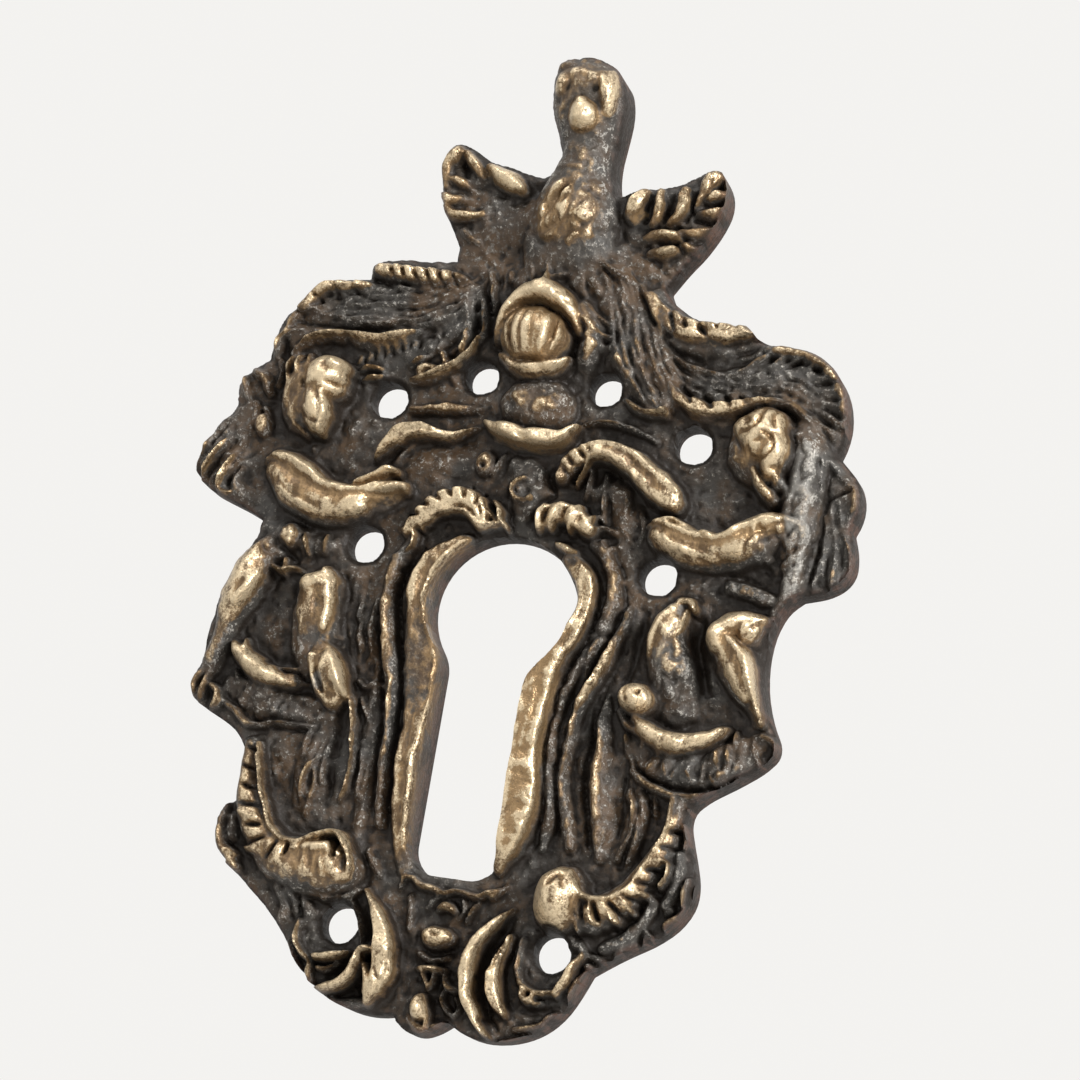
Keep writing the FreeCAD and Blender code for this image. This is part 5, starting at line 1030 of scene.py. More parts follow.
    # Inner leg, which flares to the ground
    r.form([(13.6, 1.6, 0.9, 1.7), (13.2, 0.2, 1.35, 2.6), (13.2, -1.4, 1.6, 2.5), (13.6, -3.0, 1.8, 2.0),
            (14.0, -4.6, 1.9, 1.4), (14.3, -5.6, 1.8, 0.8)], "round", 0.15, gold=-0.7)
    r.forms([
        [(13.6, 2.0, 0.35, 1.9), (14.4, 2.0, 0.4, 2.1), (14.8, 1.4, 0.3, 1.9)],
        [(14.3, 1.3, 0.2, 2.0), (14.2, 0.4, 0.3, 2.3), (14.1, -0.6, 0.22, 2.2)],
        [(13.7, 0.6, 0.25, 2.6), (13.4, -0.4, 0.3, 2.7), (13.2, -1.2, 0.2, 2.5)],
    ], "round", 0.1, gold=0.8)
    r.form([(13.2, 1.3, 0.7, 2.2), (12.5, 0.2, 0.75, 2.55), (12.2, -1.2, 0.6, 2.4), (12.1, -2.4, 0.4, 1.9)],
           "round", 0.25, gold=0.6)
    r.adds([
        [(15.2, 1.0, 0.5, -0.5), (15.2, -1.0, 0.6, -0.8), (15.8, -3.0, 0.6, -0.8), (16.6, -4.6, 0.6, -0.5)],
        [(11.0, 1.0, 0.5, -0.5), (10.9, -1.0, 0.55, -0.6), (11.0, -3.2, 0.5, -0.4)],
    ])
    r.chase(14.2, -3.2, 1.8, 2.6, 0.22, 0.26, 55, longer=1.6, heading=80)
    # Bent leg and foot
    r.form([(20.0, 1.1, 0.6, 2.0), (18.9, 1.0, 1.0, 2.8), (17.7, 0.5, 1.25, 3.2), (16.95, -0.2, 1.15, 3.2),
            (17.0, -1.0, 0.9, 2.9)], "round", 0.15, gold=0.8)
    r.form([(16.9, -0.3, 0.9, 2.7), (17.6, -1.4, 1.6, 3.2), (18.5, -2.4, 1.65, 3.3), (19.3, -3.6, 1.25, 2.9),
            (20.1, -4.8, 0.9, 2.2), (20.8, -6.2, 0.6, 1.5)], "left", 0.15, gold=0.6)
    r.boss(19.1, 0.2, 1.25, 1.3, 2.9, blend=0.3, gold=0.5)
    r.form([(17.7, -1.1, 1.3, 2.7), (18.6, -2.7, 1.45, 2.6), (19.8, -4.4, 1.0, 2.1)], "round", 0.5, gold=0.2)
    # A raised line down the bent leg's right edge, painted golden as a highlight
    r.adds([
        [(19.2, -1.2, 0.3, 0.2), (20.0, -2.8, 0.3, 0.35), (20.3, -4.2, 0.26, 0.4), (20.8, -5.8, 0.22, 0.35)],
    ], gold=1)
    r.adds([
        [(19.8, 0.6, 0.25, -0.3), (19.2, -0.2, 0.3, -0.45)],
        [(19.1, -0.9, 0.2, -0.3), (19.7, -1.6, 0.2, -0.25)],
        [(20.4, 0.0, 0.3, -0.25), (20.3, -1.4, 0.3, -0.2)],
    ])
    r.dots([(19.6, 0.4, 0.22, -0.3), (19.0, -0.8, 0.25, 0.3), (20.0, -2.1, 0.2, -0.25),
            (20.4, -2.6, 0.2, -0.2), (20.9, 0.6, 0.3, 0.25), (20.6, -0.6, 0.25, 0.2),
            (21.0, -6.4, 0.35, 0.4)])
    r.forms([
        [(20.9, -5.0, 0.25, 1.0), (21.4, -5.9, 0.25, 1.2)],
        [(21.2, -7.2, 0.3, 1.3), (22.1, -7.6, 0.34, 1.6), (22.3, -8.5, 0.3, 1.4), (21.8, -9.1, 0.25, 1.2)],
        [(20.6, -7.6, 0.3, 1.1), (20.8, -8.6, 0.32, 1.3), (21.2, -9.4, 0.26, 1.1)],
        [(19.7, -7.6, 0.3, 1.0), (19.8, -8.8, 0.32, 1.2), (20.2, -9.7, 0.25, 1.0)],
    ], "roof", 0.07)


def carve_scrolls(r):
    """The C-scrolls, the gadrooned scrolls over the keyhole, the star plate and the boss between them."""
    r.form([(-9.4, 9.6, 1.6, 0.5), (-7.4, 10.6, 2.0, 0.7), (-5.2, 11.0, 1.4, 0.5)], "bell", 0.3)
    # Left C-scroll: a brown band with a bright lower edge
    r.form([(-11.7, 10.3, 0.22, 1.3), (-11.0, 11.4, 0.6, 2.0), (-9.8, 12.35, 0.85, 2.4),
            (-8.4, 12.75, 0.75, 2.5), (-7.1, 12.7, 0.55, 2.4), (-6.0, 12.75, 0.4, 2.0),
            (-4.8, 13.3, 0.25, 1.4), (-4.2, 13.6, 0.15, 0.9)], "flat", 0.12, gold=0.1)
    r.adds([
        [(-10.3, 10.4, 0.22, 0.4), (-9.6, 11.3, 0.26, 0.55), (-8.6, 11.9, 0.26, 0.55),
         (-7.4, 12.3, 0.22, 0.45), (-6.0, 12.4, 0.18, 0.3)],
        [(-11.6, 10.6, 0.18, 0.3), (-10.7, 12.0, 0.2, 0.35), (-9.3, 13.1, 0.2, 0.35), (-7.7, 13.2, 0.18, 0.3),
         (-7.1, 12.9, 0.15, 0.2)],
        [(-10.8, 11.0, 0.18, -0.3), (-9.6, 12.1, 0.22, -0.35), (-8.2, 12.6, 0.2, -0.3),
         (-7.0, 12.6, 0.15, -0.2)],
    ])
    # Right C-scroll: a broad band with raised edges and a ribbed inner end
    r.form([(3.0, 10.4, 0.6, 1.6), (3.6, 11.5, 0.95, 2.2), (4.8, 12.3, 1.0, 2.6), (6.4, 12.6, 1.0, 2.8),
            (8.2, 12.1, 1.15, 2.9), (9.9, 11.0, 1.35, 2.9), (11.2, 9.9, 1.3, 2.6), (12.2, 9.1, 0.85, 2.1)],
           "flat", 0.12, gold=0.2)
    r.adds([
        [(4.6, 13.2, 0.2, 0.3), (6.6, 13.5, 0.22, 0.35), (8.6, 13.1, 0.22, 0.4), (10.6, 11.9, 0.24, 0.5),
         (12.1, 10.2, 0.22, 0.5), (12.9, 9.4, 0.18, 0.35)],
        [(5.9, 11.9, 0.22, 0.3), (7.6, 11.4, 0.24, 0.35), (9.1, 10.3, 0.24, 0.35), (10.3, 9.0, 0.22, 0.35),
         (11.4, 8.7, 0.2, 0.3), (12.4, 9.0, 0.18, 0.3)],
        [(5.2, 12.8, 0.4, -0.2), (7.2, 12.6, 0.45, -0.3), (9.2, 11.6, 0.5, -0.35), (11.0, 10.1, 0.5, -0.3)],
        [(7.0, 12.1, 0.15, -0.15), (9.0, 11.0, 0.18, -0.2), (10.4, 9.7, 0.15, -0.15)],
        [(2.4, 11.0, 0.2, 0.3), (3.0, 10.2, 0.2, 0.4), (4.1, 9.9, 0.18, 0.3)],
        [(2.9, 11.3, 0.2, -0.5), (3.6, 10.5, 0.22, -0.6), (4.2, 10.3, 0.16, -0.4)],
        [(3.3, 12.0, 0.2, -0.5), (4.0, 11.2, 0.24, -0.7), (4.5, 10.9, 0.16, -0.5)],
        [(4.0, 12.7, 0.2, -0.5), (4.6, 12.0, 0.24, -0.7), (5.0, 11.6, 0.16, -0.4)],
        [(4.5, 13.1, 0.16, -0.3), (5.0, 12.5, 0.2, -0.5), (5.4, 12.2, 0.14, -0.3)],
    ])
    r.tints([
        [(2.8, 10.8, 0.8, -0.3), (3.6, 11.6, 1.0, -0.3), (4.6, 12.3, 0.8, 0.0)],
        [(6.2, 12.3, 0.8, -0.1), (8.4, 11.6, 0.9, -0.2), (10.2, 10.3, 1.0, -0.1)],
    ])
    r.form([(4.1, 9.9, 0.12, 2.2), (4.75, 11.2, 0.18, 3.1), (5.6, 12.5, 0.12, 3.0)], "roof", 0.05, gold=1)
    # Leafy ground under the right C-scroll
    r.form([(5.6, 9.6, 1.0, 0.8), (7.4, 9.8, 1.6, 1.1), (8.4, 7.6, 1.4, 0.8), (8.6, 5.2, 1.0, 0.5)], "bell",
           0.3)
    r.forms([
        [(5.1, 11.2, 0.25, 1.2), (5.1, 10.0, 0.35, 1.6), (4.8, 9.2, 0.25, 1.1)],
        [(6.3, 11.0, 0.25, 1.2), (6.5, 9.6, 0.35, 1.6), (6.6, 8.4, 0.3, 1.5), (6.8, 7.8, 0.2, 1.0)],
        [(7.3, 10.9, 0.2, 1.1), (7.2, 9.6, 0.3, 1.4), (7.4, 8.6, 0.22, 1.1)],
        [(8.3, 10.0, 0.25, 1.1), (8.4, 8.9, 0.35, 1.6), (8.3, 8.0, 0.25, 1.1)],
        [(8.0, 7.4, 0.25, 0.9), (8.7, 6.4, 0.3, 1.2), (9.4, 5.9, 0.22, 0.9)],
        [(9.4, 8.4, 0.3, 0.8), (9.8, 7.2, 0.35, 1.0), (9.5, 6.2, 0.25, 0.8)],
    ], "roof", 0.1)
    r.dots([(5.4, 9.6, 0.3, 0.3), (6.6, 8.3, 0.25, 0.35), (8.5, 9.2, 0.25, 0.35), (8.3, 5.6, 0.35, 0.5),
            (7.1, 5.2, 0.35, 0.4), (9.6, 5.4, 0.3, 0.3), (8.9, 4.4, 0.3, 0.3), (8.2, 3.4, 0.35, 0.4),
            (8.9, 3.1, 0.3, 0.4), (8.6, 2.3, 0.25, 0.3), (9.3, 6.9, 0.25, 0.3)])
    # Left gadrooned scroll: a band whose outer half is cut into blunt lobes
    r.form([(-8.2, 4.9, 0.55, 1.5), (-7.5, 6.0, 0.9, 2.0), (-6.5, 7.1, 1.05, 2.3), (-5.3, 7.75, 1.1, 2.45),
            (-4.1, 7.9, 1.1, 2.5), (-3.1, 7.5, 1.05, 2.4), (-2.5, 6.8, 0.75, 2.1), (-2.2, 6.2, 0.5, 1.8)],
           "flat", 0.12, gold=0.45)
    for x, z, dx, dz in ((-7.7, 6.35, -0.8, 0.1), (-6.95, 7.1, -0.75, 0.2), (-6.1, 7.75, -0.65, 0.45),
                         (-5.05, 8.2, -0.45, 0.7), (-3.95, 8.15, -0.15, 0.85), (-2.95, 7.75, 0.05, 0.9)):
        r.add([(x - 0.5 * dx, z - 0.5 * dz, 0.12, -0.5), (x + 0.2 * dx, z + 0.2 * dz, 0.22, -1.3),
               (x + 0.9 * dx, z + 0.9 * dz, 0.24, -1.2)])
    r.add([(-3.0, 7.6, 0.1, -0.3), (-2.55, 6.9, 0.14, -0.6), (-2.4, 6.4, 0.1, -0.3)])
    r.form([(-6.8, 5.6, 0.2, 1.9), (-6.0, 6.5, 0.26, 2.3), (-4.9, 6.95, 0.28, 2.4), (-3.9, 6.85, 0.3, 2.4),
            (-3.2, 6.4, 0.36, 2.3), (-2.5, 5.9, 0.4, 2.1), (-1.2, 6.2, 0.3, 1.9)], "round", 0.12, gold=0.6)
    r.form([(-1.75, 8.0, 0.2, 1.6), (-1.1, 7.4, 0.34, 2.1), (-0.95, 6.6, 0.34, 2.1), (-0.4, 6.0, 0.22, 1.8)],
           "round", 0.08, gold=0.7)
    r.form([(-2.2, 7.2, 0.25, 1.7), (-1.7, 6.8, 0.3, 1.8), (-1.4, 6.4, 0.25, 1.6)], "round", 0.12, gold=0.3)
    r.forms([
        [(-6.9, 6.0, 0.14, 2.2), (-7.1, 5.5, 0.18, 2.2), (-7.0, 5.1, 0.14, 1.8)],
        [(-8.0, 5.0, 0.2, 1.4), (-7.5, 4.6, 0.22, 1.8), (-7.6, 3.9, 0.2, 1.7), (-8.1, 3.4, 0.16, 1.3)],
    ], "round", 0.06, gold=0.9)
    # Hooks and ticks down the left side
    r.forms([
        [(-8.8, 5.1, 0.25, 1.0), (-8.0, 5.1, 0.35, 1.4), (-7.5, 4.7, 0.3, 1.5), (-7.5, 4.0, 0.25, 1.3),
         (-8.0, 3.5, 0.16, 0.9)],
        [(-9.1, 3.1, 0.16, 0.8), (-8.4, 3.35, 0.22, 1.1), (-7.8, 3.6, 0.16, 0.9)],
        [(-9.1, 2.1, 0.16, 0.8), (-8.6, 2.35, 0.22, 1.1), (-8.1, 2.7, 0.16, 0.9)],
        [(-7.0, 5.6, 0.18, 1.1), (-6.6, 6.0, 0.2, 1.3)], [(-8.3, 1.9, 0.14, 0.8), (-8.5, 1.3, 0.16, 0.9)],
    ], "round", 0.06)
    # Right gadrooned scroll
    r.form([(2.0, 6.4, 0.6, 1.7), (2.6, 7.3, 1.0, 2.1), (3.8, 7.6, 1.1, 2.4), (5.0, 7.2, 1.0, 2.3),
            (5.9, 6.5, 0.75, 1.9)], "flat", 0.12, gold=0.3)
    r.forms([
        [(1.8, 6.2, 0.25, 1.9), (1.85, 7.2, 0.34, 2.2), (2.3, 8.1, 0.3, 2.0)],
        [(2.9, 6.4, 0.4, 2.3), (3.05, 7.4, 0.55, 2.7), (3.5, 8.3, 0.4, 2.2)],
        [(4.3, 6.5, 0.4, 2.3), (4.45, 7.4, 0.55, 2.75), (4.8, 8.2, 0.4, 2.2)],
        [(5.4, 6.4, 0.34, 2.2), (5.8, 7.0, 0.42, 2.4), (6.1, 7.6, 0.3, 1.9)],
    ], "round", 0.12, gold=0.8)
    r.adds([
        [(2.35, 6.3, 0.14, -0.4), (2.4, 7.2, 0.18, -0.8), (2.8, 8.1, 0.16, -0.5)],
        [(3.65, 6.5, 0.12, -0.4), (3.75, 7.4, 0.16, -0.7), (4.1, 8.2, 0.14, -0.5)],
        [(5.0, 6.8, 0.12, -0.3), (5.2, 7.5, 0.16, -0.5)],
    ])
    r.form([(3.4, 5.3, 0.2, 1.6), (4.2, 5.1, 0.34, 2.2), (5.0, 4.9, 0.2, 1.7)], "round", 0.08, gold=1)
    r.forms([
        [(6.2, 6.4, 0.22, 1.1), (6.9, 6.9, 0.28, 1.4), (7.8, 6.6, 0.2, 1.0)],
        [(6.3, 7.9, 0.2, 0.9), (6.8, 7.5, 0.22, 1.1)],
        [(6.9, 5.8, 0.3, 0.9), (7.3, 5.0, 0.35, 1.1), (7.8, 5.4, 0.25, 0.9)],
    ], "round", 0.08)
    # Star plate with a ring, and the small boss
    r.form([(-0.9, 11.5, 0.5, 0.5), (0.4, 10.2, 1.6, 0.9), (0.5, 8.6, 1.3, 0.8), (0.2, 7.2, 0.6, 0.5)],
           "flat", 0.25)
    r.boss(0.3, 9.1, 1.0, 1.0, 1.3, blend=0.06, power=0.3)
    r.dots([(0.5, 9.2, 0.5, -0.5), (-0.05, 9.2, 0.35, 0.35), (0.9, 8.7, 0.3, 0.4)])
    r.adds([
        [(-1.2, 11.6, 0.2, 0.3), (-1.3, 10.8, 0.2, 0.3)], [(1.3, 10.9, 0.2, 0.25), (1.4, 10.2, 0.2, 0.25)],
        [(-1.0, 9.8, 0.25, -0.35), (-0.9, 8.6, 0.25, -0.35)],
        [(2.2, 11.2, 0.3, -0.5), (1.9, 10.4, 0.3, -0.5), (2.5, 9.2, 0.3, -0.5), (1.5, 8.4, 0.3, -0.5),
         (1.2, 7.2, 0.3, -0.5)],
    ])
    r.boss(-3.15, 10.95, 0.75, 1.0, 1.7, turn=-12, blend=0.06, gold=-0.3)
    r.dots([(-3.2, 10.7, 0.38, -1.1), (-3.05, 11.8, 0.28, 0.3)])
    r.form([(0.75, 9.9, 0.16, 1.4), (0.3, 10.05, 0.24, 1.7), (-0.35, 9.75, 0.24, 1.7), (-0.6, 9.2, 0.24, 1.7),
            (-0.35, 8.6, 0.24, 1.7), (0.3, 8.35, 0.24, 1.7), (0.8, 8.5, 0.2, 1.6)], "round", 0.06)
    r.dots([(0.9, 8.55, 0.28, 0.5)], gold=1)
    r.form([(-2.5, 10.2, 0.18, 0.8), (-2.1, 11.0, 0.22, 1.0), (-1.9, 11.8, 0.16, 0.8)], "round", 0.08)


def carve_baskets(r):
    """The boat-shaped crescents, the hatched baskets below the figures, and the knob."""
    r.form([(-20.0, -8.2, 0.9, 0.5), (-17.6, -8.9, 1.5, 0.9), (-14.6, -9.2, 1.5, 0.9),
            (-12.0, -9.4, 1.0, 0.6)], "flat", 0.3)
    r.form([(11.8, -8.9, 0.9, 0.6), (13.6, -10.0, 1.4, 1.0), (16.2, -10.3, 1.5, 1.1), (19.0, -9.2, 1.7, 1.0),
            (20.9, -7.8, 0.9, 0.6)], "flat", 0.3)
    # Left boat with its ragged top
    r.form([(-19.2, -4.9, 0.5, 1.8), (-19.3, -5.6, 0.7, 2.4), (-18.5, -6.5, 0.8, 2.6),
            (-17.3, -7.0, 0.7, 2.5), (-16.0, -7.3, 0.6, 2.3), (-14.8, -7.5, 0.45, 1.8),
            (-13.9, -7.5, 0.22, 1.2)], "left", 0.08, gold=0.3)
    r.forms([
        [(-18.6, -5.7, 0.2, 2.0), (-18.1, -6.0, 0.25, 2.3), (-17.5, -6.1, 0.2, 2.0)],
        [(-17.7, -6.3, 0.2, 2.0), (-16.9, -6.5, 0.24, 2.3), (-16.2, -6.6, 0.18, 1.9)],
        [(-16.6, -6.6, 0.2, 1.9), (-15.5, -6.6, 0.24, 2.2), (-14.4, -6.6, 0.16, 1.6)],
        [(-16.0, -7.0, 0.2, 2.0), (-15.2, -7.0, 0.22, 2.1), (-14.6, -7.1, 0.16, 1.7)],
    ], "roof", 0.05, gold=0.5)
    r.adds([
        [(-19.4, -5.3, 0.2, -0.25), (-18.6, -6.1, 0.2, -0.3), (-17.6, -6.6, 0.18, -0.35)],
        [(-16.9, -6.9, 0.16, -0.3), (-15.4, -6.85, 0.16, -0.35)],
        [(-19.1, -6.6, 0.35, 0.15), (-17.4, -7.6, 0.35, 0.15), (-15.4, -7.9, 0.3, 0.1)],
    ])
    # Right knob and boat with two lines
    r.boss(11.7, -5.7, 1.6, 1.35, 3.3, turn=-20, blend=0.1, power=0.42, gold=0.3)
    r.adds([
        [(11.0, -5.6, 0.16, -0.35), (11.1, -6.1, 0.16, -0.35)],
        [(12.1, -5.2, 0.14, -0.3), (12.3, -5.9, 0.18, -0.35), (12.6, -6.9, 0.14, -0.25)],
    ])
    r.dots([(12.0, -5.4, 0.3, -0.8), (11.0, -5.4, 0.3, -0.8), (11.2, -6.0, 0.22, -0.5),
            (13.0, -6.4, 0.3, 0.2), (12.3, -4.8, 0.25, 0.2), (12.1, -6.6, 0.2, -0.3)])
    r.form([(10.4, -6.6, 0.3, 1.2), (11.3, -7.5, 0.55, 1.6), (12.6, -8.0, 0.75, 2.0), (13.7, -8.3, 0.9, 2.4),
            (14.9, -8.5, 1.0, 2.6), (16.2, -8.3, 0.95, 2.6), (17.4, -7.7, 0.75, 2.5), (18.4, -7.0, 0.4, 2.0)],
           "right", 0.1, gold=0.3)
    r.adds([
        [(13.2, -7.9, 0.16, 0.2), (14.8, -8.0, 0.18, 0.3), (16.4, -7.8, 0.18, 0.3), (18.2, -6.9, 0.18, 0.3)],
        [(13.9, -8.4, 0.14, -0.3), (15.2, -8.6, 0.16, -0.35), (16.6, -8.2, 0.16, -0.3),
         (17.9, -7.4, 0.14, -0.25)],
        [(17.6, -8.4, 0.22, 0.4), (18.2, -7.9, 0.2, 0.35)],
    ])
    # Basket rims
    r.form([(-20.3, -9.6, 0.22, 1.0), (-19.5, -10.0, 0.32, 1.4), (-18.6, -10.8, 0.3, 1.4),
            (-17.6, -11.0, 0.28, 1.3), (-16.2, -10.8, 0.22, 1.1), (-14.4, -10.7, 0.18, 1.0),
            (-12.9, -10.6, 0.14, 0.8)], "round", 0.08)
    r.adds([[(-17.9, -10.6, 0.2, -0.3), (-15.5, -11.1, 0.18, -0.35), (-13.2, -10.9, 0.16, -0.3)]])
    r.form([(11.9, -10.9, 0.25, 1.0), (13.2, -11.7, 0.35, 1.5), (14.8, -12.2, 0.38, 1.6),
            (16.6, -12.2, 0.36, 1.5), (18.0, -11.9, 0.34, 1.6), (19.4, -11.1, 0.34, 1.6),
            (20.6, -10.3, 0.28, 1.3)], "round", 0.08)
    r.adds([
        [(12.6, -10.9, 0.2, -0.3), (14.4, -11.6, 0.22, -0.4), (16.6, -11.7, 0.22, -0.4),
         (18.4, -11.2, 0.2, -0.3)],
    ])
    # Slanted leaves woven across the baskets
    for x, z, lean, length in ((-19.6, -7.6, 0.2, 0.7), (-18.6, -8.4, -0.1, 0.9), (-17.7, -8.9, -0.2, 0.9),
                               (-16.6, -9.3, -0.25, 0.9), (-15.4, -9.3, -0.3, 0.8), (-14.3, -9.0, -0.2, 0.8),
                               (-19.0, -9.4, 0.25, 0.5), (-12.6, -9.6, 0.1, 0.6), (-17.0, -8.2, 0.1, 0.4)):
        r.form([(x - lean, z + 0.7 * length, 0.16, 1.0), (x, z, 0.26, 1.45),
                (x + lean, z - 0.7 * length, 0.16, 1.0)], "roof", 0.1)
    for x, z, lean, length in ((12.6, -8.8, -0.1, 0.7), (11.2, -8.7, 0.1, 0.6), (13.4, -10.4, -0.35, 0.8),
                               (14.5, -10.5, 0.2, 1.0), (15.2, -10.6, -0.25, 0.9), (16.2, -10.6, 0.4, 0.9),
                               (17.2, -10.2, -0.1, 1.0), (18.2, -9.4, 0.1, 1.2), (18.9, -8.9, 0.15, 1.2),
                               (19.2, -7.6, 0.1, 0.8), (17.9, -10.6, 0.3, 0.6)):
        r.form([(x - lean, z + 0.7 * length, 0.16, 1.3), (x, z, 0.28, 1.8),
                (x + lean, z - 0.7 * length, 0.16, 1.3)], "roof", 0.08, gold=0.7)
    r.dots([(18.4, -10.3, 0.4, 0.5), (18.0, -8.9, 0.3, 0.4), (16.4, -10.3, 0.2, 0.3),
            (14.7, -10.5, 0.2, 0.3)])
    r.form([(-20.0, -5.2, 0.45, 1.8), (-19.3, -6.0, 0.85, 2.5), (-17.9, -6.9, 1.05, 2.75),
            (-16.4, -7.4, 0.85, 2.5), (-14.8, -7.6, 0.35, 1.9)], "round", 0.2, gold=0.4)
    r.form([(11.8, -7.1, 0.5, 1.9), (13.0, -8.1, 0.9, 2.6), (14.8, -8.6, 1.0, 2.85), (16.5, -8.2, 0.9, 2.75),
            (18.2, -7.3, 0.5, 2.2)], "round", 0.2, gold=0.3)
    r.adds([
        [(-19.0, -5.5, 0.16, -0.3), (-18.3, -6.0, 0.2, -0.45)],
        [(-17.4, -6.2, 0.14, -0.3), (-16.9, -6.7, 0.18, -0.45)],
        [(-15.9, -6.8, 0.14, -0.3), (-15.5, -7.2, 0.16, -0.4)],
        [(13.8, -7.6, 0.14, -0.25), (15.2, -7.8, 0.16, -0.3), (16.6, -7.4, 0.14, -0.25)],
    ])
    r.chase(-16.4, -9.0, 4.2, 1.9, 0.25, 0.2, 56, longer=1.5, heading=40)
    r.chase(16.2, -10.0, 5.0, 2.2, 0.26, 0.26, 57, longer=1.8, heading=60)
    # Panels under the baskets
    r.adds([
        [(-18.9, -2.6, 0.4, 0.2), (-18.7, -3.4, 0.3, 0.2)],
        [(-17.6, -3.0, 0.3, 0.15), (-17.0, -4.6, 0.3, 0.2)],
        [(-16.6, -3.0, 0.3, 0.15), (-16.0, -4.4, 0.3, 0.2)],
    ])
    r.dots([(15.0, -5.5, 0.35, 0.35), (16.9, -5.0, 0.45, 0.35), (17.6, -5.4, 0.4, 0.3),
            (16.4, -5.6, 0.3, 0.3), (12.0, -3.4, 0.3, 0.35), (11.6, -2.8, 0.3, 0.3), (11.8, -4.2, 0.3, 0.3),
            (13.8, -3.0, 0.3, 0.25), (14.4, -5.0, 0.3, 0.25)])


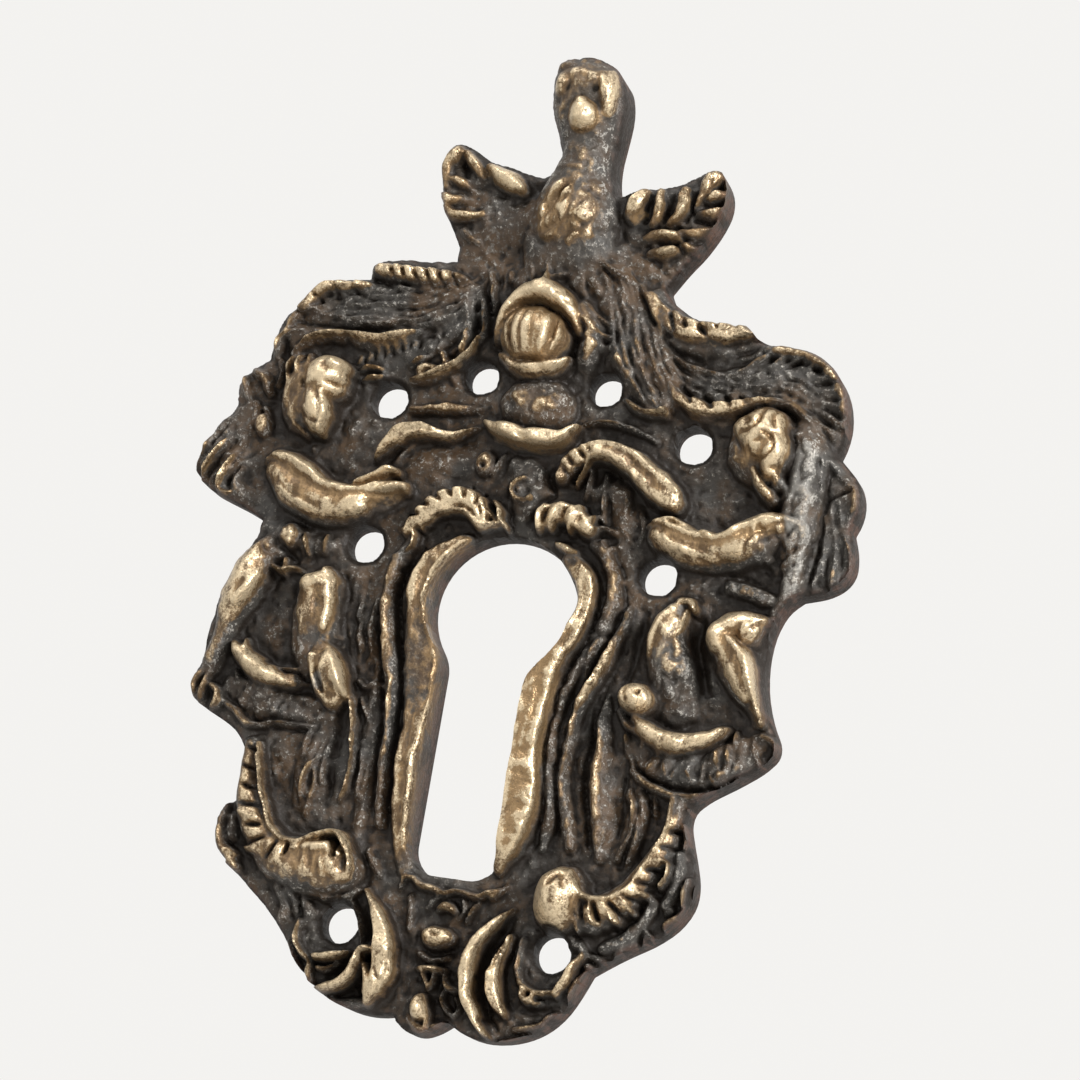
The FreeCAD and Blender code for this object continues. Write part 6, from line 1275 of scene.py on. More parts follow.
def carve_rim(r):
    """The bands beside the keyhole with the mouldings outside them."""
    # Left band: brown, rising from a dark channel to a thin bright arris at the opening
    r.form([(-3.85, 4.7, 0.86, 1.4), (-5.55, 3.0, 1.2, 1.7), (-6.4, 1.0, 1.24, 1.9), (-6.4, -0.5, 1.24, 1.6),
            (-6.0, -2.0, 1.38, 1.3), (-5.6, -3.2, 1.7, 1.2), (-5.3, -4.4, 1.95, 1.1), (-5.1, -6.0, 1.8, 1.2),
            (-4.95, -8.0, 1.55, 1.35), (-4.9, -10.0, 1.38, 1.6), (-5.0, -12.0, 1.26, 1.75),
            (-5.0, -13.4, 1.24, 1.75), (-4.85, -15.0, 1.2, 1.6), (-4.65, -17.0, 1.1, 1.4),
            (-4.3, -19.0, 0.9, 1.0), (-3.9, -20.2, 0.8, 0.7)], "flat", 0.12, gold=0.45)
    r.comb([(-4.4, 4.2, 1.0, 0.08), (-6.4, 0.5, 1.0, 0.1), (-5.5, -4.0, 1.4, 0.12), (-5.0, -8.0, 1.2, 0.12),
            (-5.0, -13.0, 1.0, 0.12), (-4.6, -18.0, 0.8, 0.08)], 2.5, 81)
    r.adds([
        [(-3.4, 4.9, 0.16, 0.3), (-4.9, 3.2, 0.18, 0.35), (-5.75, 1.2, 0.18, 0.35), (-5.85, -0.5, 0.18, 0.35),
         (-5.35, -2.0, 0.2, 0.3), (-4.75, -3.2, 0.22, 0.25), (-4.2, -4.4, 0.22, 0.25),
         (-4.15, -6.0, 0.2, 0.25), (-4.2, -8.0, 0.2, 0.25), (-4.3, -10.0, 0.18, 0.3),
         (-4.45, -12.0, 0.16, 0.35), (-4.5, -13.4, 0.16, 0.35), (-4.35, -15.0, 0.16, 0.3),
         (-4.25, -17.0, 0.16, 0.3), (-4.05, -19.0, 0.14, 0.25)],
    ], gold=1)
    r.adds([
        [(-6.9, 3.9, 0.3, -0.4), (-7.9, 2.4, 0.35, -0.6), (-8.2, 0.4, 0.38, -0.7), (-8.0, -1.4, 0.4, -0.8),
         (-7.4, -3.4, 0.4, -0.85), (-7.0, -5.6, 0.38, -0.8), (-6.75, -8.0, 0.35, -0.7),
         (-6.5, -10.6, 0.34, -0.7), (-6.4, -13.4, 0.32, -0.6), (-6.2, -16.6, 0.3, -0.5)],
    ])
    r.dots([(-6.9, -1.5, 0.12, -0.35), (-6.75, -2.2, 0.1, -0.3), (-6.6, -2.9, 0.12, -0.35),
            (-6.4, -3.6, 0.1, -0.3), (-5.2, -6.5, 0.14, -0.3), (-4.8, -7.4, 0.12, -0.3),
            (-5.0, -8.2, 0.14, -0.35), (-5.3, -8.9, 0.16, -0.4), (-5.6, -10.2, 0.12, -0.3),
            (-5.2, -11.5, 0.14, -0.3), (-5.6, -12.6, 0.3, -0.35), (-5.3, -13.6, 0.3, -0.4),
            (-4.9, -12.9, 0.2, -0.3), (-6.0, -4.4, 0.1, -0.25), (-5.6, -7.6, 0.25, -0.25)])
    # Left mouldings
    r.form([(-7.6, 4.8, 0.3, 0.8), (-8.6, 3.0, 0.45, 1.0), (-9.0, 0.8, 0.55, 1.2), (-8.9, -1.5, 0.6, 1.3),
            (-8.2, -4.0, 0.6, 1.4), (-7.5, -6.4, 0.6, 1.4), (-7.15, -9.2, 0.55, 1.3), (-7.0, -12.0, 0.5, 1.3),
            (-6.8, -14.6, 0.5, 1.2), (-6.5, -17.2, 0.45, 0.9)], "round", 0.12)
    r.adds([
        [(-8.5, -2.2, 0.16, -0.25), (-7.9, -4.4, 0.16, -0.3), (-7.3, -6.4, 0.16, -0.3),
         (-6.9, -8.4, 0.14, -0.25)],
        [(-9.4, -1.6, 0.2, -0.3), (-9.0, -3.6, 0.22, -0.5), (-8.4, -6.2, 0.22, -0.5),
         (-8.0, -8.6, 0.22, -0.5), (-7.8, -11.0, 0.22, -0.5), (-7.6, -13.6, 0.2, -0.45),
         (-7.4, -16.0, 0.18, -0.3)],
    ])
    # Right band: broad, pale and nearly flat, pitted all over
    r.form([(4.6, 4.3, 0.8, 1.0), (6.0, 3.0, 0.9, 1.6), (6.5, 1.4, 0.9, 1.9), (6.3, -0.4, 1.0, 2.2),
            (5.3, -2.4, 1.4, 2.4), (4.25, -4.0, 1.9, 2.5), (3.9, -6.0, 1.8, 2.5), (3.9, -8.0, 1.75, 2.5),
            (3.8, -10.0, 1.7, 2.5), (4.0, -12.0, 1.85, 2.5), (4.1, -14.0, 1.95, 2.5), (3.9, -16.0, 1.75, 2.4),
            (3.6, -17.6, 1.4, 2.1), (3.2, -19.2, 0.75, 1.4)], "flat", 0.15, gold=0.4)
    r.tint([(5.9, 0.2, 0.5, 0.3), (5.3, -2.2, 0.9, 0.7), (4.6, -3.6, 1.2, 0.9), (4.3, -6.5, 1.3, 1.0),
            (4.2, -9.5, 1.3, 1.0), (4.3, -12.5, 1.4, 1.0), (4.4, -15.0, 1.4, 1.0), (4.0, -17.8, 0.9, 0.9)])
    r.adds([
        [(6.1, 2.4, 0.2, 0.2), (6.2, 0.6, 0.2, 0.25), (5.6, -1.2, 0.2, 0.25), (4.3, -2.9, 0.2, 0.25),
         (3.6, -4.2, 0.2, 0.2)],
        [(4.0, -5.2, 0.3, 0.12), (3.9, -8.0, 0.3, 0.15), (3.8, -11.0, 0.3, 0.12)],
    ])
    r.dots([(3.2, -12.2, 0.12, -0.35), (3.5, -12.3, 0.14, -0.4), (4.1, -12.3, 0.1, -0.3),
            (4.6, -12.1, 0.1, -0.25), (3.3, -12.9, 0.1, -0.3), (4.9, -13.0, 0.12, -0.3)])
    rng = np.random.default_rng(11)
    spots = rng.uniform((3.7, -17.0), (5.6, -2.8), (64, 2))
    r.dots([(x, z, 0.08 + 0.08 * size, -0.2 - 0.2 * size) for (x, z),
            size in zip(spots, rng.uniform(0, 1, 64))])
    r.dots([(4.2, -7.4, 0.14, -0.4), (4.1, -6.9, 0.12, -0.35), (3.9, -10.6, 0.18, -0.45),
            (3.2, -12.0, 0.14, -0.45), (4.9, -14.0, 0.2, -0.3), (5.0, -15.8, 0.22, -0.35),
            (5.3, -4.4, 0.15, -0.35), (5.0, -5.2, 0.18, -0.35), (4.6, -5.0, 0.16, -0.35),
            (5.6, -2.6, 0.14, -0.3)])
    # Right mouldings: a groove, a grey band, a deep groove and a speckled ridge
    r.form([(6.2, 5.6, 0.4, 0.8), (7.4, 4.6, 0.6, 1.1), (8.2, 3.0, 0.7, 1.2), (8.4, 1.0, 0.75, 1.3),
            (7.8, -1.4, 0.75, 1.4), (6.9, -3.6, 0.75, 1.5), (6.2, -5.8, 0.7, 1.5), (5.95, -8.0, 0.65, 1.5),
            (5.9, -10.4, 0.6, 1.5), (6.1, -13.0, 0.6, 1.4), (6.4, -15.4, 0.6, 1.2), (6.1, -17.4, 0.4, 0.7)],
           "round", 0.1)
    r.adds([
        [(6.6, 5.0, 0.2, -0.3), (7.5, 3.4, 0.22, -0.5), (7.8, 1.4, 0.22, -0.5), (7.5, -0.8, 0.22, -0.5),
         (6.6, -3.0, 0.22, -0.4)],
        [(8.8, 3.6, 0.2, -0.3), (9.1, 1.6, 0.22, -0.4), (8.7, -0.4, 0.22, -0.4)],
        [(8.7, -1.0, 0.25, -0.5), (7.5, -1.6, 0.3, -0.6), (7.1, -3.6, 0.34, -0.8), (6.6, -5.8, 0.36, -0.95),
         (6.2, -8.0, 0.34, -1.0), (6.2, -9.6, 0.26, -0.7), (6.5, -11.4, 0.2, -0.35), (6.8, -13.4, 0.22, -0.4),
         (7.0, -16.0, 0.24, -0.5)],
        [(5.5, -8.2, 0.16, 0.2), (5.6, -10.0, 0.18, 0.25), (5.8, -11.6, 0.18, 0.25), (6.1, -13.2, 0.16, 0.25),
         (6.4, -15.2, 0.16, 0.2)],
    ])
    r.form([(9.7, 1.2, 0.3, 1.0), (9.5, -0.4, 0.4, 1.3), (9.0, -2.0, 0.5, 1.7), (8.4, -3.9, 0.55, 2.0),
            (7.7, -5.4, 0.55, 2.0), (7.15, -7.2, 0.5, 1.8), (7.0, -9.2, 0.5, 1.7), (6.95, -11.2, 0.5, 1.7),
            (7.2, -13.2, 0.5, 1.4), (7.7, -15.2, 0.55, 1.2), (8.3, -17.2, 0.45, 0.8)], "round", 0.1)
    r.comb([(-8.6, 3.0, 0.8, 0.2), (-9.0, 0.0, 1.0, 0.25), (-8.3, -4.0, 1.1, 0.3), (-7.6, -7.0, 1.0, 0.3),
            (-7.3, -11.0, 0.9, 0.3), (-6.9, -16.0, 0.8, 0.25)], 3.5, 83)
    r.comb([(7.6, 3.6, 1.0, 0.25), (8.6, 0.8, 1.2, 0.3), (8.2, -2.0, 1.2, 0.3), (7.2, -5.0, 1.2, 0.3),
            (6.6, -9.0, 1.1, 0.3), (6.8, -14.0, 1.1, 0.25), (7.2, -17.0, 0.9, 0.2)], 3.2, 85)
    r.chase(7.8, -6.0, 1.3, 8.0, 0.25, 0.18, 61, longer=1.4, heading=80)
    r.chase(-8.0, -8.0, 1.3, 9.0, 0.22, 0.14, 62, longer=1.8, heading=85)
    r.dots([(8.9, -1.7, 0.35, 0.3), (8.7, -2.6, 0.3, 0.25), (8.2, -4.0, 0.35, 0.3), (7.8, -4.9, 0.4, 0.35),
            (7.3, -6.4, 0.3, 0.25), (6.9, -8.3, 0.25, 0.3), (7.1, -8.9, 0.2, 0.25), (6.7, -10.7, 0.25, 0.3),
            (7.0, -11.6, 0.22, 0.25), (7.1, -12.6, 0.25, 0.3), (7.4, -9.9, 0.2, -0.25),
            (7.0, -7.6, 0.2, -0.25), (9.4, -0.9, 0.25, 0.3), (9.7, 0.6, 0.25, 0.3), (7.1, -3.2, 0.2, 0.3),
            (5.9, -7.9, 0.2, 0.3)])


def carve_panels(r):
    """The leaves, lines and ticks of the long panels on both sides of the slot."""
    # Left panel
    r.form([(-12.2, -10.6, 1.1, 0.3), (-12.6, -14.0, 1.5, 0.5), (-12.0, -17.2, 1.2, 0.3)], "bell", 0.25)
    r.form([(-8.6, -7.0, 0.8, 0.4), (-8.5, -11.0, 0.9, 0.6), (-8.2, -16.0, 0.9, 0.6),
            (-8.2, -19.0, 0.8, 0.4)], "bell", 0.25)
    r.form([(-10.2, -7.9, 0.2, 1.2), (-10.0, -8.6, 0.28, 1.6), (-9.7, -10.0, 0.26, 1.7),
            (-9.5, -12.0, 0.24, 1.7), (-9.4, -14.0, 0.24, 1.6), (-9.5, -15.2, 0.22, 1.4),
            (-9.9, -15.9, 0.16, 1.0)], "round", 0.06)
    r.adds([
        [(-10.6, -9.0, 0.35, -0.2), (-10.9, -12.0, 0.4, -0.35), (-10.8, -15.6, 0.35, -0.3)],
        [(-13.9, -12.0, 0.25, -0.2), (-14.1, -14.4, 0.3, -0.3), (-13.6, -16.8, 0.25, -0.2)],
    ])
    r.forms([
        [(-12.0, -12.8, 0.2, 1.1), (-12.7, -13.8, 0.35, 1.5), (-13.0, -15.0, 0.35, 1.5),
         (-12.8, -16.2, 0.2, 1.1)],
        [(-12.3, -13.6, 0.2, 1.0), (-12.0, -14.8, 0.32, 1.3), (-12.1, -16.2, 0.3, 1.2),
         (-12.3, -17.4, 0.2, 0.9)],
        [(-11.5, -11.4, 0.25, 0.8), (-11.6, -13.0, 0.3, 0.9), (-11.5, -14.8, 0.25, 0.8)],
        [(-13.2, -10.9, 0.2, 0.8), (-13.4, -12.0, 0.22, 0.9), (-13.5, -13.0, 0.16, 0.7)],
        [(-8.9, -11.9, 0.2, 0.9), (-8.7, -13.6, 0.25, 1.0), (-8.5, -15.2, 0.2, 0.9)],
        [(-10.0, -6.7, 0.2, 1.0), (-9.4, -7.1, 0.22, 1.1), (-8.8, -6.8, 0.22, 1.1), (-8.1, -6.9, 0.18, 0.9)],
        [(-9.6, -7.9, 0.2, 1.0), (-9.3, -8.5, 0.22, 1.2), (-9.0, -9.2, 0.2, 1.2), (-8.7, -9.9, 0.16, 1.0)],
        [(-8.1, -8.8, 0.14, 0.9), (-8.0, -9.7, 0.16, 1.0), (-8.1, -10.4, 0.14, 0.9)],
        [(-8.7, -10.4, 0.16, 1.0), (-8.0, -10.5, 0.16, 1.0)],
        [(-10.8, -2.4, 0.2, 1.0), (-10.5, -3.6, 0.24, 1.2), (-10.4, -4.4, 0.16, 0.9)],
        [(-11.0, -0.8, 0.2, 0.8), (-11.1, -2.0, 0.22, 0.9)],
        [(-9.8, -0.4, 0.25, 0.8), (-9.9, -2.4, 0.3, 0.9), (-9.4, -4.6, 0.25, 0.8)],
        [(-6.9, -19.2, 0.3, 0.7), (-6.4, -20.2, 0.35, 0.9), (-5.7, -21.0, 0.25, 0.7)],
    ], "roof", 0.1)
    r.dots([(-8.9, -11.4, 0.2, 0.45), (-8.1, -14.7, 0.2, 0.4), (-8.4, -15.4, 0.2, 0.4),
            (-7.95, -15.6, 0.2, 0.4), (-8.1, -16.1, 0.18, 0.4), (-15.1, -13.3, 0.22, 0.35),
            (-15.4, -14.3, 0.22, 0.35), (-9.2, -8.9, 0.25, 0.3), (-9.6, -5.0, 0.3, 0.3),
            (-8.9, -5.6, 0.3, 0.3), (-10.4, -5.6, 0.3, 0.25), (-6.5, -19.0, 0.2, 0.3),
            (-6.2, -19.8, 0.2, 0.3), (-5.7, -20.6, 0.2, 0.3)])
    # Right panel
    r.form([(9.3, -6.2, 0.4, 0.8), (9.4, -8.0, 0.65, 1.2), (9.7, -10.4, 0.85, 1.5), (9.95, -12.8, 0.95, 1.5),
            (10.3, -15.2, 0.95, 1.4), (10.6, -17.4, 0.6, 0.9)], "right", 0.1)
    r.adds([
        [(8.5, -6.8, 0.3, -0.3), (8.4, -9.2, 0.34, -0.6), (8.5, -11.8, 0.34, -0.65), (8.9, -14.4, 0.34, -0.6),
         (9.5, -17.0, 0.3, -0.4)],
        [(9.9, -8.4, 0.15, -0.15), (10.3, -11.2, 0.18, -0.25), (10.6, -14.2, 0.18, -0.25),
         (10.9, -16.4, 0.15, -0.15)],
        [(11.4, -10.2, 0.3, -0.2), (11.5, -13.0, 0.35, -0.35), (11.6, -15.8, 0.3, -0.3)],
        [(13.6, -12.8, 0.25, -0.2), (13.8, -14.8, 0.3, -0.3), (13.6, -17.2, 0.3, -0.3)],
        [(10.4, -0.6, 0.4, -0.3), (10.6, -2.6, 0.45, -0.5), (10.2, -4.4, 0.4, -0.4)],
    ])
    r.form([(12.9, -12.6, 0.6, 0.6), (13.2, -15.0, 0.8, 0.8), (12.8, -18.0, 0.5, 0.5)], "bell", 0.2)
    r.forms([
        [(12.0, -12.3, 0.2, 1.1), (12.4, -13.4, 0.32, 1.6), (12.5, -14.6, 0.28, 1.6),
         (12.5, -15.6, 0.22, 1.4), (12.2, -16.6, 0.22, 1.3), (11.8, -17.6, 0.16, 1.0)],
        [(12.8, -14.0, 0.16, 1.1), (13.0, -15.2, 0.22, 1.4), (13.1, -16.0, 0.22, 1.4),
         (12.9, -17.0, 0.2, 1.2), (12.5, -18.0, 0.16, 1.0)],
        [(13.9, -12.8, 0.2, 0.7), (14.1, -13.8, 0.22, 0.8)],
        [(11.2, -9.2, 0.2, 0.7), (11.9, -10.6, 0.22, 0.8), (12.4, -11.6, 0.18, 0.7)],
        [(9.2, -5.6, 0.2, 0.8), (9.6, -6.8, 0.25, 1.0)],
    ], "roof", 0.08)
    r.dots([(11.8, -12.8, 0.22, 0.4), (11.2, -8.7, 0.25, 0.35), (12.3, -9.2, 0.2, 0.3),
            (8.5, -8.4, 0.2, 0.25), (10.4, -4.8, 0.3, 0.25), (9.6, -4.2, 0.3, 0.25)])
    r.comb([(-11.4, 1.0, 0.9, 0.2), (-11.2, -3.0, 0.9, 0.25), (-10.4, -6.0, 0.9, 0.2)], 2.6, 87)
    r.comb([(-11.9, -10.6, 1.3, 0.2), (-12.2, -14.0, 1.7, 0.25), (-11.6, -17.6, 1.3, 0.2)], 3.0, 89)
    r.comb([(-8.6, -8.0, 0.8, 0.15), (-8.5, -12.0, 0.9, 0.25), (-8.3, -17.0, 0.8, 0.2)], 2.6, 91)
    r.comb([(9.3, -6.6, 0.7, 0.15), (9.8, -11.0, 0.9, 0.2), (10.4, -16.0, 0.9, 0.2)], 2.4, 93)
    r.comb([(12.3, -11.6, 1.2, 0.2), (12.8, -14.6, 1.5, 0.25), (12.3, -18.0, 1.1, 0.2)], 3.0, 95)
    # Hatching of the dark ground above the knob and beside the right leg
    r.adds([
        [(11.6, -1.4, 0.15, 0.25), (11.7, -3.0, 0.15, 0.25)],
        [(12.2, -3.4, 0.18, 0.3), (12.6, -4.4, 0.18, 0.3)],
        [(16.4, -2.6, 0.25, 0.2), (17.0, -3.8, 0.25, 0.2)],
    ])


def carve_lower_scrolls(r):
    """The ribbed scrolls that turn in under the panels, with the knob at the end of the right one."""
    # Left ribbed scroll
    r.form([(-17.4, -12.6, 0.7, 1.2), (-17.1, -14.8, 0.95, 1.6), (-16.6, -17.0, 1.25, 2.0),
            (-15.4, -19.0, 1.5, 2.4), (-13.5, -20.6, 1.85, 2.7), (-11.2, -21.0, 2.3, 3.0),
            (-9.2, -20.9, 2.1, 2.9), (-8.0, -20.8, 1.0, 2.0)], "round", 0.15)
    r.form([(-13.2, -20.2, 0.6, 2.5), (-11.8, -20.1, 0.85, 3.0), (-10.4, -19.9, 0.95, 3.1),
            (-9.4, -19.7, 0.8, 3.0), (-8.6, -20.2, 0.5, 2.8)], "round", 0.3, gold=0.7)
    r.form([(-16.7, -12.4, 0.2, 2.0), (-16.3, -14.0, 0.25, 2.3), (-15.8, -15.8, 0.28, 2.4),
            (-15.1, -17.2, 0.3, 2.5), (-14.4, -18.5, 0.34, 2.7), (-13.2, -19.4, 0.34, 2.8),
            (-12.0, -19.55, 0.36, 2.9), (-10.8, -19.0, 0.4, 3.0), (-9.6, -18.5, 0.42, 3.0),
            (-8.7, -18.7, 0.42, 3.0), (-8.0, -19.7, 0.42, 2.9), (-7.75, -20.9, 0.36, 2.6),
            (-7.95, -21.9, 0.2, 1.9)], "round", 0.06)
    for x, z, dx, dz, wide in ((-17.0, -13.0, -0.55, 0.25, 0.17), (-17.0, -14.4, -0.6, 0.2, 0.18),
                               (-16.8, -15.8, -0.65, 0.15, 0.2), (-16.3, -17.2, -0.7, 0.05, 0.22),
                               (-15.7, -18.7, -0.55, -0.05, 0.3), (-15.3, -19.8, -0.7, -0.3, 0.24),
                               (-13.85, -20.4, -0.35, -0.65, 0.2), (-12.75, -20.2, -0.12, -0.5, 0.18)):
        r.add([(x - dx, z - dz, wide * 0.7, -0.7), (x, z, wide, -1.15), (x + dx, z + dz, wide * 0.7, -0.7)])
    r.forms([
        [(-17.2, -17.7, 0.2, 2.2), (-16.3, -18.1, 0.26, 2.5), (-15.3, -18.1, 0.24, 2.5)],
        [(-16.3, -19.3, 0.2, 2.2), (-15.6, -19.2, 0.24, 2.5), (-14.6, -19.3, 0.22, 2.6)],
        [(-16.3, -20.4, 0.2, 2.0), (-15.5, -20.5, 0.3, 2.4), (-14.8, -20.6, 0.3, 2.5)],
    ], "round", 0.05)
    r.adds([
        [(-9.15, -18.9, 0.2, -0.9), (-9.05, -19.6, 0.28, -1.4), (-9.0, -20.3, 0.24, -1.1)],
        [(-11.75, -19.8, 0.12, -0.4), (-11.7, -20.3, 0.12, -0.4)],
        [(-9.9, -20.2, 0.2, 0.2), (-9.75, -20.9, 0.2, 0.35), (-9.6, -21.5, 0.16, 0.3)],
        [(-10.6, -20.8, 0.18, -0.4), (-10.6, -21.4, 0.16, -0.3)],
        [(-8.4, -20.6, 0.12, -0.35), (-8.3, -21.2, 0.14, -0.4)],
        [(-10.9, -19.8, 0.2, -0.2), (-10.9, -21.2, 0.2, -0.25)],
    ])
    r.dots([(-11.1, -21.1, 0.2, 0.35), (-8.9, -21.0, 0.22, 0.35), (-9.5, -21.9, 0.25, 0.3),
            (-13.5, -21.3, 0.25, 0.3), (-12.4, -21.5, 0.3, 0.2), (-15.2, -20.6, 0.25, 0.25)])
    r.dots([(x, z, 0.4, h) for x, z,
            h in ((-15.0, -21.6, 0.3), (-14.0, -22.4, 0.25), (-12.8, -22.6, 0.3), (-11.6, -22.4, -0.25),
                  (-10.4, -22.6, 0.25), (-9.4, -22.8, 0.2), (-13.4, -21.6, -0.2), (-12.1, -21.8, 0.2),
                  (-10.9, -22.1, 0.2))])
    # The scroll's lower side is kept dull and dark: painted shade under it
    r.tint([(-14.0, -22.0, 0.6, -0.4), (-12.4, -22.2, 0.8, -0.5), (-10.4, -22.3, 0.8, -0.5),
            (-8.8, -22.3, 0.6, -0.5)])
    # The outer lip and its lobes on the left
    r.form([(-18.5, -17.2, 0.3, 1.0), (-18.7, -18.8, 0.45, 1.4), (-18.4, -20.2, 0.5, 1.6),
            (-17.6, -21.1, 0.5, 1.5), (-16.8, -21.9, 0.4, 1.2)], "round", 0.1)
    r.forms([
        [(-17.6, -20.7, 0.25, 1.6), (-17.0, -21.0, 0.3, 1.8)],
        [(-17.6, -21.7, 0.25, 1.3), (-16.8, -21.8, 0.28, 1.4)],
        [(-17.9, -18.2, 0.4, 0.8), (-17.7, -19.6, 0.5, 1.0)],
    ], "round", 0.08)
    r.forms([
        [(-13.4, -22.9, 0.4, 0.8), (-12.6, -23.9, 0.6, 1.0), (-12.6, -25.0, 0.6, 0.9)],
        [(-12.6, -23.0, 0.25, 1.0), (-11.9, -23.6, 0.3, 1.2), (-11.6, -24.4, 0.25, 0.9)],
        [(-11.2, -23.4, 0.4, 0.7), (-10.6, -24.4, 0.45, 0.9), (-10.9, -25.2, 0.3, 0.7)],
    ], "round", 0.12)
    r.dots([(-10.9, -24.4, 0.2, 0.4), (-12.9, -24.2, 0.3, 0.3), (-12.4, -25.0, 0.3, 0.25),
            (-14.3, -23.3, 0.3, 0.3), (-16.4, -22.5, 0.3, 0.3), (-11.9, -24.9, 0.25, -0.3)])
    r.form([(-10.4, -23.0, 0.2, 0.9), (-9.2, -23.3, 0.28, 1.2), (-8.0, -22.9, 0.3, 1.3),
            (-7.2, -22.2, 0.25, 1.0)], "round", 0.1)
    # Right ribbed scroll
    r.form([(15.9, -12.7, 0.6, 1.1), (15.75, -14.6, 0.8, 1.4), (15.1, -16.8, 1.0, 1.8),
            (14.2, -18.8, 1.15, 2.1), (12.9, -20.6, 1.3, 2.3), (11.2, -21.8, 1.4, 2.4),
            (9.8, -22.0, 1.2, 2.3)], "round", 0.15)
    r.form([(15.4, -12.6, 0.2, 1.8), (15.35, -14.4, 0.28, 2.2), (15.0, -16.2, 0.28, 2.3),
            (14.3, -17.9, 0.28, 2.4), (13.4, -19.6, 0.3, 2.6), (12.3, -20.6, 0.32, 2.8),
            (11.2, -20.85, 0.36, 2.9), (10.2, -20.7, 0.42, 3.0), (9.4, -19.9, 0.42, 3.2),
            (8.9, -19.1, 0.3, 2.8)], "round", 0.06)
    for x, z, dx, dz, wide in ((16.05, -14.9, -0.5, -0.06, 0.22), (15.75, -16.3, -0.5, -0.02, 0.24),
                               (15.05, -18.2, -0.55, 0.0, 0.26), (14.5, -19.2, -0.55, 0.06, 0.2),
                               (13.8, -20.4, -0.6, 0.12, 0.22), (12.7, -21.4, -0.55, 0.4, 0.26),
                               (11.35, -21.8, -0.28, 0.55, 0.26), (10.35, -22.0, -0.12, 0.6, 0.2)):
        r.add([(x + dx, z + dz, wide * 0.8, -0.9), (x, z, wide, -1.2), (x - dx, z - dz, wide * 0.7, -0.7)])
    r.forms([
        [(15.3, -17.4, 0.25, 2.2), (15.9, -17.6, 0.2, 2.3), (15.9, -18.6, 0.2, 2.4),
         (15.6, -19.4, 0.25, 2.3)],
        [(14.2, -19.9, 0.3, 2.3), (14.9, -20.1, 0.26, 2.4)],
        [(13.2, -20.8, 0.28, 2.4), (13.9, -21.4, 0.28, 2.5)],
        [(12.0, -21.2, 0.28, 2.5), (12.5, -22.0, 0.28, 2.7), (13.0, -22.2, 0.22, 2.4)],
        [(10.8, -21.2, 0.25, 2.6), (11.1, -22.3, 0.28, 2.8), (11.8, -22.6, 0.26, 2.5)],
        [(9.6, -20.9, 0.2, 2.6), (9.75, -22.2, 0.24, 2.8), (10.1, -23.2, 0.22, 2.4)],
        [(16.6, -13.2, 0.2, 1.7), (17.1, -13.6, 0.24, 1.8), (16.7, -14.4, 0.22, 1.8)],
        [(16.5, -14.4, 0.22, 1.8), (16.9, -15.4, 0.24, 1.8), (16.8, -16.2, 0.2, 1.6)],
    ], "round", 0.05)
    # The knob
    r.boss(8.35, -21.15, 2.15, 2.65, 4.05, turn=6, blend=0.06, power=0.5)
    r.adds([
        [(7.0, -19.5, 0.14, -0.35), (7.3, -19.0, 0.14, -0.3)],
        [(7.8, -20.3, 0.25, -0.35), (8.2, -19.6, 0.3, -0.5), (8.5, -19.5, 0.2, -0.4),
         (8.9, -20.4, 0.2, -0.3)],
        [(6.9, -20.8, 0.14, -0.15), (8.2, -21.8, 0.2, 0.06), (9.2, -21.4, 0.25, -0.15)],
        [(9.6, -21.0, 0.16, -0.3), (9.9, -22.2, 0.2, -0.5)],
    ])
    # Outer lip on the right with its teeth
    r.form([(17.9, -16.2, 0.3, 1.0), (18.2, -18.0, 0.4, 1.4), (18.25, -19.8, 0.45, 1.6),
            (17.8, -21.3, 0.5, 1.7), (17.0, -22.5, 0.5, 1.5), (15.8, -23.8, 0.45, 1.2),
            (14.4, -24.9, 0.4, 1.0), (12.8, -25.6, 0.3, 0.8)], "round", 0.1)
    r.forms([
        [(17.4, -18.4, 0.2, 1.5), (17.35, -19.4, 0.24, 1.7), (17.4, -20.3, 0.2, 1.5)],
        [(17.6, -20.4, 0.25, 1.6), (17.0, -21.2, 0.35, 1.9), (16.4, -21.8, 0.3, 1.7),
         (16.5, -22.3, 0.22, 1.5)],
        [(16.6, -20.7, 0.16, 1.4), (16.2, -21.0, 0.16, 1.4)],
        [(15.0, -22.5, 0.18, 1.2), (15.5, -23.0, 0.22, 1.4), (16.2, -23.4, 0.18, 1.2)],
        [(15.0, -22.8, 0.16, 1.1), (14.9, -23.6, 0.2, 1.2), (15.3, -24.2, 0.16, 1.0)],
        [(13.0, -24.6, 0.2, 1.0), (14.2, -24.5, 0.24, 1.2), (14.9, -24.3, 0.18, 1.0)],
        [(12.4, -25.2, 0.18, 0.9), (13.2, -25.1, 0.22, 1.1), (13.8, -25.2, 0.16, 0.9)],
    ], "round", 0.07)
    r.forms([
        [(16.4, -16.6, 0.4, 0.9), (16.6, -18.6, 0.55, 1.1), (16.1, -20.4, 0.5, 1.0)],
        [(15.2, -20.6, 0.5, 1.0), (14.4, -22.2, 0.6, 1.2), (13.2, -23.4, 0.6, 1.1), (12.0, -24.2, 0.5, 0.9)],
        [(14.2, -23.6, 0.4, 0.7), (13.0, -24.6, 0.4, 0.8)],
    ], "round", 0.15)
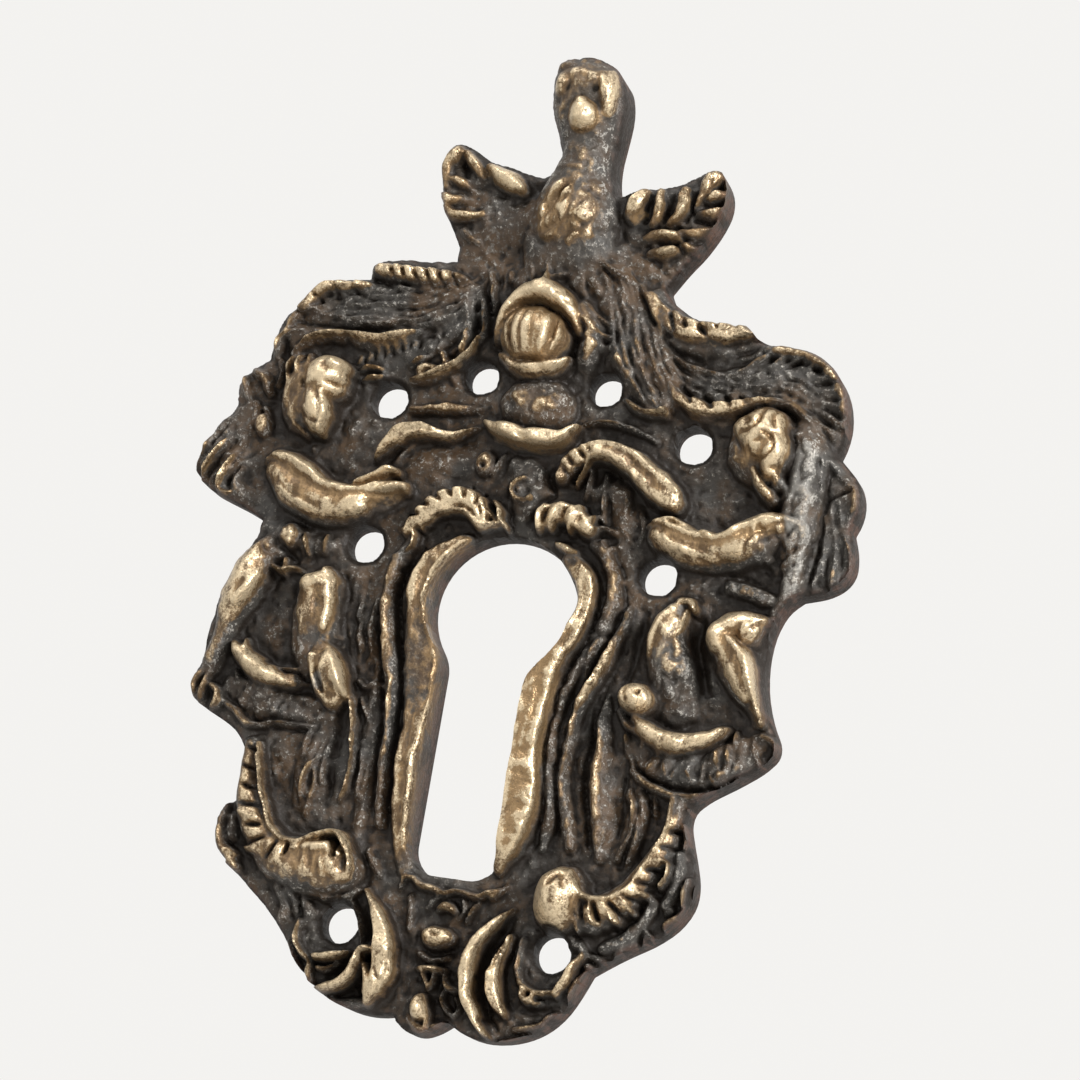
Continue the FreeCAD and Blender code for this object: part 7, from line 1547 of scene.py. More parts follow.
    r.dots([(13.4, -23.4, 0.22, 0.5), (13.1, -23.9, 0.18, 0.4), (11.9, -24.2, 0.25, 0.4),
            (12.4, -23.0, 0.4, 0.35), (14.8, -21.6, 0.35, 0.3), (15.8, -18.9, 0.4, 0.3),
            (16.6, -17.4, 0.35, -0.25), (16.2, -19.6, 0.35, 0.3), (14.2, -21.9, 0.3, -0.3),
            (15.2, -20.4, 0.35, 0.35), (16.9, -16.9, 0.25, 0.35), (17.6, -17.4, 0.2, 0.35),
            (11.4, -23.4, 0.35, 0.35), (12.6, -24.3, 0.3, -0.25)])


def carve_volutes(r):
    """The two lower volutes with their crescents and claws, and the shell with its seeds between them."""
    # Left volute
    r.form([(-6.5, -22.2, 0.25, 1.4), (-5.4, -23.6, 0.55, 2.1), (-4.5, -25.2, 0.85, 2.5),
            (-4.1, -26.7, 1.0, 2.7), (-4.1, -28.2, 0.9, 2.6), (-4.5, -29.7, 0.6, 2.2),
            (-5.0, -30.6, 0.3, 1.5)], "flat", 0.06, gold=0.4)
    r.form([(-6.4, -22.1, 0.14, 1.5), (-4.9, -23.7, 0.18, 2.3), (-3.75, -25.4, 0.2, 2.9),
            (-3.25, -27.0, 0.2, 3.0), (-3.3, -28.4, 0.2, 2.8), (-3.9, -29.7, 0.18, 2.4)], "roof", 0.15,
           gold=1)
    r.adds([[(-4.3, -27.9, 0.1, -0.3), (-4.0, -28.8, 0.14, -0.5), (-3.9, -29.6, 0.1, -0.3)]])
    r.dots([(-4.2, -26.9, 0.14, -0.4), (-4.6, -26.0, 0.1, -0.3), (-4.7, -27.8, 0.1, -0.25)])
    r.form([(-7.6, -23.2, 0.2, 0.9), (-7.0, -24.1, 0.26, 1.3), (-6.5, -25.2, 0.24, 1.3),
            (-6.1, -26.3, 0.2, 1.1)], "round", 0.06)
    r.adds([[(-6.6, -23.4, 0.3, -0.3), (-5.9, -24.6, 0.34, -0.5), (-5.6, -25.8, 0.3, -0.5)]])
    r.form([(-11.2, -25.0, 0.2, 1.0), (-11.3, -26.3, 0.28, 1.5), (-10.8, -27.4, 0.3, 1.6),
            (-10.0, -28.0, 0.26, 1.4), (-9.8, -28.8, 0.3, 1.5), (-9.6, -29.8, 0.3, 1.2)], "round", 0.06)
    r.form([(-11.8, -26.8, 0.2, 1.0), (-11.3, -28.0, 0.25, 1.2), (-10.6, -28.8, 0.2, 1.0)], "round", 0.08)
    r.form([(-9.4, -27.7, 0.35, 1.8), (-8.4, -27.6, 0.42, 2.2), (-7.5, -27.3, 0.35, 2.1),
            (-7.1, -27.1, 0.2, 1.7)], "flat", 0.05, gold=0.6)
    r.form([(-9.2, -28.4, 0.2, 1.5), (-8.3, -28.4, 0.26, 1.8), (-7.6, -27.9, 0.2, 1.6)], "round", 0.05)
    r.adds([
        [(-9.1, -27.8, 0.12, -0.3), (-8.5, -27.7, 0.14, -0.35)],
        [(-8.4, -29.2, 0.22, -0.4), (-7.4, -28.5, 0.24, -0.5), (-6.8, -27.4, 0.22, -0.5)],
    ])
    r.form([(-9.0, -30.0, 0.3, 1.4), (-8.1, -29.8, 0.5, 2.1), (-7.0, -29.3, 0.6, 2.5),
            (-6.2, -28.4, 0.6, 2.7), (-5.9, -27.4, 0.5, 2.7), (-5.6, -26.7, 0.45, 2.6),
            (-5.0, -26.7, 0.35, 2.4)], "round", 0.06, gold=0.5)
    r.form([(-8.6, -30.6, 0.4, 1.2), (-7.0, -30.9, 0.5, 1.3), (-5.6, -30.6, 0.5, 1.3)], "round", 0.1)
    r.form([(-5.3, -27.8, 0.3, 2.4), (-5.0, -28.8, 0.45, 2.5), (-5.0, -29.8, 0.4, 2.1)], "round", 0.08)
    r.adds([
        [(-5.7, -27.0, 0.22, -0.9), (-5.3, -27.4, 0.24, -1.0)],
        [(-5.9, -28.2, 0.16, -0.6), (-5.5, -28.6, 0.18, -0.7)],
        [(-5.9, -29.4, 0.35, -0.5), (-5.6, -30.2, 0.35, -0.5)],
        [(-7.2, -29.9, 0.2, -0.4), (-6.4, -29.9, 0.2, -0.4)],
    ])
    r.dots([(-6.0, -29.9, 0.2, 0.5), (-3.3, -31.2, 0.25, 0.4), (-3.6, -30.8, 0.2, 0.3),
            (-9.9, -29.0, 0.2, 0.3)])
    r.form([(-7.8, -31.4, 0.3, 0.9), (-5.4, -31.8, 0.35, 1.1), (-3.0, -31.6, 0.3, 1.0)], "round", 0.1)
    # Right volute
    r.form([(4.8, -22.3, 0.25, 1.3), (3.7, -23.5, 0.45, 2.0), (2.75, -25.2, 0.6, 2.5),
            (2.4, -26.9, 0.66, 2.7), (2.55, -28.5, 0.62, 2.6), (3.2, -30.1, 0.5, 2.3),
            (4.0, -31.2, 0.35, 1.8), (4.7, -31.7, 0.2, 1.1)], "flat", 0.06, gold=0.4)
    r.form([(4.6, -22.5, 0.14, 1.5), (3.5, -24.0, 0.18, 2.3), (2.95, -25.6, 0.18, 2.8),
            (2.9, -27.4, 0.18, 2.9), (3.1, -28.9, 0.16, 2.7), (3.9, -30.4, 0.14, 2.2)], "roof", 0.1, gold=1)
    r.adds([
        [(4.8, -23.2, 0.3, -0.2), (3.8, -25.0, 0.26, -0.4), (3.6, -27.4, 0.2, -0.5), (3.9, -29.6, 0.26, -0.5),
         (5.0, -31.0, 0.25, -0.4)],
    ])
    r.form([(5.0, -24.3, 0.3, 1.6), (4.6, -25.6, 0.45, 2.1), (4.4, -27.0, 0.6, 2.4), (4.6, -28.3, 0.75, 2.5),
            (5.0, -29.2, 0.7, 2.4), (5.6, -29.9, 0.3, 1.8)], "flat", 0.06, gold=0.35)
    r.adds([[(4.75, -24.9, 0.18, -0.6), (4.45, -25.8, 0.22, -0.8), (4.2, -26.8, 0.16, -0.5)]])
    r.dots([(5.0, -28.9, 0.3, -0.12), (5.9, -29.6, 0.2, 0.4), (5.9, -30.3, 0.22, 0.4),
            (5.2, -26.5, 0.18, 0.4), (3.9, -27.1, 0.22, 0.3), (4.2, -30.6, 0.2, 0.3)])
    r.form([(5.9, -24.3, 0.25, 1.1), (5.8, -25.6, 0.3, 1.3), (6.0, -26.9, 0.28, 1.5), (6.6, -27.8, 0.26, 1.6),
            (7.8, -28.1, 0.26, 1.6), (8.9, -27.9, 0.26, 1.7)], "round", 0.06)
    r.form([(9.2, -28.0, 0.35, 1.7), (9.7, -27.0, 0.55, 2.0), (10.0, -25.8, 0.5, 1.9),
            (10.6, -24.9, 0.4, 1.5)], "flat", 0.06)
    r.form([(6.6, -27.8, 0.3, 2.0), (6.7, -28.5, 0.36, 2.2), (7.2, -28.8, 0.26, 2.0), (7.5, -28.3, 0.2, 1.7)],
           "round", 0.05)
    r.form([(7.3, -28.2, 0.16, 1.5), (7.6, -28.9, 0.2, 1.7), (8.1, -28.8, 0.18, 1.6)], "round", 0.05)
    r.form([(11.0, -26.2, 0.3, 1.5), (10.5, -27.2, 0.4, 2.0), (10.5, -28.2, 0.45, 2.3),
            (10.3, -29.4, 0.4, 2.2), (9.5, -30.6, 0.36, 2.0), (8.4, -31.2, 0.36, 1.8), (6.8, -31.6, 0.3, 1.4),
            (5.4, -31.9, 0.25, 1.1)], "round", 0.06)
    r.form([(6.4, -30.8, 0.2, 1.4), (7.4, -30.7, 0.25, 1.7), (8.3, -30.4, 0.28, 1.8), (8.8, -29.7, 0.22, 1.7),
            (9.4, -29.3, 0.2, 1.6)], "round", 0.06)
    r.adds([[(6.6, -29.4, 0.4, -0.3), (8.0, -29.5, 0.4, -0.4), (9.2, -28.8, 0.3, -0.3)]])
    r.forms([
        [(9.4, -24.2, 0.35, 0.9), (10.2, -24.1, 0.4, 1.1), (10.8, -24.8, 0.3, 0.9)],
        [(11.0, -25.6, 0.3, 1.0), (11.8, -26.2, 0.35, 1.2), (12.4, -26.2, 0.25, 0.9)],
        [(11.2, -24.9, 0.25, 1.0), (12.4, -25.2, 0.25, 1.0)],
        [(8.6, -23.8, 0.3, 0.8), (9.6, -23.7, 0.3, 0.9)],
    ], "round", 0.1)
    r.dots([(11.2, -26.6, 0.25, 0.4), (10.9, -27.2, 0.2, 0.3), (10.2, -25.0, 0.3, -0.3),
            (9.0, -29.0, 0.25, 0.3)])
    # Shell and seeds between the volutes
    r.form([(-3.9, -20.9, 0.2, 1.0), (-3.0, -20.9, 0.24, 1.3), (-2.2, -21.4, 0.3, 1.6),
            (-1.5, -21.5, 0.3, 1.6), (-0.9, -21.8, 0.26, 1.5), (-0.1, -21.6, 0.24, 1.4),
            (0.8, -21.5, 0.24, 1.4), (1.9, -21.7, 0.26, 1.5), (2.7, -21.2, 0.28, 1.4),
            (3.4, -21.0, 0.22, 1.1)], "round", 0.06)
    r.forms([
        [(-3.8, -20.9, 0.2, 1.0), (-4.0, -21.7, 0.2, 1.0)],
        [(2.0, -22.3, 0.2, 1.3), (1.7, -22.9, 0.22, 1.4), (1.3, -23.6, 0.16, 1.1)],
        [(-1.7, -23.0, 0.16, 0.9), (-1.3, -22.2, 0.2, 1.0), (-0.4, -21.9, 0.2, 1.0)],
        [(0.8, -22.0, 0.16, 0.9), (1.1, -22.8, 0.2, 1.0), (0.8, -23.4, 0.16, 0.8)],
        [(-3.0, -22.2, 0.25, 0.7), (-2.8, -23.4, 0.3, 0.8), (-2.9, -24.6, 0.25, 0.7)],
        [(2.9, -21.6, 0.3, 0.8), (3.3, -21.2, 0.3, 0.9), (3.9, -20.7, 0.25, 0.8)],
    ], "round", 0.07)
    r.form([(-0.8, -23.0, 0.25, 1.4), (-0.3, -22.8, 0.36, 1.7), (0.3, -23.0, 0.25, 1.4)], "round", 0.06)
    r.adds([[(-0.4, -23.2, 0.12, -0.3), (0.0, -23.2, 0.12, -0.3)]])
    r.boss(-0.4, -25.0, 1.3, 0.85, 2.1, turn=-2, blend=0.06, power=0.4)
    r.adds([
        [(-0.8, -24.7, 0.2, -0.4), (-0.3, -24.9, 0.24, -0.5), (0.1, -24.7, 0.16, -0.3)],
        [(0.3, -25.0, 0.1, -0.3), (0.5, -25.7, 0.12, -0.4)],
        [(-1.2, -25.2, 0.1, -0.25), (-0.7, -25.2, 0.1, -0.25)],
        [(-2.1, -24.6, 0.3, -0.2), (-1.9, -25.6, 0.3, -0.25), (-0.4, -26.2, 0.3, -0.2),
         (1.3, -25.6, 0.3, -0.25)],
    ])
    r.form([(-1.6, -26.3, 0.2, 0.9), (-0.5, -26.7, 0.24, 1.1), (0.6, -26.4, 0.2, 0.9)], "round", 0.08)
    r.forms([
        [(-1.5, -27.5, 0.25, 1.5), (-1.0, -27.4, 0.34, 1.9), (-0.2, -27.4, 0.34, 1.9),
         (0.5, -27.4, 0.26, 1.6)],
        [(-1.1, -27.6, 0.25, 1.7), (-0.7, -28.3, 0.26, 1.8), (-0.4, -28.8, 0.2, 1.5)],
        [(-0.2, -27.8, 0.18, 1.5), (-0.2, -28.5, 0.2, 1.6), (-0.5, -28.9, 0.18, 1.4)],
        [(0.5, -27.6, 0.2, 1.5), (0.8, -28.4, 0.26, 1.8), (1.4, -28.6, 0.24, 1.7), (1.8, -28.6, 0.14, 1.2)],
        [(0.7, -28.8, 0.16, 1.4), (0.7, -29.6, 0.2, 1.6), (1.2, -30.3, 0.2, 1.6), (1.7, -30.5, 0.18, 1.4),
         (2.0, -29.9, 0.16, 1.3), (1.6, -29.1, 0.14, 1.2)],
    ], "round", 0.05)
    r.boss(-0.75, -30.4, 0.75, 1.15, 2.5, turn=8, blend=0.06, power=0.4)
    r.forms([
        [(-0.3, -31.9, 0.16, 1.6), (-0.1, -31.2, 0.2, 1.8), (-0.05, -30.4, 0.14, 1.4)],
        [(0.2, -31.6, 0.2, 1.6), (0.8, -31.4, 0.24, 1.8), (1.0, -31.2, 0.16, 1.4)],
    ], "round", 0.05)
    r.form([(-1.6, -31.2, 0.5, 1.2), (-0.4, -32.0, 0.9, 1.7), (0.9, -31.6, 0.6, 1.2)], "bell", 0.15)
    r.dots([(-1.2, -29.1, 0.18, 0.45), (-2.1, -28.3, 0.2, 0.35), (-1.5, -28.3, 0.3, -0.3),
            (0.1, -29.6, 0.4, -0.3), (-2.2, -29.6, 0.4, -0.25), (0.3, -30.7, 0.25, 0.3)])


def rub_gold_and_paint_light(r):
    """Where hands and polish have rubbed the metal golden, and where it has stayed dark; on the limbs it also
    paints light and shade.
    """
    r.tints([
        # Arms: golden above and browner below, which paints light from above and shade underneath
        [(-19.2, 8.9, 1.1, 0.7), (-17.0, 8.2, 1.4, 0.8), (-14.4, 7.0, 1.3, 0.8), (-11.6, 7.4, 1.3, 1.0),
         (-9.4, 8.3, 0.8, 1.0)],
        [(-19.4, 8.0, 0.8, 0.3), (-17.4, 6.6, 1.0, 0.45), (-15.4, 5.6, 0.8, 0.5), (-13.4, 5.4, 0.7, 0.5)],
        [(10.8, 7.6, 0.7, 0.7), (13.0, 7.0, 1.0, 0.8), (16.4, 6.9, 1.2, 0.9), (19.0, 8.3, 1.0, 0.9),
         (21.0, 8.3, 0.7, 0.6)],
        [(11.2, 6.4, 0.7, 0.3), (13.4, 5.6, 0.8, 0.5), (15.6, 5.3, 0.8, 0.5), (17.2, 5.4, 0.7, 0.4)],
        [(19.4, 6.2, 1.2, -0.5), (21.0, 6.4, 1.0, -0.8)],
        # Left outer leg: golden thigh, dark shin, and thin bright edges down its right side that are painted
        # highlights
        [(-19.3, 2.0, 1.1, 0.2), (-20.4, 0.0, 1.4, 0.2), (-21.0, -1.4, 1.0, 0.1)],
        [(-21.2, -2.8, 1.0, -0.3), (-21.4, -4.6, 1.1, -0.35), (-21.8, -6.4, 0.9, -0.35)],
        [(-18.8, 0.2, 0.4, 1.0), (-19.4, -1.0, 0.5, 1.0), (-20.0, -2.2, 0.3, 0.9)],
        # Left inner leg and foot: golden knee, painted shade down its left side and a painted highlight down
        # its right edge
        [(-14.3, 0.6, 0.9, 0.6), (-13.2, 0.5, 0.8, 0.8)],
        [(-14.6, -0.2, 1.0, 0.4), (-14.6, -1.4, 0.9, 0.0), (-14.8, -3.0, 1.2, -0.4),
         (-14.8, -5.0, 1.0, -0.6)],
        [(-13.0, -0.6, 0.5, 0.9), (-12.9, -2.0, 0.5, 1.0), (-12.9, -3.4, 0.4, 0.8)],
        # Right legs: the inner leg golden on its left and dark right of its middle; the bent leg golden, with
        # painted shade down its left side
        [(12.7, 0.6, 0.8, 0.7), (12.2, -1.4, 0.6, 0.5)],
        [(14.2, -1.4, 0.8, -0.4), (14.2, -3.6, 1.2, -0.6)],
        [(19.4, 1.0, 0.8, 0.7), (17.4, 0.3, 1.1, 0.8), (17.6, -1.4, 1.1, 0.7), (19.0, -3.2, 0.8, 0.4)],
        [(16.6, -1.6, 0.5, 0.1), (17.7, -3.4, 0.6, -0.2), (19.2, -5.0, 0.5, -0.3)],
        # The slope beside the keyhole
        [(-6.1, 1.8, 0.7, 0.6), (-6.4, 0.0, 0.9, 0.7), (-6.1, -2.0, 1.1, 0.7), (-5.6, -4.4, 1.3, 0.7),
         (-5.3, -7.0, 1.2, 0.6), (-5.1, -10.0, 1.0, 0.6), (-5.1, -13.0, 0.9, 0.5), (-4.8, -17.0, 0.8, 0.4)],
        # Columns and hollows that stay grey
        [(21.5, 15.0, 1.4, -1.0), (21.6, 11.0, 1.8, -1.0), (21.9, 6.6, 1.0, -1.0), (21.6, 3.4, 0.9, -0.9)],
    ])


def outline_segments(node):
    """The rim of the casting's flat back as (x, z, x, z) rows in millimetres: outer ones, then openings.

    The back is made of the faces that look along +Y, and an edge with such a face on one side only is on its
    rim. The rim's run through its lowest point is the outer outline, and the rest are openings.
    """
    work = bmesh.new()
    work.from_mesh(node.data)
    bmesh.ops.remove_doubles(work, verts=work.verts, dist=1e-6)
    back = {face for face in work.faces if face.normal.y > 0.99 and face.calc_center_median().y > -1e-5}
    rim = [edge for edge in work.edges if sum(face in back for face in edge.link_faces) == 1]
    near = {}
    for edge in rim:
        for vert in edge.verts:
            near.setdefault(vert, []).append(edge)
    waiting = [min(near, key=lambda vert: vert.co.z)]
    outer = set()
    while waiting:
        for edge in near[waiting.pop()]:
            if edge not in outer:
                outer.add(edge)
                waiting.extend(edge.verts)
    rows = [[value / MILLIMETRE for vert in edge.verts for value in (vert.co.x, vert.co.z)] for edge in rim]
    is_outer = np.array([edge in outer for edge in rim])
    work.free()
    rows = np.array(rows)
    return rows[is_outer], rows[~is_outer]


def distance_to(relief, segments, reach):
    """The distance from each grid point to the nearest of the segments, up to a reach."""
    nearest = np.full(relief.shape, float(reach))
    for ax, az, bx, bz in segments:
        window, xs, zs = relief.window(min(ax, bx) - reach, max(ax, bx) + reach,
                                       min(az, bz) - reach, max(az, bz) + reach)
        ex, ez = bx - ax, bz - az
        t = np.clip(((xs - ax) * ex + (zs - az) * ez) / (ex * ex + ez * ez + 1e-12), 0, 1)
        gap = np.hypot(xs - ax - t * ex, zs - az - t * ez)
        nearest[window] = np.minimum(nearest[window], gap)
    return nearest


def within(relief, segments):
    """Which grid points lie inside the outlines: those with an odd number of segments to their right."""
    inside = np.zeros(relief.shape, bool)
    xs = relief.low[0] + np.arange(relief.shape[1]) * relief.step
    for ax, az, bx, bz in segments:
        low, high = sorted((az, bz))
        first = int(math.ceil((low - relief.low[1]) / relief.step))
        last = int(math.ceil((high - relief.low[1]) / relief.step))
        if last > first:
            zs = relief.low[1] + np.arange(first, last) * relief.step
            crossing = ax + (zs - az) * (bx - ax) / (bz - az)
            inside[first:last] ^= xs[None, :] < crossing[:, None]
    return inside


def round_edge(height, gap, radius):
    """Lowers the surface along an edge by a quarter circle, which falls a radius at the edge itself.

    With s = 1 - gap / radius, kept from 0 to 1, the drop is radius (1 - sqrt(1 - s^2)).
    """
    share = np.clip(1 - gap / radius, 0, 1)
    return height - radius * (1 - np.sqrt(1 - share * share))


def net_over(relief, gap):
    """A quad net over the grid points with a positive gap, whose border lies where the gap is zero.

    Each grid cell with a corner inside has one vertex: its middle, or for a border cell the middle moved
    along the gap's slope until the gap is zero. Each inside grid point is a quad of the four cells round it.
    Returns the vertices' places (x, z), the quads, and the border's edges in order.
    """
    gap = gap.copy()
    for _ in range(3):
        a, b, c, d = (gap[:-1, :-1] > 0, gap[:-1, 1:] > 0, gap[1:, :-1] > 0, gap[1:, 1:] > 0)
        gap[:-1, :-1][b & c & ~a & ~d] = 0.01
        gap[:-1, 1:][a & d & ~b & ~c] = 0.01
    inside = gap > 0
    a, b, c, d = gap[:-1, :-1], gap[:-1, 1:], gap[1:, :-1], gap[1:, 1:]
    most = np.maximum(np.maximum(a, b), np.maximum(c, d))
    least = np.minimum(np.minimum(a, b), np.minimum(c, d))
    used = most > 0
    number = np.full(used.shape, -1)
    number[used] = np.arange(used.sum())
    mean = (a + b + c + d) / 4
    slope_x = (b + d - a - c) / (2 * relief.step)
    slope_z = (c + d - a - b) / (2 * relief.step)
    size = np.maximum(slope_x ** 2 + slope_z ** 2, 0.2)
    border = used & (least <= 0)
    limit = 0.7 * relief.step
    move_x = np.where(border, np.clip(-mean * slope_x / size, -limit, limit), 0)
    move_z = np.where(border, np.clip(-mean * slope_z / size, -limit, limit), 0)
    rows, cols = np.indices(used.shape)
    place_x = relief.low[0] + (cols + 0.5) * relief.step + move_x
    place_z = relief.low[1] + (rows + 0.5) * relief.step + move_z
    places = np.stack([place_x[used], place_z[used]], axis=1)
    row, col = np.nonzero(inside)
    quads = np.stack([number[row - 1, col - 1], number[row - 1, col], number[row, col], number[row, col - 1]],
                     axis=1)
    edges = []
    row, col = np.nonzero(inside[:, :-1] & ~inside[:, 1:])
    edges.append(np.stack([number[row - 1, col], number[row, col]], axis=1))
    row, col = np.nonzero(~inside[:, :-1] & inside[:, 1:])
    edges.append(np.stack([number[row, col], number[row - 1, col]], axis=1))
    row, col = np.nonzero(inside[:-1, :] & ~inside[1:, :])
    edges.append(np.stack([number[row, col], number[row, col - 1]], axis=1))
    row, col = np.nonzero(~inside[:-1, :] & inside[1:, :])
    edges.append(np.stack([number[row, col - 1], number[row, col]], axis=1))
    return places, quads, np.concatenate(edges)


def sampled(relief, field, places):
    """The values of a grid field at places (x, z), by bilinear interpolation."""
    col = np.clip((places[:, 0] - relief.low[0]) / relief.step, 0, relief.shape[1] - 1.001)
    row = np.clip((places[:, 1] - relief.low[1]) / relief.step, 0, relief.shape[0] - 1.001)
    c, r = col.astype(int), row.astype(int)
    u, v = col - c, row - r
    return ((field[r, c] * (1 - u) + field[r, c + 1] * u) * (1 - v)
            + (field[r + 1, c] * (1 - u) + field[r + 1, c + 1] * u) * v)


def carved_relief(low, high, step):
    """The whole relief over the plate's rectangle, the flat ornament first and the figures on top of it."""
    relief = Relief(low, high, step, PLATE)
    for carve in (carve_left_mantling, carve_right_mantling, carve_ball, carve_bird, carve_panels,
                  carve_baskets, carve_rim, carve_scrolls, carve_lower_scrolls, carve_volutes,
                  carve_left_figure, carve_right_figure, rub_gold_and_paint_light):
        carve(relief)
    return relief


def rough_skin(relief, height, grain):
    """The cast and chased skin: lumps, pits and cuts, strongest on the low ground that isn't rubbed.

    Lumps are random bumps of four sizes, and pits are the highest tips of two random fields, turned down.
    Cuts follow the lines where two random fields are zero, as exp(-(field / width)^2).
    """
    step = relief.step
    low = 1 - smooth_step(3.4, 4.6, height)
    low = low * (1 - 0.5 * np.clip(relief.gilt, 0, 1))
    lumps = 0.8 * speckle(relief.shape, 0.15 / step, 3) + 1.2 * speckle(relief.shape, 0.25 / step, 4)
    lumps = lumps + 1.1 * speckle(relief.shape, 0.45 / step, 6) + 0.9 * speckle(relief.shape, 0.9 / step, 7)
    fine_pits = np.clip(speckle(relief.shape, 0.14 / step, 5) - 1.9, 0, 1.3)
    broad_pits = np.clip(speckle(relief.shape, 0.24 / step, 8) - 1.7, 0, 1.2)
    cuts = (np.exp(-(speckle(relief.shape, 0.3 / step, 9, 1.7, 75) / 0.3) ** 2)
            + np.exp(-(speckle(relief.shape, 0.42 / step, 10, 1.5, 20) / 0.25) ** 2))
    where = smooth_step(-1.0, 1.0, speckle(relief.shape, 1.8 / step, 12))
    return height + grain * (lumps * (0.4 + 1.0 * low) - 2.6 * fine_pits
                             - 4.0 * broad_pits * (0.4 + 0.6 * low) - 2.6 * cuts * where * low)


def closed_mesh(name, front, quads, edges):
    """A closed mesh: the front's quads, a wall from each border edge to the back plane, and a flat back."""
    border = np.unique(edges)
    lower = np.full(len(front), -1)
    lower[border] = len(front) + np.arange(len(border))
    back = front[border] * (1, 0, 1)
    verts = np.concatenate([front, back])
    first, second = edges.T
    walls = np.stack([second, first, lower[first], lower[second]], axis=1)
    mesh = bpy.data.meshes.new(name)
    mesh.from_pydata(verts.tolist(), [], np.concatenate([quads, walls]).tolist())
    work = bmesh.new()
    work.from_mesh(mesh)
    open_edges = [edge for edge in work.edges if edge.is_boundary]
    bmesh.ops.triangle_fill(work, use_beauty=True, use_dissolve=False, edges=open_edges, normal=(0, 1, 0))
    for face in work.faces:
        if len(face.verts) == 3 and face.normal.y < 0:
            face.normal_flip()
    work.to_mesh(mesh)
    work.free()
    return mesh


def thinned(piece, most):
    """Thins a piece by collapsing its edges, so that it has no more than so many triangles."""
    piece.data.calc_loop_triangles()
    count = len(piece.data.loop_triangles)
    if count > most:
        thin = piece.modifiers.new("Thin", "DECIMATE")
        thin.ratio = most / count
        evaluated = piece.evaluated_get(bpy.context.evaluated_depsgraph_get())
        mesh = bpy.data.meshes.new_from_object(evaluated)
        old = piece.data
        piece.modifiers.remove(thin)
        piece.data = mesh
        mesh.name = old.name
        bpy.data.meshes.remove(old)
    return piece


def paint(mesh, name, values):
    """Writes one number a vertex into an attribute that the material reads."""
    layer = mesh.attributes.new(name, "FLOAT", "POINT")
    layer.data.foreach_set("value", np.clip(values, 0, 1).astype(np.float32))


def worn_height(relief, gaps_and_radii, sizes):
    """The relief's height once it is softened, given its skin, worn at its edges and kept within its depth.

    Above the knee, which lies EASE below the greatest depth, a height h becomes
    knee + EASE tanh((h - knee) / EASE).
    """
    height = blurred(relief.height, sizes.softening / MILLIMETRE / relief.step)
    height = rough_skin(relief, height, sizes.grain / MILLIMETRE)
    for gap, radius in gaps_and_radii:
        height = round_edge(height, gap, radius / MILLIMETRE)
    knee = sizes.deepest_front / MILLIMETRE - EASE
    height = np.where(height > knee, knee + EASE * np.tanh((height - knee) / EASE), height)
    return np.maximum(height, THINNEST)


def paint_masks(mesh, relief, height, outer_gap, nail_gap):
    """Writes the masks that the material reads, each from 0 to 1 at every vertex.

    A point stands proud or lies deep by its height less the mean height round it, taken at four widths.
    rubbed is where hands wear the metal, arris its sharp crests, dark its hollows and the painted shade on
    the worn fronts of the nail holes, gilt what is rubbed on purpose or kept dull (0.5 for neither), which on
    some limbs also holds painted light and shade, and wall the sides, where the other masks fade out.
    """
    spots = np.empty(len(mesh.vertices) * 3)
    mesh.vertices.foreach_get("co", spots)
    spots = spots.reshape(-1, 3) / MILLIMETRE
    plan = spots[:, [0, 2]]
    widths = (0.22, 0.45, 1.3, 3.0)
    crisp, fine, broad, wide = (height - blurred(height, width / relief.step) for width in widths)
    proud = smooth_step(0.0, 0.2, fine + 0.5 * crisp)
    risen = smooth_step(0.1, 1.0, broad)
    tall = smooth_step(3.5, 4.9, height)
    cut = smooth_step(0.01, 0.17, -crisp)
    deep = smooth_step(0.1, 0.9, -broad) * (1 - 0.6 * tall)
    rubbed = (0.45 * risen + 0.45 * tall + 0.3 * proud * (0.25 + risen)
              + 0.1 * smooth_step(0.2, 2.0, wide))
    dark = np.clip(0.65 * deep + 0.6 * cut, 0, 1)
    side = smooth_step(0.25, 0.9, spots[:, 1] + sampled(relief, height, plan))
    paint(mesh, "rubbed", sampled(relief, np.clip(rubbed, 0, 1), plan) * (1 - side))
    paint(mesh, "arris", sampled(relief, proud * (0.3 + 0.45 * risen + 0.25 * tall), plan) * (1 - side))
    # Painted shade: the worn fronts of the nail holes are painted as dark as the hollows, so that the holes
    # read as dark openings
    in_nail_hole = 1 - smooth_step(0.1, 0.6, sampled(relief, nail_gap, plan))
    hidden = np.maximum(sampled(relief, dark, plan), in_nail_hole)
    paint(mesh, "dark", hidden + (0.4 - hidden) * side)
    paint(mesh, "gilt", 0.5 + 0.5 * sampled(relief, relief.gilt, plan) * (1 - side))
    near_edge = 1 - smooth_step(0.0, 0.6, sampled(relief, outer_gap, plan))
    paint(mesh, "wall", np.maximum(side, 0.8 * near_edge ** 2))


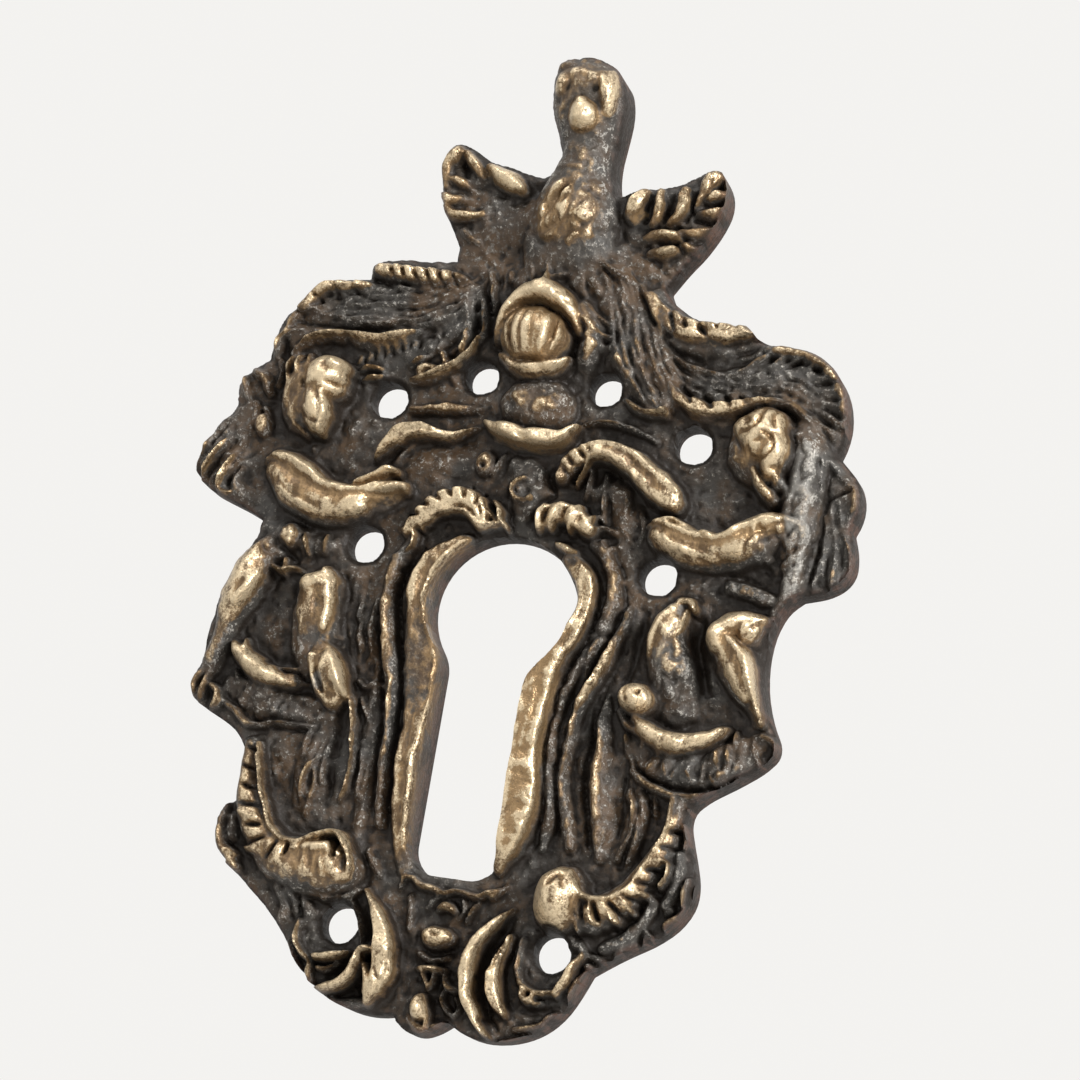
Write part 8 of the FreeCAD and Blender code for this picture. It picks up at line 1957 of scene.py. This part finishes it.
def make_casting(sizes):
    """The casting: the relief's height over the outline, with worn edges, walls and a flat back."""
    low, high = (np.array(corner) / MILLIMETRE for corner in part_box(NODE))
    step = sizes.grid_step / MILLIMETRE
    margin = 4 * step
    relief = carved_relief((low[0] - margin, low[2] - margin), (high[0] + margin, high[2] + margin), step)
    outer, openings = outline_segments(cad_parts[NODE])
    across, up = openings[:, 0], openings[:, 1]
    of_keyhole = (np.abs(across) < KEYHOLE_REACH) & (up > KEYHOLE_FOOT) & (up < KEYHOLE_REACH)
    reach = 2.0
    outer_gap = distance_to(relief, outer, reach)
    keyhole_gap = distance_to(relief, openings[of_keyhole], reach)
    nail_gap = distance_to(relief, openings[~of_keyhole], reach)
    inside = within(relief, np.concatenate([outer, openings]))
    gap = np.where(inside, 1, -1) * np.minimum(outer_gap, np.minimum(keyhole_gap, nail_gap))
    edges_worn = ((outer_gap, sizes.outer_edge), (keyhole_gap, sizes.cut_edge), (nail_gap, sizes.nail_edge))
    height = worn_height(relief, edges_worn, sizes)
    places, quads, edges = net_over(relief, gap)
    front = np.stack([places[:, 0], -sampled(relief, height, places), places[:, 1]], axis=1) * MILLIMETRE
    piece = bpy.data.objects.new("casting", closed_mesh("casting", front, quads, edges))
    bpy.context.scene.collection.objects.link(piece)
    thinned(piece, sizes.triangles)
    mesh = piece.data
    mesh.polygons.foreach_set("use_smooth", np.ones(len(mesh.polygons), bool))
    mesh.set_sharp_from_angle(angle=math.radians(SMOOTH_BEND))
    paint_masks(mesh, relief, height, outer_gap, nail_gap)
    return piece


class Wiring:
    """Adds and links nodes of one material."""

    def __init__(self, material):
        self.tree = material.node_tree
        self.tree.nodes.clear()

    def node(self, kind, **settings):
        """Adds a node of a kind, with its settings."""
        node = self.tree.nodes.new(kind)
        for name, value in settings.items():
            setattr(node, name, value)
        return node

    def feed(self, socket, value):
        """Links a socket, or sets it where the value is a constant."""
        if isinstance(value, bpy.types.NodeSocket):
            self.tree.links.new(value, socket)
        elif hasattr(value, "__len__") and len(value) == 3 and socket.type == "RGBA":
            socket.default_value = (*value, 1)
        else:
            socket.default_value = value

    def attribute(self, name):
        """One of the mesh's masks."""
        return self.node("ShaderNodeAttribute", attribute_name=name).outputs["Fac"]

    def noise(self, place, size, detail=3.0, roughness=0.55):
        """Noise whose features are about size metres across."""
        node = self.node("ShaderNodeTexNoise")
        self.feed(node.inputs["Vector"], place)
        node.inputs["Scale"].default_value = 1 / size
        node.inputs["Detail"].default_value = detail
        node.inputs["Roughness"].default_value = roughness
        return node.outputs["Fac"]

    def stretched(self, place, share):
        """A place whose height is scaled down, so that noise over it runs in upright streaks."""
        node = self.node("ShaderNodeVectorMath", operation="MULTIPLY")
        self.feed(node.inputs[0], place)
        node.inputs[1].default_value = (1, 1, share)
        return node.outputs["Vector"]

    def ramp(self, value, low, high, to_low=0.0, to_high=1.0):
        """Maps a span of values to another, eased and clamped."""
        node = self.node("ShaderNodeMapRange", interpolation_type="SMOOTHSTEP")
        self.feed(node.inputs["Value"], value)
        node.inputs["From Min"].default_value = low
        node.inputs["From Max"].default_value = high
        node.inputs["To Min"].default_value = to_low
        node.inputs["To Max"].default_value = to_high
        return node.outputs["Result"]

    def maths(self, operation, *values):
        """One operation on numbers."""
        node = self.node("ShaderNodeMath", operation=operation)
        for socket, value in zip(node.inputs, values):
            self.feed(socket, value)
        return node.outputs[0]

    def mix(self, share, first, second):
        """The first colour where the share is 0, and the second where it is 1."""
        node = self.node("ShaderNodeMix", data_type="RGBA")
        self.feed(node.inputs["Factor"], share)
        self.feed(node.inputs["A"], first)
        self.feed(node.inputs["B"], second)
        return node.outputs["Result"]


def shaded(colour, share=1.0):
    """A colour made darker or lighter by a share."""
    return tuple(share * part for part in colour)


def grey_patina(w, place, mottle, fleck, colours):
    """The colour of what isn't rubbed: grey and brown clouds, dark mottling and pale flecks."""
    cloud = w.noise(place, 0.0045, 4.0)
    patina = w.mix(w.ramp(cloud, 0.4, 0.62), shaded(colours.ground), shaded(colours.brown))
    patina = w.mix(w.ramp(mottle, 0.4, 0.7, 0.0, 0.6), patina, shaded(colours.ground, 0.5))
    return w.mix(w.ramp(fleck, 0.5, 0.66, 0.0, 0.75), patina, shaded(colours.ground, 2.6))


def rubbed_gold(w, streak, speck, uncalm, colours):
    """The colour of what is rubbed, and of the light painted on some limbs: bronze with brown streaks, which
    calm down on gilt spots, and specks.
    """
    streaks = w.maths("MULTIPLY", w.ramp(streak, 0.3, 0.6, 0.0, 0.8), uncalm)
    gold = w.mix(streaks, shaded(colours.bronze), shaded(colours.brown))
    return w.mix(w.ramp(speck, 0.55, 0.75, 0.0, 0.6), gold, shaded(colours.ground))


def patinated_bronze(colours):
    """Cast bronze: grey and brown patina, black in the hollows, rubbed to gold on what stands proud.

    Each noise is named for what it draws, from clouds of 4.5 mm down to specks of 0.18 mm. How worn a spot
    is adds up from the mask of rubbing, the gilt mask, which on some limbs also holds painted light and
    shade, and two noises, and it decides between patina, gold and the pale crests. Pale grey glints, which
    are painted highlights, go on the unrubbed skin. The walls and the hollows, with the painted shade at the
    nail holes, are painted over that.
    """
    material = bpy.data.materials.new("patinated_bronze")
    material.use_nodes = True
    w = Wiring(material)
    place = w.node("ShaderNodeTexCoord").outputs["Object"]
    mottle = w.noise(place, 0.0012, 4.0, 0.6)
    fleck = w.noise(place, 0.0004, 3.0, 0.6)
    speck = w.noise(place, 0.00018, 2.0, 0.7)
    streak = w.noise(w.stretched(place, 0.25), 0.0005, 3.0, 0.6)
    rubbed, arris, dark = w.attribute("rubbed"), w.attribute("arris"), w.attribute("dark")
    gilt, wall = w.attribute("gilt"), w.attribute("wall")

    uneven = w.maths("ADD", w.ramp(mottle, 0.3, 0.7, -0.12, 0.12), w.ramp(fleck, 0.3, 0.7, -0.12, 0.12))
    chosen = w.maths("MULTIPLY_ADD", gilt, 0.9, -0.45)
    # worn also takes in the painted light and shade that the gilt mask holds on some limbs
    worn = w.maths("ADD", w.maths("ADD", w.maths("MULTIPLY", rubbed, 0.9), chosen), uneven)
    uncalm = w.ramp(gilt, 0.8, 1.0, 1.0, 0.2)
    patina = grey_patina(w, place, mottle, fleck, colours)
    gold = rubbed_gold(w, streak, speck, uncalm, colours)
    base = w.mix(w.ramp(worn, 0.25, 0.7), patina, gold)

    pale = w.maths("ADD", w.maths("MULTIPLY", arris, 0.8), w.maths("MULTIPLY", worn, 0.36))
    pale = w.maths("ADD", pale, w.ramp(speck, 0.3, 0.7, -0.2, 0.2))
    pale = w.maths("ADD", pale, w.maths("MULTIPLY", w.ramp(streak, 0.3, 0.7, 0.16, -0.16), uncalm))
    base = w.mix(w.ramp(pale, 0.7, 1.28), base, shaded(colours.crest))

    dulled = w.maths("MULTIPLY", w.ramp(gilt, 0.0, 0.3, 0.75, 0.0), w.ramp(rubbed, 0.1, 0.6))
    dulled = w.maths("MULTIPLY", dulled, w.ramp(mottle, 0.35, 0.6, 0.2, 1.0))
    base = w.mix(dulled, base, shaded(colours.glint, 0.6))

    # Painted glints: pale grey specks on the unrubbed skin and its crests, painted highlights where the rough
    # skin would catch the light
    glint = w.maths("ADD", w.maths("MULTIPLY", fleck, 0.5), w.maths("MULTIPLY", speck, 0.6))
    glint = w.maths("ADD", glint, w.maths("MULTIPLY", arris, 0.22))
    glint = w.maths("MULTIPLY", w.ramp(glint, 0.64, 0.74, 0.0, 0.75), w.ramp(worn, 0.1, 0.55, 1.0, 0.0))
    base = w.mix(glint, base, shaded(colours.glint))

    side = w.mix(w.ramp(mottle, 0.4, 0.65), shaded(colours.wall), shaded(colours.hollow))
    base = w.mix(w.maths("MULTIPLY", wall, 0.9), base, side)

    hollow = w.maths("MULTIPLY", dark, w.ramp(gilt, 0.5, 0.95, 1.0, 0.3))
    hollow = w.maths("ADD", hollow, w.ramp(fleck, 0.35, 0.7, -0.15, 0.15))
    base = w.mix(w.ramp(hollow, 0.1, 0.7, 0.0, 0.93), base, shaded(colours.hollow))

    shader = w.node("ShaderNodeBsdfPrincipled")
    w.feed(shader.inputs["Base Color"], base)
    metal = w.maths("MAXIMUM", w.ramp(worn, 0.2, 0.9, 0.15, 0.65), w.maths("MULTIPLY", glint, 0.6))
    w.feed(shader.inputs["Metallic"], metal)
    rough = w.maths("ADD", w.ramp(worn, 0.1, 1.0, 0.55, 0.32), w.ramp(fleck, 0.3, 0.7, -0.08, 0.1))
    w.feed(shader.inputs["Roughness"], rough)
    shader.inputs["Specular IOR Level"].default_value = 0.35
    bump = w.node("ShaderNodeBump")
    bump.inputs["Strength"].default_value = 0.9
    bump.inputs["Distance"].default_value = 0.00013
    skin = w.maths("ADD", w.maths("MULTIPLY", fleck, 0.6), w.maths("MULTIPLY", speck, 0.4))
    w.feed(bump.inputs["Height"], skin)
    w.feed(shader.inputs["Normal"], bump.outputs["Normal"])
    output = w.node("ShaderNodeOutputMaterial")
    w.feed(output.inputs["Surface"], shader.outputs["BSDF"])
    return material


def plain_material(name, shade):
    """A matt material of one colour, for the floor."""
    material = bpy.data.materials.new(name)
    material.use_nodes = True
    shader = material.node_tree.nodes["Principled BSDF"]
    shader.inputs["Base Color"].default_value = (*shade, 1)
    shader.inputs["Roughness"].default_value = 0.8
    return material


def pale_world(settings):
    """A pale backdrop that the camera, metal and glass see, and a softer light for everything else."""
    world = bpy.data.worlds.new("studio")
    world.use_nodes = True
    w = Wiring(world)
    path = w.node("ShaderNodeLightPath")
    light = w.node("ShaderNodeBackground")
    light.inputs["Color"].default_value = (1, 1, 1, 1)
    light.inputs["Strength"].default_value = 0.3
    seen = w.node("ShaderNodeBackground")
    seen.inputs["Color"].default_value = (*settings.backdrop, 1)
    seen.inputs["Strength"].default_value = 1
    shown = w.maths("MAXIMUM", path.outputs["Is Camera Ray"], path.outputs["Is Glossy Ray"])
    shown = w.maths("MAXIMUM", shown, path.outputs["Is Transmission Ray"])
    both = w.node("ShaderNodeMixShader")
    w.feed(both.inputs[0], shown)
    w.feed(both.inputs[1], light.outputs[0])
    w.feed(both.inputs[2], seen.outputs[0])
    output = w.node("ShaderNodeOutputWorld")
    w.feed(output.inputs["Surface"], both.outputs[0])
    bpy.context.scene.world = world


def view_axes(settings):
    """The camera's right, up and backward directions, from its azimuth, elevation and roll."""
    flat = math.cos(settings.elevation)
    back = Vector((math.sin(settings.azimuth) * flat, -math.cos(settings.azimuth) * flat,
                   math.sin(settings.elevation)))
    right = Vector((0, 0, 1)).cross(back).normalized()
    up = back.cross(right)
    c, s = math.cos(settings.roll), math.sin(settings.roll)
    return c * right + s * up, c * up - s * right, back


def add_camera(settings):
    """The camera at the photograph's angle."""
    data = bpy.data.cameras.new("camera")
    data.lens = settings.lens
    data.sensor_width = 36
    data.clip_start = 0.01
    camera = bpy.data.objects.new("camera", data)
    right, up, back = view_axes(settings)
    place = Vector(settings.target) + back * settings.distance
    camera.matrix_world = Matrix.Translation(place) @ Matrix((right, up, back)).transposed().to_4x4()
    bpy.context.scene.collection.objects.link(camera)
    bpy.context.scene.camera = camera


def add_lamp(name, place, size, power, target):
    """A square white area lamp that faces a target."""
    data = bpy.data.lights.new(name, "AREA")
    data.size = size
    data.energy = power
    lamp = bpy.data.objects.new(name, data)
    lamp.location = place
    aim = Vector(target) - Vector(place)
    lamp.rotation_euler = aim.to_track_quat("-Z", "Y").to_euler()
    bpy.context.scene.collection.objects.link(lamp)


def add_floor(settings):
    """The plain pale floor."""
    half = settings.floor_size / 2
    level = -settings.floor_level
    mesh = bpy.data.meshes.new("floor")
    corners = [(-half, -half, level), (half, -half, level), (half, half, level), (-half, half, level)]
    mesh.from_pydata(corners, [], [(0, 1, 2, 3)])
    mesh.materials.append(plain_material("pale_floor", settings.floor_colour))
    floor = bpy.data.objects.new("floor", mesh)
    bpy.context.scene.collection.objects.link(floor)


class ESCUTCHEON_OT_casting(bpy.types.Operator):
    """Build the casting with its relief and patina"""

    bl_idname = "escutcheon.casting"
    bl_label = "Casting"

    def execute(self, context):
        scene = context.scene
        piece = make_casting(scene.escutcheon_casting)
        piece.data.materials.append(patinated_bronze(scene.escutcheon_patina))
        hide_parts(NODE)
        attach(piece, "root")
        return {"FINISHED"}


class ESCUTCHEON_OT_stage(bpy.types.Operator):
    """Set up the floor, the lamps, the backdrop and the camera"""

    bl_idname = "escutcheon.stage"
    bl_label = "Stage"

    def execute(self, context):
        settings = context.scene.escutcheon_stage
        add_floor(settings)
        middle = (0, 0, 0.006)
        add_lamp("key", (0.4, -0.25, 0.16), 0.16, 3.25, middle)
        add_lamp("top", (-0.12, -0.22, 0.45), 0.25, 1.2, middle)
        add_lamp("fill", (-0.4, -0.3, -0.02), 0.35, 0.5, middle)
        pale_world(settings)
        add_camera(settings)
        context.scene.view_settings.view_transform = "Standard"
        return {"FINISHED"}


class ESCUTCHEON_PT_panel(bpy.types.Panel):
    """The escutcheon's pieces and their sizes"""

    bl_idname = "ESCUTCHEON_PT_panel"
    bl_label = "Keyhole escutcheon"
    bl_space_type = "VIEW_3D"
    bl_region_type = "UI"
    bl_category = "Escutcheon"

    def draw(self, context):
        scene = context.scene
        for operator, groups in (("escutcheon.casting", (scene.escutcheon_casting, scene.escutcheon_patina)),
                                 ("escutcheon.stage", (scene.escutcheon_stage,))):
            box = self.layout.box()
            for group in groups:
                for name in group.__annotations__:
                    box.prop(group, name)
            box.operator(operator)


CLASSES = (CastingSettings, PatinaSettings, StageSettings, ESCUTCHEON_OT_casting, ESCUTCHEON_OT_stage,
           ESCUTCHEON_PT_panel)


def register():
    for kind in CLASSES:
        bpy.utils.register_class(kind)
    bpy.types.Scene.escutcheon_casting = PointerProperty(type=CastingSettings)
    bpy.types.Scene.escutcheon_patina = PointerProperty(type=PatinaSettings)
    bpy.types.Scene.escutcheon_stage = PointerProperty(type=StageSettings)


def unregister():
    del bpy.types.Scene.escutcheon_stage
    del bpy.types.Scene.escutcheon_patina
    del bpy.types.Scene.escutcheon_casting
    for kind in reversed(CLASSES):
        bpy.utils.unregister_class(kind)


def main():
    """Builds every piece."""
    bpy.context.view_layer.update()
    register()
    bpy.ops.escutcheon.casting()
    bpy.ops.escutcheon.stage()


if __name__ == "__main__":
    main()
